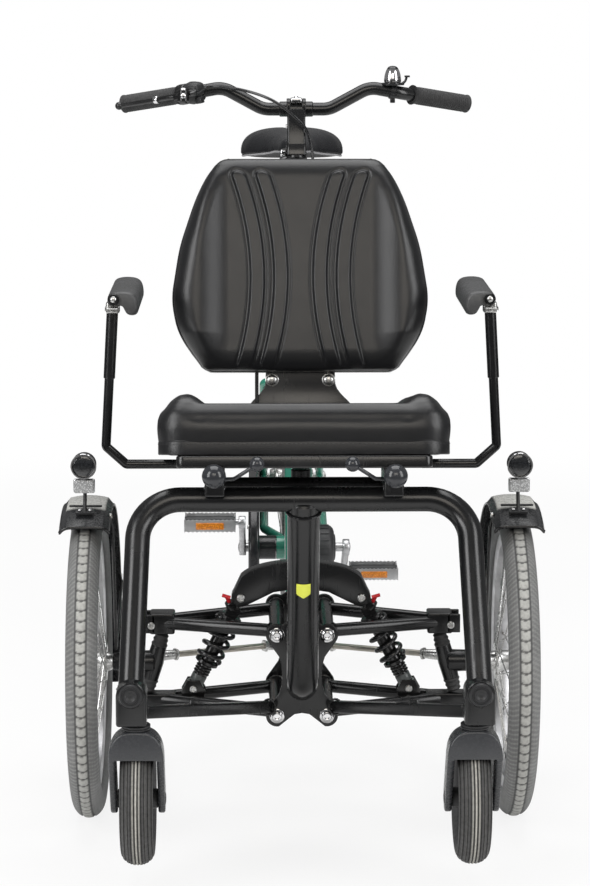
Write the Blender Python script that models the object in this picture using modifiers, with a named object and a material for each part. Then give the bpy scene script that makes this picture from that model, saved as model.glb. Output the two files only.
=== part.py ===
"""Wheelchair bicycle: a padded seat between two sprung, steered wheels in front of a cycle's rear half.

Metres, +Z up, the seat faces -Y. Places are given from the front axle: Y = 0 there and Z = 0 on the
floor. The root empty then shifts the whole machine so that its origin is under the middle of its box.
Left is the side at +X, which is the cyclist's left.
"""

import math

import bmesh
import bpy
from mathutils import Matrix, Vector

# Front wheels and their tyres
WHEEL_TRACK = 0.690
WHEEL_RADIUS = 0.253
TYRE_WIDTH = 0.050
TYRE_ROUND_SHARE = 0.58
RIM_RADIUS = 0.206
RIM_DEPTH = 0.018
RIM_WIDTH = 0.032
RIM_LIP_SHARE = 0.3
RIM_WELL_SHARE = 0.5
HUB_NECK_SHARE = 0.8
HUB_FLANGE_PLACE_SHARE = 0.85
SPOKE_WEAVE_SHARE = 0.45
HUB_LENGTH = 0.074
HUB_RADIUS = 0.017
HUB_FLANGE_RADIUS = 0.031
HUB_FLANGE_THICKNESS = 0.004
SPOKE_RADIUS = 0.0013
AXLE_RADIUS = 0.0065
PIN_CLEARANCE = 0.0007
WELD = 0.000002
SEAT_GAP = 0.0003
JOINT_GAP = 0.0006
RUNNING_GAP = 0.0055

# Rear wheel
REAR_AXLE_Y = 1.260
REAR_WHEEL_RADIUS = 0.326
REAR_TYRE_WIDTH = 0.044
REAR_RIM_RADIUS = 0.284
REAR_HUB_LENGTH = 0.090

# Castors
CASTOR_TRACK = 0.502
CASTOR_AXLE_Y = -0.385
CASTOR_AXLE_Z = 0.140
CASTOR_RADIUS = 0.100
CASTOR_WIDTH = 0.050
CASTOR_HUB_RADIUS = 0.066
CASTOR_RIM_SHARE = 0.6
CASTOR_WEB_SHARE = 0.35
CASTOR_DISH_SHARE = 0.8
CASTOR_BOSS_SHARE = 2.2
CASTOR_TRAIL = 0.050
CASTOR_FORK_WIDTH = 0.083
CASTOR_ARM_THICKNESS = 0.011
CASTOR_ARM_DEPTH = 0.044
CASTOR_CROWN_DEPTH = 0.044
CASTOR_HOOD_GAP = 0.0055
CASTOR_CROWN_TOP = 0.262
CASTOR_CROWN_HEIGHT = 0.016
CASTOR_SHOULDER = 0.028
CASTOR_AXLE_RADIUS = 0.006
CASTOR_ARM_OVERLAP_SHARE = 0.05
CASTOR_NECK_RADIUS = 0.0215
CASTOR_NECK_HEIGHT = 0.008
HOUSING_OFFSET = 0.006
HOUSING_HEIGHT = 0.068
HOUSING_DEPTH = 0.052
HOUSING_WIDTH = 0.046
HOUSING_CAP_RADIUS = 0.0175
HOUSING_CAP_DEPTH = 0.010
HOUSING_CAP_Z = 0.320
HOUSING_ROUNDING_SHARE = 0.24

# Front hoop, its centre post and the braces to the castors
HOOP_WIDTH = 0.500
HOOP_FOOT_X = 0.259
HOOP_TOP_Y = -0.270
HOOP_TOP_Z = 0.575
HOOP_TUBE_RADIUS = 0.019
HOOP_BEND_RADIUS = 0.065
POST_RADIUS = 0.025
POST_BEND_Y = -0.160
POST_BEND_Z = 0.262
POST_BEND_RADIUS = 0.055
POST_BEND_SHARE = 0.5
POST_END_Z = 0.240
BRACE_HEIGHT = 0.019
BRACE_THICKNESS = 0.016
BRACE_INNER_X = 0.036
BRACE_INNER_Z = 0.205
BRACE_OUTER_Y = -0.413
BRACE_OUTER_Z = 0.2815
BRACE_INSET_SHARE = 0.35

# Pivot plates that carry the suspension arms
PIVOT_HALF_SPREAD = 0.040
PIVOT_UPPER_Z = 0.323
PIVOT_LOWER_Z = 0.190
PIVOT_LOBE_RADIUS = 0.017
PIVOT_WAIST = 0.029
PLATE_THICKNESS = 0.008
PLATE_FRONT_Y = -0.105
PLATE_REAR_Y = 0.105
PIVOT_BOLT_RADIUS = 0.0085
PIVOT_BOLT_HEAD = 0.005
PIVOT_BUSH_RADIUS = 0.011

# Suspension arms
ARM_TUBE_RADIUS = 0.0105
ARM_OUTER_X = 0.226
ARM_EYE_INSET = 0.022
ARM_BLOCK_LENGTH = 0.040
ARM_BLOCK_DEPTH = 0.040
ARM_BLOCK_HEIGHT = 0.034
ARM_BLOCK_ROUNDING_SHARE = 0.3
LOWER_BLOCK_DEPTH_SHARE = 0.7
ARM_TAPER_SHARE = 0.8
LOWER_BLOCK_HEIGHT = 0.022
KINGPIN_TOP_X = 0.229
KINGPIN_TOP_Z = 0.290
KINGPIN_LOW_X = 0.249
KINGPIN_LOW_Z = 0.214
KINGPIN_BALL_RADIUS = 0.012
UPRIGHT_RADIUS = 0.013

# Knuckles, their stub axles and steering arms
STUB_HOUSING_RADIUS = 0.0175
STUB_END_X = 0.388
STUB_NUT_RADIUS = 0.010
STUB_NUT_LENGTH = 0.009
TRACK_ARM_X = 0.249
TRACK_ARM_Y = 0.111
TRACK_ARM_Z = 0.212
TRACK_ARM_RADIUS = 0.009
STUB_TAPER_SHARE = 0.8
TRACK_ARM_TAPER_SHARE = 0.7
BALL_STUD_SHARE = 0.6
BALL_SEAT_SHARE = 1.2
BALL_RADIUS = 0.0075
ROD_END_RADIUS = 0.0115
ROD_END_HEIGHT = 0.016
ROD_RADIUS = 0.0055
CLEVIS_RADIUS = 0.0095
CLEVIS_LENGTH = 0.045
CLEVIS_TAPER_SHARE = 0.8
OPEN_PIVOT_GAP = 0.0035

# Shock tower and shocks
TOWER_TIP_X = 0.098
TOWER_TIP_Z = 0.362
TOWER_TIP_RADIUS = 0.015
TOWER_TOP_Z = 0.421
TOWER_ARCH_Z = 0.378
TOWER_DEPTH = 0.030
TOWER_Y = 0.0
SHOCK_LOW_X = 0.176
SHOCK_BODY_RADIUS = 0.012
SHOCK_CAP_RADIUS = 0.019
SHOCK_EYE_RADIUS = 0.011
SPRING_RADIUS = 0.020
SPRING_WIRE_RADIUS = 0.0036
SPRING_CAP_HEIGHT = 0.008
SPRING_LENGTH = 0.076
SPRING_TURNS = 4.5
SPRING_STEPS = 8

# Spine from the pivot plates to the steering head
SPINE_RADIUS = 0.022
SPINE_Z = 0.300
SEAT_PROP_RADIUS = 0.016
SEAT_PROP_Y = 0.010

# Steering
COLUMN_LOW_Y = 0.200
COLUMN_LOW_Z = 0.222
COLUMN_TOP_Y = 0.548
COLUMN_TOP_Z = 1.105
COLUMN_RADIUS = 0.0135
HEAD_RADIUS = 0.024
HEAD_LOW_Z = 0.262
HEAD_TOP_Z = 0.600
PITMAN_THICKNESS = 0.010
PITMAN_BALL_X = 0.0184
PITMAN_REACH = 0.0511
PITMAN_MARGIN = 0.013
STEM_WIDTH = 0.032
STEM_DEPTH = 0.036
STEM_LOW_Z = 1.040
STEM_RISE = 0.0184
BAR_RADIUS = 0.0115
BAR_CLAMP_Z = 1.1223
BAR_CORNER_X = 0.0587
BAR_TOP_X = 0.1303
BAR_TOP_BACK = 0.002
BAR_TOP_Z = 1.1607
BAR_SWEEP_X = 0.185
BAR_SWEEP_BACK = 0.008
BAR_SWEEP_Z = 1.1505
BAR_HALF_WIDTH = 0.307
BAR_GRIP_Z = 1.1277
BAR_GRIP_BACK = 0.085
BAR_BEND_RADIUS = 0.045
GRIP_RADIUS = 0.0155
GRIP_LENGTH = 0.120
GRIP_CAP_SHARE = 0.5
LEVER_REACH = 0.045
LEVER_OVERHANG = 0.012
LEVER_RADIUS = 0.005
LEVER_ROOT_SHARE = 1.5
LEVER_TIP_SHARE = 0.8
LEVER_KNUCKLE_SHARE = 1.1
LEVER_CLAMP_RADIUS = 0.018
LEVER_CLAMP_WIDTH = 0.014
BELL_RADIUS = 0.015
BELL_HEIGHT = 0.034
BELL_X = 0.1716
BELL_SADDLE_SHARE = 0.8

# Seat
SEAT_PLATE_WIDTH = 0.384
SEAT_PLATE_FRONT = -0.340
SEAT_PLATE_BACK = 0.060
SEAT_PLATE_Z = 0.636
SEAT_PLATE_THICKNESS = 0.019
SEAT_ROUNDING_SHARE = 0.15
SEAT_RAIL_WRAP_SHARE = 0.4
CUSHION_ROUNDING_SHARE = 0.33
CUSHION_WIDTH = 0.446
CUSHION_HEIGHT = 0.076
SEAT_TILT = math.radians(10)
CUSHION_BACK = 0.054
SEAT_RAIL_X = 0.135
SEAT_RAIL_WIDTH = 0.024
SEAT_BAR_Y = -0.150
SEAT_BAR_RADIUS = 0.012
KNOB_RADIUS = 0.018
KNOB_STEM_RADIUS = 0.005
KNOB_X = 0.135
KNOB_DROP = 0.0117
KNOB_REACH = 0.052

# Backrest
BACK_LOW_Y = 0.062
BACK_LOW_Z = 0.723
BACK_TOP_Y = 0.150
BACK_TOP_Z = 1.060
BACK_WIDTH = 0.416
BACK_THICKNESS = 0.050
BACK_SHELL_THICKNESS = 0.012
BACK_BRACKET_THICKNESS = 0.008
BACK_BRACKET_TOP_WIDTH = 0.112
BACK_BRACKET_LOW_WIDTH = 0.175
BACK_BRACKET_NECK_WIDTH = 0.168
BACK_BRACKET_START_WIDTH = 0.120
BACK_BRACKET_NECK_Z = 0.665
BACK_BRACKET_HEIGHT = 0.150

# Armrests
ARMREST_Y = -0.042
ARMREST_TUBE_RADIUS = 0.0075
ARMREST_ROOT_SHARE = 0.4
ARMREST_CORNER_X = 0.280
ARMREST_KNEE_X = 0.312
ARMREST_TOP_X = 0.299
ARMREST_KNEE_Z = 0.618
ARMREST_TOP_Z = 0.840
ARMREST_SLEEVE_RADIUS = 0.009
ARMREST_SLEEVE_LOW_Z = 0.727
ARMREST_BEND_RADIUS = 0.006
PAD_WIDTH = 0.056
PAD_HEIGHT = 0.034
PAD_LENGTH = 0.220
PAD_X = 0.286
PAD_FRONT_Y = -0.070
PAD_ROUNDING_SHARE = 0.3

# Rear frame and saddle
CRANK_Y = 0.800
CRANK_Z = 0.272
FRAME_TUBE_RADIUS = 0.021
STAY_RADIUS = 0.009
STAY_SPREAD = 0.058
TOP_TUBE_SHARE = 0.85
SEAT_STAY_SHARE = 0.9
BRIDGE_PLACE_SHARE = 0.24
SEAT_TUBE_RADIUS = 0.016
SADDLE_Y = 1.130
SADDLE_Z = 1.054
SADDLE_WIDTH = 0.205
SADDLE_LENGTH = 0.265
SADDLE_THICKNESS = 0.068
SADDLE_POST_RADIUS = 0.0132
SADDLE_CLAMP_RADIUS = 0.020
SADDLE_CLAMP_LENGTH_SHARE = 1.4
SADDLE_CLAMP_RISE_SHARE = 0.3
SADDLE_BACK_SHARE = 0.42
SEAT_TUBE_TOP_Z = 0.800
TOP_TUBE_Z = 0.545
TOP_TUBE_END_Z = 0.520
DOWN_TUBE_Z = 0.430
SHELL_RADIUS = 0.023
SHELL_LENGTH = 0.070
DROPOUT_THICKNESS = 0.006
DROPOUT_RADIUS = 0.020
DRIVE_RADIUS = 0.0425
DRIVE_LENGTH = 0.044
DRIVE_SHARES = ((0.9, 0), (1, 0.1), (1, 0.8), (0.85, 1))
CASE_THICKNESS = 0.020
CASE_FRONT_RADIUS = 0.092
CASE_REAR_RADIUS = 0.045
REAR_GUARD_GAP = 0.014
REAR_GUARD_WALL = 0.0022
REAR_GUARD_WIDTH = 0.060
REAR_GUARD_CROWN_SHARE = 0.8
REAR_EYE_SHARE = 0.85
BRIDGE_RADIUS = 0.006
SADDLE_SEAT_SHARE = 0.70
SADDLE_WIDEST_SHARE = 0.62

# Cranks and pedals
CRANK_LENGTH = 0.170
CRANK_AXLE_RADIUS = 0.0085
CRANK_ARM_WIDTH = 0.024
CRANK_ARM_THICKNESS = 0.013
CRANK_BOSS_SHARE = 1.2
CRANK_END_SHARE = 0.42
PEDAL_AXLE_RADIUS = 0.0055
PEDAL_LENGTH = 0.095
PEDAL_DEPTH = 0.072
PEDAL_HEIGHT = 0.024
PEDAL_WALL_SHARE = 0.25
PEDAL_RAIL_SHARE = 0.8

# Mudguards and lamps on the front wheels
GUARD_GAP = 0.014
GUARD_WALL = 0.0022
GUARD_WIDTH = 0.062
GUARD_LIP_WIDTH = 0.078
GUARD_LIP_DROP = 0.010
GUARD_CROWN_SHARE = 0.6
GUARD_STAY_RADIUS = 0.003
GUARD_STAY_X = 0.302
LAMP_RADIUS = 0.0205
LAMP_LENGTH = 0.044
LAMP_BACK_SHARE = 0.6
LAMP_Y = -0.080
LAMP_Z = 0.592
LAMP_STEM_RADIUS = 0.0045
LAMP_FOOT_RADIUS = 0.012
LAMP_FOOT_HEIGHT = 0.006

# Angles and counts
CRANK_ANGLE = math.radians(28)
GUARD_FRONT_ANGLE = math.radians(24)
GUARD_REAR_ANGLE = math.radians(-112)
REAR_GUARD_FRONT_ANGLE = math.radians(62)
REAR_GUARD_REAR_ANGLE = math.radians(-66)
REAR_GUARD_STAY_ANGLES = (math.radians(-8), math.radians(-52))
TYRE_SECTION_START = math.radians(-40)
TYRE_SECTION_POINTS = 7
GUARD_STEPS = 14
SPOKES = 36
SPOKE_SIDES = 3
WHEEL_STEPS = 32
SMALL_WHEEL_STEPS = 20
TURN_STEPS = 12
TUBE_SIDES = 8
SIDES = {"left": 1, "right": -1}

BLACK = ("gloss_black", (0.012, 0.013, 0.015), 0.22, 0.0)
GREEN = ("gloss_green", (0.045, 0.305, 0.195), 0.2, 0.0)
STEEL = ("bright_steel", (0.62, 0.62, 0.62), 0.25, 1.0)
RUBBER = ("grey_rubber", (0.06, 0.06, 0.06), 0.75, 0.0)
PLASTIC = ("black_plastic", (0.02, 0.02, 0.02), 0.5, 0.0)
LEATHER = ("black_leather", (0.02, 0.021, 0.024), 0.38, 0.0)
FOAM = ("grey_foam", (0.13, 0.135, 0.14), 0.6, 0.0)


def clear_scene():
    for item in list(bpy.data.objects):
        bpy.data.objects.remove(item, do_unlink=True)


def collection(name):
    made = bpy.data.collections.new(name)
    bpy.context.scene.collection.children.link(made)
    return made


def finish_material(finish):
    name, colour, roughness, metallic = finish
    made = bpy.data.materials.get(name)
    if made is None:
        made = bpy.data.materials.new(name)
        made.use_nodes = True
        shader = made.node_tree.nodes["Principled BSDF"]
        shader.inputs["Base Color"].default_value = (*colour, 1)
        shader.inputs["Roughness"].default_value = roughness
        shader.inputs["Metallic"].default_value = metallic
    return made


def keep_mesh(name, mesh):
    item = bpy.data.objects.new(name, mesh)
    PARTS.objects.link(item)
    return item


def from_bmesh(bm):
    bmesh.ops.recalc_face_normals(bm, faces=bm.faces)
    mesh = bpy.data.meshes.new("shape")
    bm.to_mesh(mesh)
    bm.free()
    return keep_mesh("shape", mesh)


def worked_out(item):
    """The object's mesh with its modifiers or bevel worked out, welded and turned outwards."""
    bpy.context.view_layer.update()
    ready = item.evaluated_get(bpy.context.evaluated_depsgraph_get())
    mesh = bpy.data.meshes.new_from_object(ready)
    mesh.transform(item.matrix_world)
    bm = bmesh.new()
    bm.from_mesh(mesh)
    bmesh.ops.remove_doubles(bm, verts=bm.verts, dist=WELD)
    bmesh.ops.recalc_face_normals(bm, faces=bm.faces)
    closed = all(len(edge.link_faces) == 2 for edge in bm.edges)
    bm.to_mesh(mesh)
    bm.free()
    return mesh, closed


def as_mesh(item):
    mesh, _ = worked_out(item)
    bpy.data.objects.remove(item, do_unlink=True)
    return keep_mesh("shape", mesh)


def placed(item, matrix):
    item.data.transform(matrix)
    return item


def at(x, y, z):
    return Matrix.Translation((x, y, z))


def facing(direction):
    """The turn that takes +Z to a direction."""
    return Vector(direction).to_track_quat("Z", "Y").to_matrix().to_4x4()


def box(size, centre, bevel=0.0):
    bm = bmesh.new()
    bmesh.ops.create_cube(bm, size=1)
    bmesh.ops.scale(bm, vec=size, verts=bm.verts)
    item = placed(from_bmesh(bm), at(*centre))
    if bevel:
        rounding = item.modifiers.new("rounding", "BEVEL")
        rounding.width = bevel
        rounding.segments = 2
        item = as_mesh(item)
    return item


def rod(start, end, radius, end_radius=None, sides=TUBE_SIDES):
    start, end = Vector(start), Vector(end)
    bm = bmesh.new()
    bmesh.ops.create_cone(
        bm,
        cap_ends=True,
        segments=sides,
        radius1=radius,
        radius2=radius if end_radius is None else end_radius,
        depth=(end - start).length,
    )
    return placed(from_bmesh(bm), at(*((start + end) / 2)) @ facing(end - start))


def drill(start, end, radius, gap, sides=TURN_STEPS):
    """A cutter whose flats clear a round bar of a radius by a gap."""
    return rod(start, end, (radius + gap) / math.cos(math.pi / sides), sides=sides)


def ball(centre, radius, sides=TUBE_SIDES):
    bm = bmesh.new()
    bmesh.ops.create_uvsphere(bm, u_segments=sides, v_segments=sides // 2, radius=radius)
    return placed(from_bmesh(bm), at(*centre))


def rounded(points, radius, steps=5):
    """A path with each inner corner turned by an arc."""
    points = [Vector(p) for p in points]
    path = [points[0]]
    for before, corner, after in zip(points, points[1:], points[2:]):
        a = (before - corner).normalized()
        b = (after - corner).normalized()
        half = a.angle(b) / 2
        reach = radius / math.tan(half)
        centre = corner + (a + b).normalized() * radius / math.sin(half)
        start = corner + a * reach - centre
        end = corner + b * reach - centre
        whole = start.angle(end)
        for step in range(steps + 1):
            t = step / steps
            share_a = math.sin((1 - t) * whole) / math.sin(whole)
            share_b = math.sin(t * whole) / math.sin(whole)
            path.append(centre + start * share_a + end * share_b)
    path.append(points[-1])
    return path


def tube(points, radius, detail=2):
    """A round bar or tube along a path, closed at both ends."""
    curve = bpy.data.curves.new("path", "CURVE")
    curve.dimensions = "3D"
    curve.bevel_depth = radius
    curve.bevel_resolution = detail
    curve.use_fill_caps = True
    spline = curve.splines.new("POLY")
    spline.points.add(len(points) - 1)
    for target, point in zip(spline.points, points):
        target.co = (*point, 1)
    item = bpy.data.objects.new("path", curve)
    PARTS.objects.link(item)
    return as_mesh(item)


def plate(outlines, thickness, matrix=None):
    """A flat plate in XY, outlined by its first loop and pierced by the others."""
    curve = bpy.data.curves.new("outline", "CURVE")
    curve.dimensions = "2D"
    curve.fill_mode = "BOTH"
    curve.extrude = thickness / 2
    for outline in outlines:
        spline = curve.splines.new("POLY")
        spline.points.add(len(outline) - 1)
        spline.use_cyclic_u = True
        for target, point in zip(spline.points, outline):
            target.co = (point[0], point[1], 0, 1)
    item = bpy.data.objects.new("outline", curve)
    PARTS.objects.link(item)
    item = as_mesh(item)
    return placed(item, matrix) if matrix else item


def arc(centre, radius, start, end, steps):
    """Points on an arc, in the plane of an outline, from one angle to another."""
    made = []
    for step in range(steps + 1):
        angle = start + (end - start) * step / steps
        made.append((centre[0] + radius * math.cos(angle), centre[1] + radius * math.sin(angle)))
    return made


def turned(profile, steps=TURN_STEPS, ring=False):
    """A profile of (radius, height) turned about Z, joined up into a loop where it is a ring."""
    mesh = bpy.data.meshes.new("profile")
    points = [(radius, 0, height) for radius, height in profile]
    edges = [(i, i + 1) for i in range(len(points) - 1)]
    if ring:
        edges.append((len(points) - 1, 0))
    mesh.from_pydata(points, edges, [])
    item = keep_mesh("profile", mesh)
    screw = item.modifiers.new("turn", "SCREW")
    screw.steps = steps
    screw.render_steps = steps
    screw.use_merge_vertices = True
    screw.merge_threshold = 0.00001
    return as_mesh(item)


def loft(rings):
    """A skin through closed rings of equally many points, with a face on each end."""
    bm = bmesh.new()
    rows = [[bm.verts.new(point) for point in ring] for ring in rings]
    for low, high in zip(rows, rows[1:]):
        for i in range(len(low)):
            j = (i + 1) % len(low)
            bm.faces.new((low[i], low[j], high[j], high[i]))
    bm.faces.new(rows[0])
    bm.faces.new(rows[-1])
    return from_bmesh(bm)


def boolean(base, other, operation):
    """Joins or cuts two closed shapes, with the second solver where the first leaves an edge open."""
    step = base.modifiers.new(operation.lower(), "BOOLEAN")
    step.operation = operation
    step.object = other
    for solver in ("EXACT", "MANIFOLD"):
        step.solver = solver
        mesh, closed = worked_out(base)
        if closed:
            break
    bpy.data.objects.remove(base, do_unlink=True)
    bpy.data.objects.remove(other, do_unlink=True)
    return keep_mesh("shape", mesh)


def fuse(first, *others):
    for other in others:
        first = boolean(first, other, "UNION")
    return first


def cut(base, *cutters):
    for cutter in cutters:
        base = boolean(base, cutter, "DIFFERENCE")
    return base


def both(x, y, z, side):
    return Vector((x * side, y, z))


def column_point(z):
    """The place on the steering axis at a height."""
    share = (z - COLUMN_LOW_Z) / (COLUMN_TOP_Z - COLUMN_LOW_Z)
    return Vector((0, COLUMN_LOW_Y + share * (COLUMN_TOP_Y - COLUMN_LOW_Y), z))


def seat_tube_point(z):
    """The place on the axis of the seat tube at a height."""
    share = (z - CRANK_Z) / (SADDLE_Z - CRANK_Z)
    return Vector((0, CRANK_Y + share * (SADDLE_Y - CRANK_Y), z))


COLUMN_AXIS = (column_point(COLUMN_TOP_Z) - column_point(COLUMN_LOW_Z)).normalized()
COLUMN_BACK = Vector((0, COLUMN_AXIS.z, -COLUMN_AXIS.y))
HALF_TRACK = WHEEL_TRACK / 2
HALF_CASTOR = CASTOR_TRACK / 2
SWIVEL_Y = CASTOR_AXLE_Y - CASTOR_TRAIL
HOUSING_LOW_Z = CASTOR_CROWN_TOP + CASTOR_NECK_HEIGHT + JOINT_GAP
FRONT_END_Y = CASTOR_AXLE_Y - CASTOR_RADIUS
BACK_END_Y = REAR_AXLE_Y + REAR_WHEEL_RADIUS
MIDDLE_Y = (FRONT_END_Y + BACK_END_Y) / 2


def bodies():
    """Empties on the joints' axes, keyed by body: each moving piece hangs from one."""
    made = {}

    def empty(name, place, parent=None):
        item = bpy.data.objects.new("axis_" + name, None)
        PARTS.objects.link(item)
        place = Vector(place)
        if parent:
            item.parent = made[parent][0]
            item.location = place - made[parent][1]
        else:
            item.location = place + Vector((0, -MIDDLE_Y, 0))
        made[name] = (item, place)

    empty("frame", (0, 0, 0))
    empty("steering", column_point(COLUMN_LOW_Z), "frame")
    empty("rear_wheel", (0, REAR_AXLE_Y, REAR_WHEEL_RADIUS), "frame")
    empty("cranks", (0, CRANK_Y, CRANK_Z), "frame")
    for name, side in SIDES.items():
        empty("knuckle_" + name, kingpin_point(WHEEL_RADIUS, side), "frame")
        empty("wheel_" + name, (side * HALF_TRACK, 0, WHEEL_RADIUS), "knuckle_" + name)
        empty("castor_fork_" + name, (side * HALF_CASTOR, SWIVEL_Y, CASTOR_CROWN_TOP), "frame")
        place = (side * HALF_CASTOR, CASTOR_AXLE_Y, CASTOR_AXLE_Z)
        empty("castor_wheel_" + name, place, "castor_fork_" + name)
        empty("tie_rod_" + name, pitman_ball(side), "steering")
        empty("pedal_" + name, pedal_point(side), "cranks")
    return made


def node(name, item, finish, body="frame"):
    """Names a finished piece, gives it its material and hangs it from its body's empty."""
    parent, place = BODIES[body]
    item.data.transform(Matrix.Translation(-place))
    item.name = name
    item.data.name = name
    item.data.materials.clear()
    item.data.materials.append(finish_material(finish))
    item.data.shade_smooth()
    item.data.set_sharp_from_angle(angle=math.radians(35))
    item.parent = parent
    return item


def kingpin_point(z, side):
    """The place on a kingpin's axis at a height: it leans in towards its top."""
    share = (z - KINGPIN_LOW_Z) / (KINGPIN_TOP_Z - KINGPIN_LOW_Z)
    return both(KINGPIN_LOW_X + share * (KINGPIN_TOP_X - KINGPIN_LOW_X), 0, z, side)


def pitman_ball(side):
    low = column_point(COLUMN_LOW_Z)
    return low + Vector((side * PITMAN_BALL_X, 0, 0)) + COLUMN_BACK * PITMAN_REACH


def pedal_point(side):
    """A pedal axle's middle: the right pedal is forward and up, the left one opposite."""
    reach = CRANK_LENGTH * side
    x = side * (pedal_inner_x() + PEDAL_LENGTH / 2)
    return Vector((x, CRANK_Y + reach * math.cos(CRANK_ANGLE), CRANK_Z - reach * math.sin(CRANK_ANGLE)))


def case_inner_x():
    """The chain case lies against the outer side of the right chain stay."""
    return STAY_SPREAD + STAY_RADIUS + SEAT_GAP


def crank_inner_x():
    return case_inner_x() + CASE_THICKNESS + RUNNING_GAP


def pedal_inner_x():
    return crank_inner_x() + CRANK_ARM_THICKNESS + RUNNING_GAP


def tyre_ring(radius, width, seat_radius, steps=WHEEL_STEPS):
    """A tyre's section: a round tread over sides that draw in to the rim."""
    half = width / 2
    base = seat_radius + SEAT_GAP
    rise = min(half, (radius - base) * TYRE_ROUND_SHARE)
    profile = []
    for count in range(TYRE_SECTION_POINTS):
        turn = TYRE_SECTION_START + (math.pi - 2 * TYRE_SECTION_START) * count / (TYRE_SECTION_POINTS - 1)
        profile.append((radius - rise + rise * math.sin(turn), half * math.cos(turn)))
    inner = half * 0.55
    profile.append((base, -inner))
    profile.append((base, inner))
    return turned(profile, steps, ring=True)


def wheel_body(rim_radius, hub_length, bore, spokes=SPOKES):
    """Rim, hub and crossed spokes, turned about Z with the hub's middle at the origin."""
    half = RIM_WIDTH / 2
    floor_radius = rim_radius - RIM_DEPTH
    rim = turned(
        [
            (rim_radius, -half),
            (floor_radius + RIM_DEPTH * RIM_LIP_SHARE, -half),
            (floor_radius, -half * RIM_WELL_SHARE),
            (floor_radius, half * RIM_WELL_SHARE),
            (floor_radius + RIM_DEPTH * RIM_LIP_SHARE, half),
            (rim_radius, half),
        ],
        WHEEL_STEPS,
        ring=True,
    )
    length = hub_length / 2
    flange = length - HUB_FLANGE_THICKNESS * 2
    inner = flange - HUB_FLANGE_THICKNESS
    hub = turned(
        [
            (bore, -length),
            (HUB_RADIUS * HUB_NECK_SHARE, -length),
            (HUB_FLANGE_RADIUS, -flange),
            (HUB_FLANGE_RADIUS, -inner),
            (HUB_RADIUS, -inner * HUB_FLANGE_PLACE_SHARE),
            (HUB_RADIUS, inner * HUB_FLANGE_PLACE_SHARE),
            (HUB_FLANGE_RADIUS, inner),
            (HUB_FLANGE_RADIUS, flange),
            (HUB_RADIUS * HUB_NECK_SHARE, length),
            (bore, length),
        ],
        TURN_STEPS,
        ring=True,
    )
    wires = None
    middle = (flange + inner) / 2
    for count in range(spokes):
        out_angle = 2 * math.pi * count / spokes
        lean = math.radians(64) * (1 if count % 4 < 2 else -1)
        face = 1 if count % 2 else -1
        weave = HUB_FLANGE_THICKNESS * (SPOKE_WEAVE_SHARE if count % 4 < 2 else -SPOKE_WEAVE_SHARE)
        start_radius = HUB_FLANGE_RADIUS - SPOKE_RADIUS * 2
        start = (
            start_radius * math.cos(out_angle + lean),
            start_radius * math.sin(out_angle + lean),
            face * (middle + weave),
        )
        end_radius = floor_radius + RIM_DEPTH * RIM_LIP_SHARE
        end = (end_radius * math.cos(out_angle), end_radius * math.sin(out_angle), face * half * 0.2)
        wire = rod(start, end, SPOKE_RADIUS, sides=SPOKE_SIDES)
        if wires is None:
            wires = wire
        else:
            wires = joined(wires, wire)
    return fuse(rim, wires, hub)


def joined(first, second):
    """Two meshes kept side by side in one object, to be used together as one tool."""
    bm = bmesh.new()
    bm.from_mesh(first.data)
    bm.from_mesh(second.data)
    bm.to_mesh(first.data)
    bm.free()
    bpy.data.objects.remove(second, do_unlink=True)
    return first


ACROSS = Matrix.Rotation(math.pi / 2, 4, "Y")
UPRIGHT_PLANE = Matrix.Rotation(math.pi / 2, 4, "X")
SIDE_PLANE = Matrix(((0, 0, 1, 0), (1, 0, 0, 0), (0, 1, 0, 0), (0, 0, 0, 1)))


def front_wheel(name, side):
    centre = at(side * HALF_TRACK, 0, WHEEL_RADIUS) @ ACROSS
    body = "wheel_" + name
    tyre = placed(tyre_ring(WHEEL_RADIUS, TYRE_WIDTH, RIM_RADIUS), centre)
    node("tyre_" + name, tyre, RUBBER, body)
    wheel = wheel_body(RIM_RADIUS, HUB_LENGTH, AXLE_RADIUS + PIN_CLEARANCE)
    node("wheel_" + name, placed(wheel, centre), STEEL, body)


def rear_wheel():
    centre = at(0, REAR_AXLE_Y, REAR_WHEEL_RADIUS) @ ACROSS
    tyre = placed(tyre_ring(REAR_WHEEL_RADIUS, REAR_TYRE_WIDTH, REAR_RIM_RADIUS), centre)
    node("rear_tyre", tyre, RUBBER, "rear_wheel")
    wheel = wheel_body(REAR_RIM_RADIUS, REAR_HUB_LENGTH, AXLE_RADIUS + PIN_CLEARANCE)
    node("rear_wheel", placed(wheel, centre), STEEL, "rear_wheel")


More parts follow.
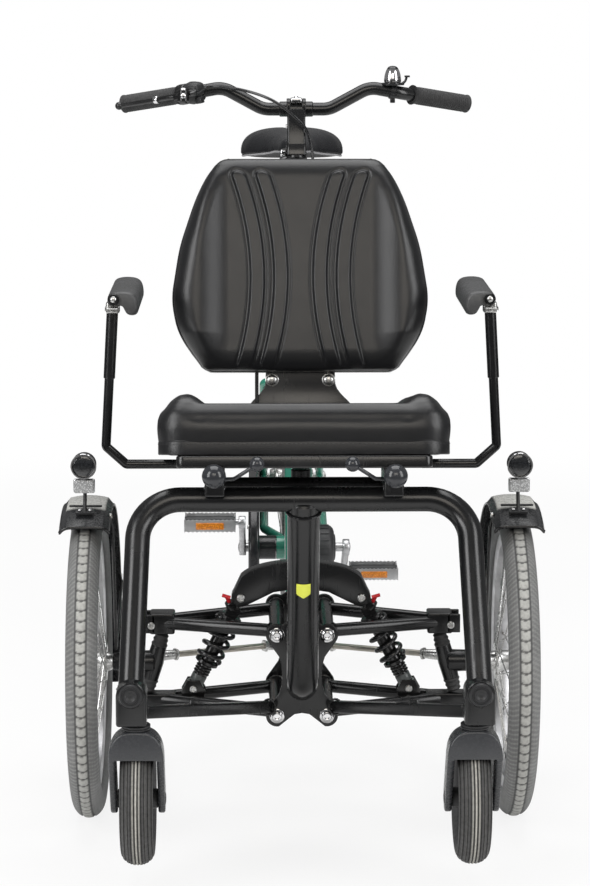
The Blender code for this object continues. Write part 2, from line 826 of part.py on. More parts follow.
def castor(name, side):
    x = side * HALF_CASTOR
    half = CASTOR_FORK_WIDTH / 2
    inner = half - CASTOR_ARM_THICKNESS
    arm_x = half - CASTOR_ARM_THICKNESS / 2
    arm_slack = CASTOR_ARM_THICKNESS * CASTOR_ARM_OVERLAP_SHARE
    hood = CASTOR_RADIUS + CASTOR_HOOD_GAP
    front = CASTOR_TRAIL + CASTOR_CROWN_DEPTH / 2
    crown_low = CASTOR_AXLE_Z + math.sqrt(hood * hood - front * front)
    shoulder = (half - CASTOR_SHOULDER, CASTOR_CROWN_TOP - CASTOR_SHOULDER)
    outline = arc(shoulder, CASTOR_SHOULDER, 0, math.pi / 2, 4)
    outline += [(-x0, z0) for x0, z0 in reversed(outline)]
    outline += [(-half, crown_low), (half, crown_low)]
    crown = plate([outline], CASTOR_CROWN_DEPTH, at(x, SWIVEL_Y, 0) @ UPRIGHT_PLANE)
    hollow = drill(
        (x - inner, CASTOR_AXLE_Y, CASTOR_AXLE_Z),
        (x + inner, CASTOR_AXLE_Y, CASTOR_AXLE_Z),
        CASTOR_RADIUS,
        CASTOR_HOOD_GAP,
        SMALL_WHEEL_STEPS,
    )
    crown = cut(crown, hollow)
    arm_half = CASTOR_ARM_DEPTH / 2
    arm_top = crown_low + CASTOR_CROWN_HEIGHT / 2 - CASTOR_AXLE_Z
    side_view = arc((0, 0), arm_half, math.pi, 2 * math.pi, 8)
    side_view += [(arm_half - CASTOR_TRAIL, arm_top), (-arm_half - CASTOR_TRAIL, arm_top)]
    arms = []
    for s in (-1, 1):
        place = at(x + s * (arm_x - arm_slack), CASTOR_AXLE_Y, CASTOR_AXLE_Z)
        arms.append(plate([side_view], CASTOR_ARM_THICKNESS, place @ SIDE_PLANE))
    axle = rod(
        (x - half - CASTOR_AXLE_RADIUS, CASTOR_AXLE_Y, CASTOR_AXLE_Z),
        (x + half + CASTOR_AXLE_RADIUS, CASTOR_AXLE_Y, CASTOR_AXLE_Z),
        CASTOR_AXLE_RADIUS,
    )
    neck = rod(
        (x, SWIVEL_Y, CASTOR_CROWN_TOP - CASTOR_CROWN_HEIGHT / 2),
        (x, SWIVEL_Y, CASTOR_CROWN_TOP + CASTOR_NECK_HEIGHT),
        CASTOR_NECK_RADIUS,
        sides=TURN_STEPS,
    )
    fork = fuse(crown, *arms, axle, neck)
    node("castor_fork_" + name, fork, PLASTIC, "castor_fork_" + name)

    centre = at(x, CASTOR_AXLE_Y, CASTOR_AXLE_Z) @ ACROSS
    body = "castor_wheel_" + name
    tyre = tyre_ring(CASTOR_RADIUS, CASTOR_WIDTH, CASTOR_HUB_RADIUS, SMALL_WHEEL_STEPS)
    node("castor_tyre_" + name, placed(tyre, centre), RUBBER, body)
    wide = half - CASTOR_ARM_THICKNESS - JOINT_GAP
    rim = CASTOR_WIDTH / 2 * CASTOR_RIM_SHARE
    bore = CASTOR_AXLE_RADIUS + PIN_CLEARANCE
    web = rim * CASTOR_WEB_SHARE
    boss = bore * CASTOR_BOSS_SHARE
    hub = turned(
        [
            (bore, -wide),
            (boss, -wide),
            (boss, -web),
            (CASTOR_HUB_RADIUS * CASTOR_DISH_SHARE, -web),
            (CASTOR_HUB_RADIUS, -rim),
            (CASTOR_HUB_RADIUS, rim),
            (CASTOR_HUB_RADIUS * CASTOR_DISH_SHARE, web),
            (boss, web),
            (boss, wide),
            (bore, wide),
        ],
        SMALL_WHEEL_STEPS,
        ring=True,
    )
    node("castor_hub_" + name, placed(hub, centre), PLASTIC, body)


def hourglass():
    """The pivot plates' outline in X and Z: four round lobes and a drawn-in waist."""
    spread, lobe = PIVOT_HALF_SPREAD, PIVOT_LOBE_RADIUS
    middle = (PIVOT_UPPER_Z + PIVOT_LOWER_Z) / 2
    side = arc((spread, PIVOT_LOWER_Z), lobe, -math.pi / 2, math.pi / 5, 4)
    side.append((PIVOT_WAIST + lobe * 0.35, middle - lobe * 1.3))
    side.append((PIVOT_WAIST + lobe * 0.2, middle))
    side.append((PIVOT_WAIST + lobe * 0.35, middle + lobe * 1.3))
    side += arc((spread, PIVOT_UPPER_Z), lobe, -math.pi / 5, math.pi * 0.6, 4)
    side.append((PIVOT_WAIST * 0.5, PIVOT_UPPER_Z + lobe * 1.6))
    mirror = [(-x, z) for x, z in reversed(side)]
    arch = [(-spread * 0.5, PIVOT_LOWER_Z - lobe * 0.3), (0, PIVOT_LOWER_Z + lobe * 0.25)]
    arch.append((spread * 0.5, PIVOT_LOWER_Z - lobe * 0.3))
    return side + mirror + arch


def pivot_plate(y):
    return plate([hourglass()], PLATE_THICKNESS, at(0, y, 0) @ UPRIGHT_PLANE)


def pivot_bolts(y, outward):
    """Round bolt heads on the outer face of a pivot plate."""
    heads = []
    face = y + outward * PLATE_THICKNESS / 2
    for side in SIDES.values():
        for z in (PIVOT_UPPER_Z, PIVOT_LOWER_Z):
            x = side * PIVOT_HALF_SPREAD
            start = (x, face - outward * PLATE_THICKNESS / 2, z)
            end = (x, face + outward * PIVOT_BOLT_HEAD, z)
            heads.append(rod(start, end, PIVOT_BOLT_RADIUS))
    return heads


def front_frame():
    half = HOOP_WIDTH / 2
    foot_z = HOUSING_LOW_Z + HOUSING_HEIGHT / 2
    path = rounded(
        [
            (HOOP_FOOT_X, SWIVEL_Y, foot_z),
            (half, HOOP_TOP_Y, HOOP_TOP_Z),
            (-half, HOOP_TOP_Y, HOOP_TOP_Z),
            (-HOOP_FOOT_X, SWIVEL_Y, foot_z),
        ],
        HOOP_BEND_RADIUS,
    )
    hoop = tube(path, HOOP_TUBE_RADIUS)
    post_path = rounded(
        [
            (0, HOOP_TOP_Y, HOOP_TOP_Z),
            (0, POST_BEND_Y, POST_BEND_Z),
            (0, PLATE_FRONT_Y, POST_END_Z),
        ],
        POST_BEND_RADIUS * POST_BEND_SHARE,
    )
    pieces = [tube(post_path, POST_RADIUS), pivot_plate(PLATE_FRONT_Y)]
    pieces += pivot_bolts(PLATE_FRONT_Y, -1)
    for side in SIDES.values():
        x = side * (HALF_CASTOR + HOUSING_OFFSET)
        rounding = HOUSING_WIDTH * HOUSING_ROUNDING_SHARE
        size = (HOUSING_WIDTH, HOUSING_DEPTH, HOUSING_HEIGHT)
        pieces.append(box(size, (x, SWIVEL_Y, HOUSING_LOW_Z + HOUSING_HEIGHT / 2), rounding))
        front = SWIVEL_Y - HOUSING_DEPTH / 2
        pieces.append(
            rod(
                (x, front + HOUSING_CAP_DEPTH, HOUSING_CAP_Z),
                (x, front - HOUSING_CAP_DEPTH, HOUSING_CAP_Z),
                HOUSING_CAP_RADIUS,
                sides=TURN_STEPS,
            )
        )
        pieces.append(brace(side))
    return fuse(hoop, *pieces)


def brace(side):
    """A flat bar from the foot of the front plate out to a castor housing."""
    outer_x = HALF_CASTOR + HOUSING_OFFSET - HOUSING_WIDTH * BRACE_INSET_SHARE
    outer = both(outer_x, BRACE_OUTER_Y, BRACE_OUTER_Z, side)
    inner = both(BRACE_INNER_X, PLATE_FRONT_Y - PLATE_THICKNESS / 2, BRACE_INNER_Z, side)
    along = outer - inner
    across = Vector((along.y, -along.x, 0)).normalized() * BRACE_THICKNESS / 2
    up = Vector((0, 0, BRACE_HEIGHT / 2))
    rings = []
    for end in (inner, outer):
        rings.append([end + across + up, end - across + up, end - across - up, end + across - up])
    return loft(rings)


def spine():
    """Rear pivot plate, shock tower, the beam to the steering head and the prop under the seat."""
    rear = pivot_plate(PLATE_REAR_Y)
    pieces = pivot_bolts(PLATE_REAR_Y, 1)
    head = column_point(SPINE_Z)
    beam_front = PLATE_FRONT_Y + PLATE_THICKNESS / 2 + SEAT_GAP
    reach = head.y - HEAD_RADIUS - SEAT_GAP * 3
    pieces.append(rod((0, beam_front, SPINE_Z), (0, reach, SPINE_Z), SPINE_RADIUS))
    pieces.append(tower())
    pieces.append(rod((0, SEAT_PROP_Y, SPINE_Z), (0, SEAT_PROP_Y, SEAT_PLATE_Z), SEAT_PROP_RADIUS))
    made = fuse(rear, *pieces)
    length = SEAT_PLATE_BACK - SEAT_PLATE_FRONT
    under_seat = box(
        (SEAT_PLATE_WIDTH, length, CUSHION_HEIGHT),
        (0, (SEAT_PLATE_BACK + SEAT_PLATE_FRONT) / 2, SEAT_PLATE_Z - SEAT_GAP + CUSHION_HEIGHT / 2),
    )
    low, high = column_point(HEAD_LOW_Z - HEAD_RADIUS), column_point(HEAD_TOP_Z)
    clearance = rod(low, high, HEAD_RADIUS + SEAT_GAP / math.cos(math.pi / TURN_STEPS), sides=TURN_STEPS)
    return cut(made, clearance, placed(under_seat, seat_tilt()))


def tower():
    """The crescent that the shocks hang from: an arc over a flatter arc, with round tips."""
    rise = TOWER_TOP_Z - TOWER_TIP_Z - TOWER_TIP_RADIUS
    top = []
    for step in range(9):
        angle = math.pi * (0.12 + 0.76 * step / 8)
        scale = math.cos(math.pi * 0.12)
        height = TOWER_TIP_Z + TOWER_TIP_RADIUS + rise * math.sin(angle)
        top.append((TOWER_TIP_X * math.cos(angle) / scale, height))
    left_tip = arc((-TOWER_TIP_X, TOWER_TIP_Z), TOWER_TIP_RADIUS, math.pi * 0.75, math.pi * 1.7, 6)
    right_tip = arc((TOWER_TIP_X, TOWER_TIP_Z), TOWER_TIP_RADIUS, -math.pi * 0.7, math.pi * 0.25, 6)
    low = [(-TOWER_TIP_X * 0.5, TOWER_ARCH_Z - TOWER_TIP_RADIUS * 0.4), (0, TOWER_ARCH_Z)]
    low.append((TOWER_TIP_X * 0.5, TOWER_ARCH_Z - TOWER_TIP_RADIUS * 0.4))
    outline = top + left_tip + low + right_tip
    return plate([outline], TOWER_DEPTH, at(0, TOWER_Y, 0) @ UPRIGHT_PLANE)


def arm(z, side, block_height, block_z):
    """A suspension arm: two tubes that meet in the outer block, with the pivot bush between the plates."""
    x = PIVOT_HALF_SPREAD
    front = PLATE_FRONT_Y + PLATE_THICKNESS / 2 + SEAT_GAP
    back = PLATE_REAR_Y - PLATE_THICKNESS / 2 - SEAT_GAP
    bush = rod(both(x, front, z, side), both(x, back, z, side), PIVOT_BUSH_RADIUS)
    outer = both(ARM_OUTER_X, 0, block_z, side)
    tubes = []
    for end, inset in ((front, ARM_EYE_INSET), (back, -ARM_EYE_INSET)):
        tubes.append(rod(both(x, end + inset, z, side), outer, ARM_TUBE_RADIUS))
    rounding = ARM_TUBE_RADIUS * ARM_BLOCK_ROUNDING_SHARE
    block = box((ARM_BLOCK_LENGTH, ARM_BLOCK_DEPTH, block_height), outer, rounding)
    return bush, tubes, block


def suspension(name, side):
    top_face = kingpin_point(KINGPIN_TOP_Z, side).z + KINGPIN_BALL_RADIUS + JOINT_GAP
    upper_z = top_face + ARM_BLOCK_HEIGHT / 2
    bush, tubes, block = arm(PIVOT_UPPER_Z, side, ARM_BLOCK_HEIGHT, upper_z)
    node("wishbone_upper_" + name, fuse(bush, *tubes, block), BLACK)
    low_face = kingpin_point(KINGPIN_LOW_Z, side).z - KINGPIN_BALL_RADIUS - JOINT_GAP
    lower_z = low_face - LOWER_BLOCK_HEIGHT / 2
    bush, tubes, block = arm(PIVOT_LOWER_Z, side, LOWER_BLOCK_HEIGHT, lower_z)
    reach = box(
        (ARM_BLOCK_LENGTH, ARM_BLOCK_DEPTH * LOWER_BLOCK_DEPTH_SHARE, LOWER_BLOCK_HEIGHT),
        both(ARM_OUTER_X + KINGPIN_LOW_X - KINGPIN_TOP_X, 0, lower_z, side),
    )
    crossbar = rod(
        both(SHOCK_LOW_X, -ARM_TUBE_RADIUS * 3, PIVOT_LOWER_Z, side),
        both(SHOCK_LOW_X, ARM_TUBE_RADIUS * 3, PIVOT_LOWER_Z, side),
        ARM_TUBE_RADIUS * ARM_TAPER_SHARE,
    )
    node("wishbone_lower_" + name, fuse(bush, *tubes, block, reach, crossbar), BLACK)

    low_z = PIVOT_LOWER_Z + ARM_TUBE_RADIUS * ARM_TAPER_SHARE + SEAT_GAP + SHOCK_EYE_RADIUS
    low = both(SHOCK_LOW_X, TOWER_Y, low_z, side)
    tip = both(TOWER_TIP_X, TOWER_Y, TOWER_TIP_Z, side)
    axis = (low - tip).normalized()
    top = tip + axis * (TOWER_TIP_RADIUS + SEAT_GAP + SHOCK_EYE_RADIUS)
    collar = top + axis * (SHOCK_EYE_RADIUS * 0.8)
    cap_low = collar + axis * SPRING_CAP_HEIGHT
    spring_end = cap_low + axis * SPRING_LENGTH
    flange_low = spring_end + axis * SPRING_CAP_HEIGHT
    body = rod(collar, low, SHOCK_BODY_RADIUS)
    eye_half = Vector((0, SHOCK_EYE_RADIUS, 0))
    pieces = [
        rod(collar, cap_low, SHOCK_CAP_RADIUS, sides=TURN_STEPS),
        rod(spring_end, flange_low, SHOCK_CAP_RADIUS, sides=TURN_STEPS),
        rod(top - eye_half, top + eye_half, SHOCK_EYE_RADIUS),
        rod(low - eye_half, low + eye_half, SHOCK_EYE_RADIUS),
    ]
    node("damper_" + name, fuse(body, *pieces), BLACK)
    gap = axis * (SPRING_WIRE_RADIUS + SEAT_GAP)
    node("spring_" + name, spring(cap_low + gap, spring_end - gap), BLACK)


def spring(start, end):
    """A coil from one cap to the other, whose end turns lie flat."""
    steps = int(SPRING_TURNS * SPRING_STEPS)
    turn = facing(end - start)
    length = (end - start).length
    points = []
    for step in range(steps + 1):
        share = step / steps
        rise = length * min(max((share - 0.1) / 0.8, 0), 1)
        angle = 2 * math.pi * SPRING_TURNS * share
        offset = Vector((SPRING_RADIUS * math.cos(angle), SPRING_RADIUS * math.sin(angle), rise))
        points.append(start + turn @ offset)
    return tube(points, SPRING_WIRE_RADIUS, 1)


def knuckle(name, side):
    """The upright that turns on its kingpin, with its stub axle and the arm for the tie rod."""
    top = kingpin_point(KINGPIN_TOP_Z, side)
    low = kingpin_point(KINGPIN_LOW_Z, side)
    hub_inner = HALF_TRACK - HUB_LENGTH / 2 - JOINT_GAP
    centre = kingpin_point(WHEEL_RADIUS, side)
    ball_z = TRACK_ARM_Z
    arm_end = both(TRACK_ARM_X, TRACK_ARM_Y, ball_z, side)
    arm_start = kingpin_point((KINGPIN_LOW_Z + WHEEL_RADIUS) / 2, side)
    stub = both(hub_inner, 0, WHEEL_RADIUS, side)
    pieces = [
        ball(top, KINGPIN_BALL_RADIUS),
        ball(low, KINGPIN_BALL_RADIUS),
        rod(centre, stub, STUB_HOUSING_RADIUS, STUB_HOUSING_RADIUS * STUB_TAPER_SHARE),
        rod(centre, both(STUB_END_X, 0, WHEEL_RADIUS, side), AXLE_RADIUS),
        rod(
            both(HALF_TRACK + HUB_LENGTH / 2 + JOINT_GAP, 0, WHEEL_RADIUS, side),
            both(HALF_TRACK + HUB_LENGTH / 2 + STUB_NUT_LENGTH, 0, WHEEL_RADIUS, side),
            STUB_NUT_RADIUS,
            sides=6,
        ),
        rod(arm_start, arm_end, TRACK_ARM_RADIUS, TRACK_ARM_RADIUS * TRACK_ARM_TAPER_SHARE),
        ball(arm_end, BALL_RADIUS * BALL_SEAT_SHARE),
    ]
    made = fuse(rod(low, top, UPRIGHT_RADIUS), *pieces)
    node("knuckle_" + name, made, BLACK, "knuckle_" + name)


def guard_section(radius, width, lip_width, drop, wall):
    """A mudguard's cross-section in (offset across, radius): a shallow channel with flared lips."""
    half, lip = width / 2, lip_width / 2
    outer = [(-lip, radius - drop), (-half, radius), (-half * 0.4, radius + drop * GUARD_CROWN_SHARE)]
    outer += [(-x, r) for x, r in reversed(outer)]
    inner = [(x, r - wall) for x, r in reversed(outer)]
    return outer + inner


def guard(centre, section, start, end, steps):
    """A mudguard swept about an axle: angles run from the top, forward positive."""
    rings = []
    for step in range(steps + 1):
        angle = start + (end - start) * step / steps
        back = -math.sin(angle)
        up = math.cos(angle)
        rings.append([Vector(centre) + Vector((x, back * r, up * r)) for x, r in section])
    return loft(rings)


def front_guard(name, side):
    centre = (side * HALF_TRACK, 0, WHEEL_RADIUS)
    radius = WHEEL_RADIUS + GUARD_GAP + GUARD_WALL
    section = guard_section(radius, GUARD_WIDTH, GUARD_LIP_WIDTH, GUARD_LIP_DROP, GUARD_WALL)
    shell = guard(centre, section, GUARD_FRONT_ANGLE, GUARD_REAR_ANGLE, GUARD_STEPS)
    stays = []
    lip = GUARD_LIP_WIDTH / 2
    foot_rise = STUB_HOUSING_RADIUS * STUB_TAPER_SHARE + GUARD_STAY_RADIUS + SEAT_GAP
    foot = both(GUARD_STAY_X, 0, WHEEL_RADIUS + foot_rise, side)
    for angle in (math.radians(12), math.radians(-70)):
        reach = radius - GUARD_LIP_DROP
        top = Vector((side * (HALF_TRACK - lip), -math.sin(angle) * reach, WHEEL_RADIUS + math.cos(angle) * reach))
        stays.append(rod(foot, top, GUARD_STAY_RADIUS, sides=8))
    node("mudguard_" + name, fuse(shell, *stays), BLACK, "knuckle_" + name)

    x = side * HALF_TRACK
    foot_y = LAMP_Y
    top_radius = radius + GUARD_LIP_DROP * GUARD_CROWN_SHARE + SEAT_GAP
    foot_z = WHEEL_RADIUS + math.sqrt(top_radius ** 2 - foot_y ** 2)
    normal = Vector((0, foot_y, foot_z - WHEEL_RADIUS)).normalized()
    base = Vector((x, foot_y, foot_z))
    head = Vector((x, LAMP_Y, LAMP_Z))
    half = Vector((0, LAMP_LENGTH / 2, 0))
    lamp = fuse(
        rod(head + half, head - half, LAMP_RADIUS * LAMP_BACK_SHARE, LAMP_RADIUS, sides=TURN_STEPS),
        rod(base + normal * LAMP_FOOT_HEIGHT / 2, head, LAMP_STEM_RADIUS, sides=8),
        rod(base, base + normal * LAMP_FOOT_HEIGHT, LAMP_FOOT_RADIUS),
    )
    node("lamp_" + name, lamp, PLASTIC, "knuckle_" + name)


def tie_rod(name, side):
    """The rod from the pitman arm to a knuckle: exact at the pitman's ball, open at the knuckle's."""
    inner = pitman_ball(side)
    outer = both(TRACK_ARM_X, TRACK_ARM_Y, TRACK_ARM_Z, side)
    lift = BALL_RADIUS + JOINT_GAP
    inner_low = inner + COLUMN_AXIS * lift
    inner_top = inner_low + COLUMN_AXIS * ROD_END_HEIGHT
    outer_low = outer + Vector((0, 0, BALL_RADIUS * BALL_SEAT_SHARE + OPEN_PIVOT_GAP))
    outer_top = outer_low + Vector((0, 0, ROD_END_HEIGHT))
    start = (inner_low + inner_top) / 2
    end = (outer_low + outer_top) / 2
    along = (end - start).normalized()
    pieces = [
        rod(inner_low, inner_top, ROD_END_RADIUS),
        rod(outer_low, outer_top, ROD_END_RADIUS),
        rod(start, start + along * CLEVIS_LENGTH, CLEVIS_RADIUS, CLEVIS_RADIUS * CLEVIS_TAPER_SHARE),
        rod(end, end - along * CLEVIS_LENGTH, CLEVIS_RADIUS, CLEVIS_RADIUS * CLEVIS_TAPER_SHARE),
    ]
    node("tie_rod_" + name, fuse(rod(start, end, ROD_RADIUS), *pieces), STEEL, "tie_rod_" + name)


def steering():
    low = column_point(COLUMN_LOW_Z)
    stud_drop = COLUMN_AXIS * (BALL_RADIUS * 1.6)
    balls = [pitman_ball(side) for side in SIDES.values()]
    pieces = []
    for place in balls:
        pieces.append(ball(place, BALL_RADIUS))
        stud_low = place - stud_drop - COLUMN_AXIS * PITMAN_THICKNESS
        pieces.append(rod(stud_low, place, BALL_RADIUS * BALL_STUD_SHARE, sides=8))
    edge = PITMAN_MARGIN
    outline = arc((PITMAN_BALL_X, PITMAN_REACH), edge, -math.pi / 4, math.pi / 2, 4)
    outline += arc((-PITMAN_BALL_X, PITMAN_REACH), edge, math.pi / 2, math.pi * 1.25, 4)
    outline += arc((0, 0), COLUMN_RADIUS * 1.5, math.pi * 1.25, math.pi * 1.75, 4)
    frame = Matrix(
        (
            (1, COLUMN_BACK.x, COLUMN_AXIS.x, low.x),
            (0, COLUMN_BACK.y, COLUMN_AXIS.y, low.y),
            (0, COLUMN_BACK.z, COLUMN_AXIS.z, low.z),
            (0, 0, 0, 1),
        )
    )
    drop = -stud_drop.length - PITMAN_THICKNESS / 2
    pieces.append(plate([outline], PITMAN_THICKNESS, frame @ at(0, 0, drop)))
    bottom = low + COLUMN_AXIS * (drop - PITMAN_THICKNESS)
    shaft = rod(bottom, column_point(STEM_LOW_Z), COLUMN_RADIUS, sides=TURN_STEPS)
    node("steering_column", fuse(shaft, *pieces), BLACK, "steering")


def bar_path():
    """The handlebar's centre line: level at the clamp, up to each side, then down and back to the grips."""
    clamp_y = COLUMN_TOP_Y
    half = [
        (BAR_CORNER_X, clamp_y, BAR_CLAMP_Z),
        (BAR_TOP_X, clamp_y + BAR_TOP_BACK, BAR_TOP_Z),
        (BAR_SWEEP_X, clamp_y + BAR_SWEEP_BACK, BAR_SWEEP_Z),
        (BAR_HALF_WIDTH, clamp_y + BAR_GRIP_BACK, BAR_GRIP_Z),
    ]
    mirror = [(-x, y, z) for x, y, z in reversed(half)]
    return mirror + half


def grip_ends(side):
    """The inner and outer ends of a grip's sleeve, on the last straight of the bar."""
    points = bar_path()
    outer, inner = Vector(points[-1]), Vector(points[-2])
    along = (inner - outer).normalized()
    start = outer + along * GRIP_LENGTH
    return both(start.x, start.y, start.z, side), both(outer.x, outer.y, outer.z, side)


def handlebar():
    bar = tube(rounded(bar_path(), BAR_BEND_RADIUS, 3), BAR_RADIUS)
    top = column_point(STEM_LOW_Z)
    base = top + COLUMN_AXIS * SEAT_GAP
    stem_top = Vector((0, COLUMN_TOP_Y, BAR_CLAMP_Z))
    cap = stem_top + Vector((0, 0, STEM_RISE))
    across = Vector((STEM_WIDTH / 2, 0, 0))
    rings = []
    for middle, back in ((base, COLUMN_BACK * STEM_DEPTH / 2), (cap, Vector((0, STEM_DEPTH / 2, 0)))):
        front = middle - back
        rear = middle + back
        rings.append([front - across, front + across, rear + across, rear - across])
    stem = loft(rings)
    node("handlebar", fuse(bar, stem), BLACK, "steering")
    for name, side in SIDES.items():
        start, end = grip_ends(side)
        along = (end - start).normalized()
        sleeve = rod(start, end + along * BAR_RADIUS * GRIP_CAP_SHARE, GRIP_RADIUS, sides=TURN_STEPS)
        hole = drill(start - along * BAR_RADIUS, end + along * SEAT_GAP, BAR_RADIUS, SEAT_GAP)
        node("grip_" + name, cut(sleeve, hole), PLASTIC, "steering")


def controls():
    """The brake lever on the right grip's inner end and the bell on the left of the bar."""
    start, end = grip_ends(SIDES["right"])
    along = (start - end).normalized()
    clamp_start = start + along * SEAT_GAP * 4
    clamp_end = clamp_start + along * LEVER_CLAMP_WIDTH
    forward = Vector((0, -1, 0))
    reach = (clamp_start + clamp_end) / 2 + forward * LEVER_REACH
    tip = end - along * LEVER_OVERHANG + forward * LEVER_REACH
    clamp = rod(clamp_start, clamp_end, LEVER_CLAMP_RADIUS)
    lever = fuse(
        clamp,
        rod((clamp_start + clamp_end) / 2, reach, LEVER_RADIUS * LEVER_ROOT_SHARE, LEVER_RADIUS),
        rod(reach, tip, LEVER_RADIUS, LEVER_RADIUS * LEVER_TIP_SHARE, sides=8),
        ball(reach, LEVER_RADIUS * LEVER_KNUCKLE_SHARE),
    )
    past = along * LEVER_CLAMP_WIDTH
    hole = drill(clamp_start - past, clamp_end + past, BAR_RADIUS, SEAT_GAP)
    node("brake_lever", cut(lever, hole), STEEL, "steering")

    path = bar_path()
    inner, outer = Vector(path[5]), Vector(path[6])
    share = (BELL_X - inner.x) / (outer.x - inner.x)
    seat = inner.lerp(outer, share) + Vector((0, 0, BAR_RADIUS * BELL_SADDLE_SHARE))
    shares = ((0, 1), (0.6, 0.93), (0.92, 0.7), (1, 0.28), (0.55, 0.2), (0.4, 0), (0, 0))
    profile = [(BELL_RADIUS * out_share, BELL_HEIGHT * up_share) for out_share, up_share in shares]
    dome = turned(profile, TURN_STEPS)
    bell = cut(placed(dome, at(*seat)), drill(inner, outer, BAR_RADIUS, SEAT_GAP))
    node("bell", bell, STEEL, "steering")


def rear_frame():
    """The green rear half: head tube, two long tubes to the seat tube, the crank shell and the stays."""
    head = rod(column_point(HEAD_LOW_Z), column_point(HEAD_TOP_Z), HEAD_RADIUS, sides=TURN_STEPS)
    crank = Vector((0, CRANK_Y, CRANK_Z))
    pieces = [
        rod(column_point(DOWN_TUBE_Z), crank, FRAME_TUBE_RADIUS),
        rod(column_point(TOP_TUBE_Z), seat_tube_point(TOP_TUBE_END_Z), FRAME_TUBE_RADIUS * TOP_TUBE_SHARE),
        rod(crank, seat_tube_point(SEAT_TUBE_TOP_Z), SEAT_TUBE_RADIUS),
        rod(
            (-SHELL_LENGTH / 2, CRANK_Y, CRANK_Z),
            (SHELL_LENGTH / 2, CRANK_Y, CRANK_Z),
            SHELL_RADIUS,
            sides=TURN_STEPS,
        ),
    ]
    axle_z = REAR_WHEEL_RADIUS
    for side in SIDES.values():
        drop = both(STAY_SPREAD, REAR_AXLE_Y, axle_z, side)
        shell = both(SHELL_LENGTH * BRIDGE_PLACE_SHARE, CRANK_Y, CRANK_Z, side)
        past = both(SHELL_LENGTH * BRIDGE_PLACE_SHARE, CRANK_Y + DRIVE_RADIUS + STAY_RADIUS * 2, CRANK_Z, side)
        clear = both(STAY_SPREAD, REAR_AXLE_Y - REAR_WHEEL_RADIUS, CRANK_Z + STAY_RADIUS, side)
        pieces.append(tube(rounded([shell, past, clear, drop], STAY_RADIUS * 4, 3), STAY_RADIUS, 3))
        high = seat_tube_point(TOP_TUBE_END_Z + SEAT_TUBE_RADIUS * 4)
        bend = both(STAY_SPREAD, high.y + SADDLE_POST_RADIUS * 2, high.z - SEAT_TUBE_RADIUS, side)
        pieces.append(tube(rounded([high, bend, drop], SADDLE_POST_RADIUS), STAY_RADIUS * SEAT_STAY_SHARE, 3))
        bridge_out = Vector((0, bend.y - drop.y, bend.z - drop.z)).normalized()
        pieces.append(
            rod(
                drop - Vector((DROPOUT_THICKNESS / 2, 0, 0)),
                drop + Vector((DROPOUT_THICKNESS / 2, 0, 0)),
                DROPOUT_RADIUS,
                sides=TURN_STEPS,
            )
        )
    guard_top = REAR_WHEEL_RADIUS + REAR_GUARD_GAP + REAR_GUARD_WALL + GUARD_LIP_DROP * GUARD_CROWN_SHARE
    bridge = Vector((0, REAR_AXLE_Y, axle_z)) + bridge_out * (guard_top + SEAT_GAP + BRIDGE_RADIUS)
    across = Vector((STAY_SPREAD, 0, 0))
    pieces.append(rod(bridge - across, bridge + across, BRIDGE_RADIUS))
    reach = STAY_SPREAD + DROPOUT_THICKNESS + STUB_NUT_LENGTH
    pieces.append(rod((-reach, REAR_AXLE_Y, axle_z), (reach, REAR_AXLE_Y, axle_z), AXLE_RADIUS))
    made = fuse(head, *pieces)
    past = HEAD_RADIUS
    post_low = seat_tube_point(SEAT_TUBE_TOP_Z - SADDLE_POST_RADIUS * 4)
    bores = [
        drill(column_point(HEAD_LOW_Z - past), column_point(HEAD_TOP_Z + past), COLUMN_RADIUS, PIN_CLEARANCE / 2),
        drill(
            (-SHELL_LENGTH, CRANK_Y, CRANK_Z),
            (SHELL_LENGTH, CRANK_Y, CRANK_Z),
            CRANK_AXLE_RADIUS,
            PIN_CLEARANCE / 2,
        ),
        drill(post_low, seat_tube_point(SEAT_TUBE_TOP_Z + past), SADDLE_POST_RADIUS, SEAT_GAP),
    ]
    node("rear_frame", cut(made, *bores), GREEN)


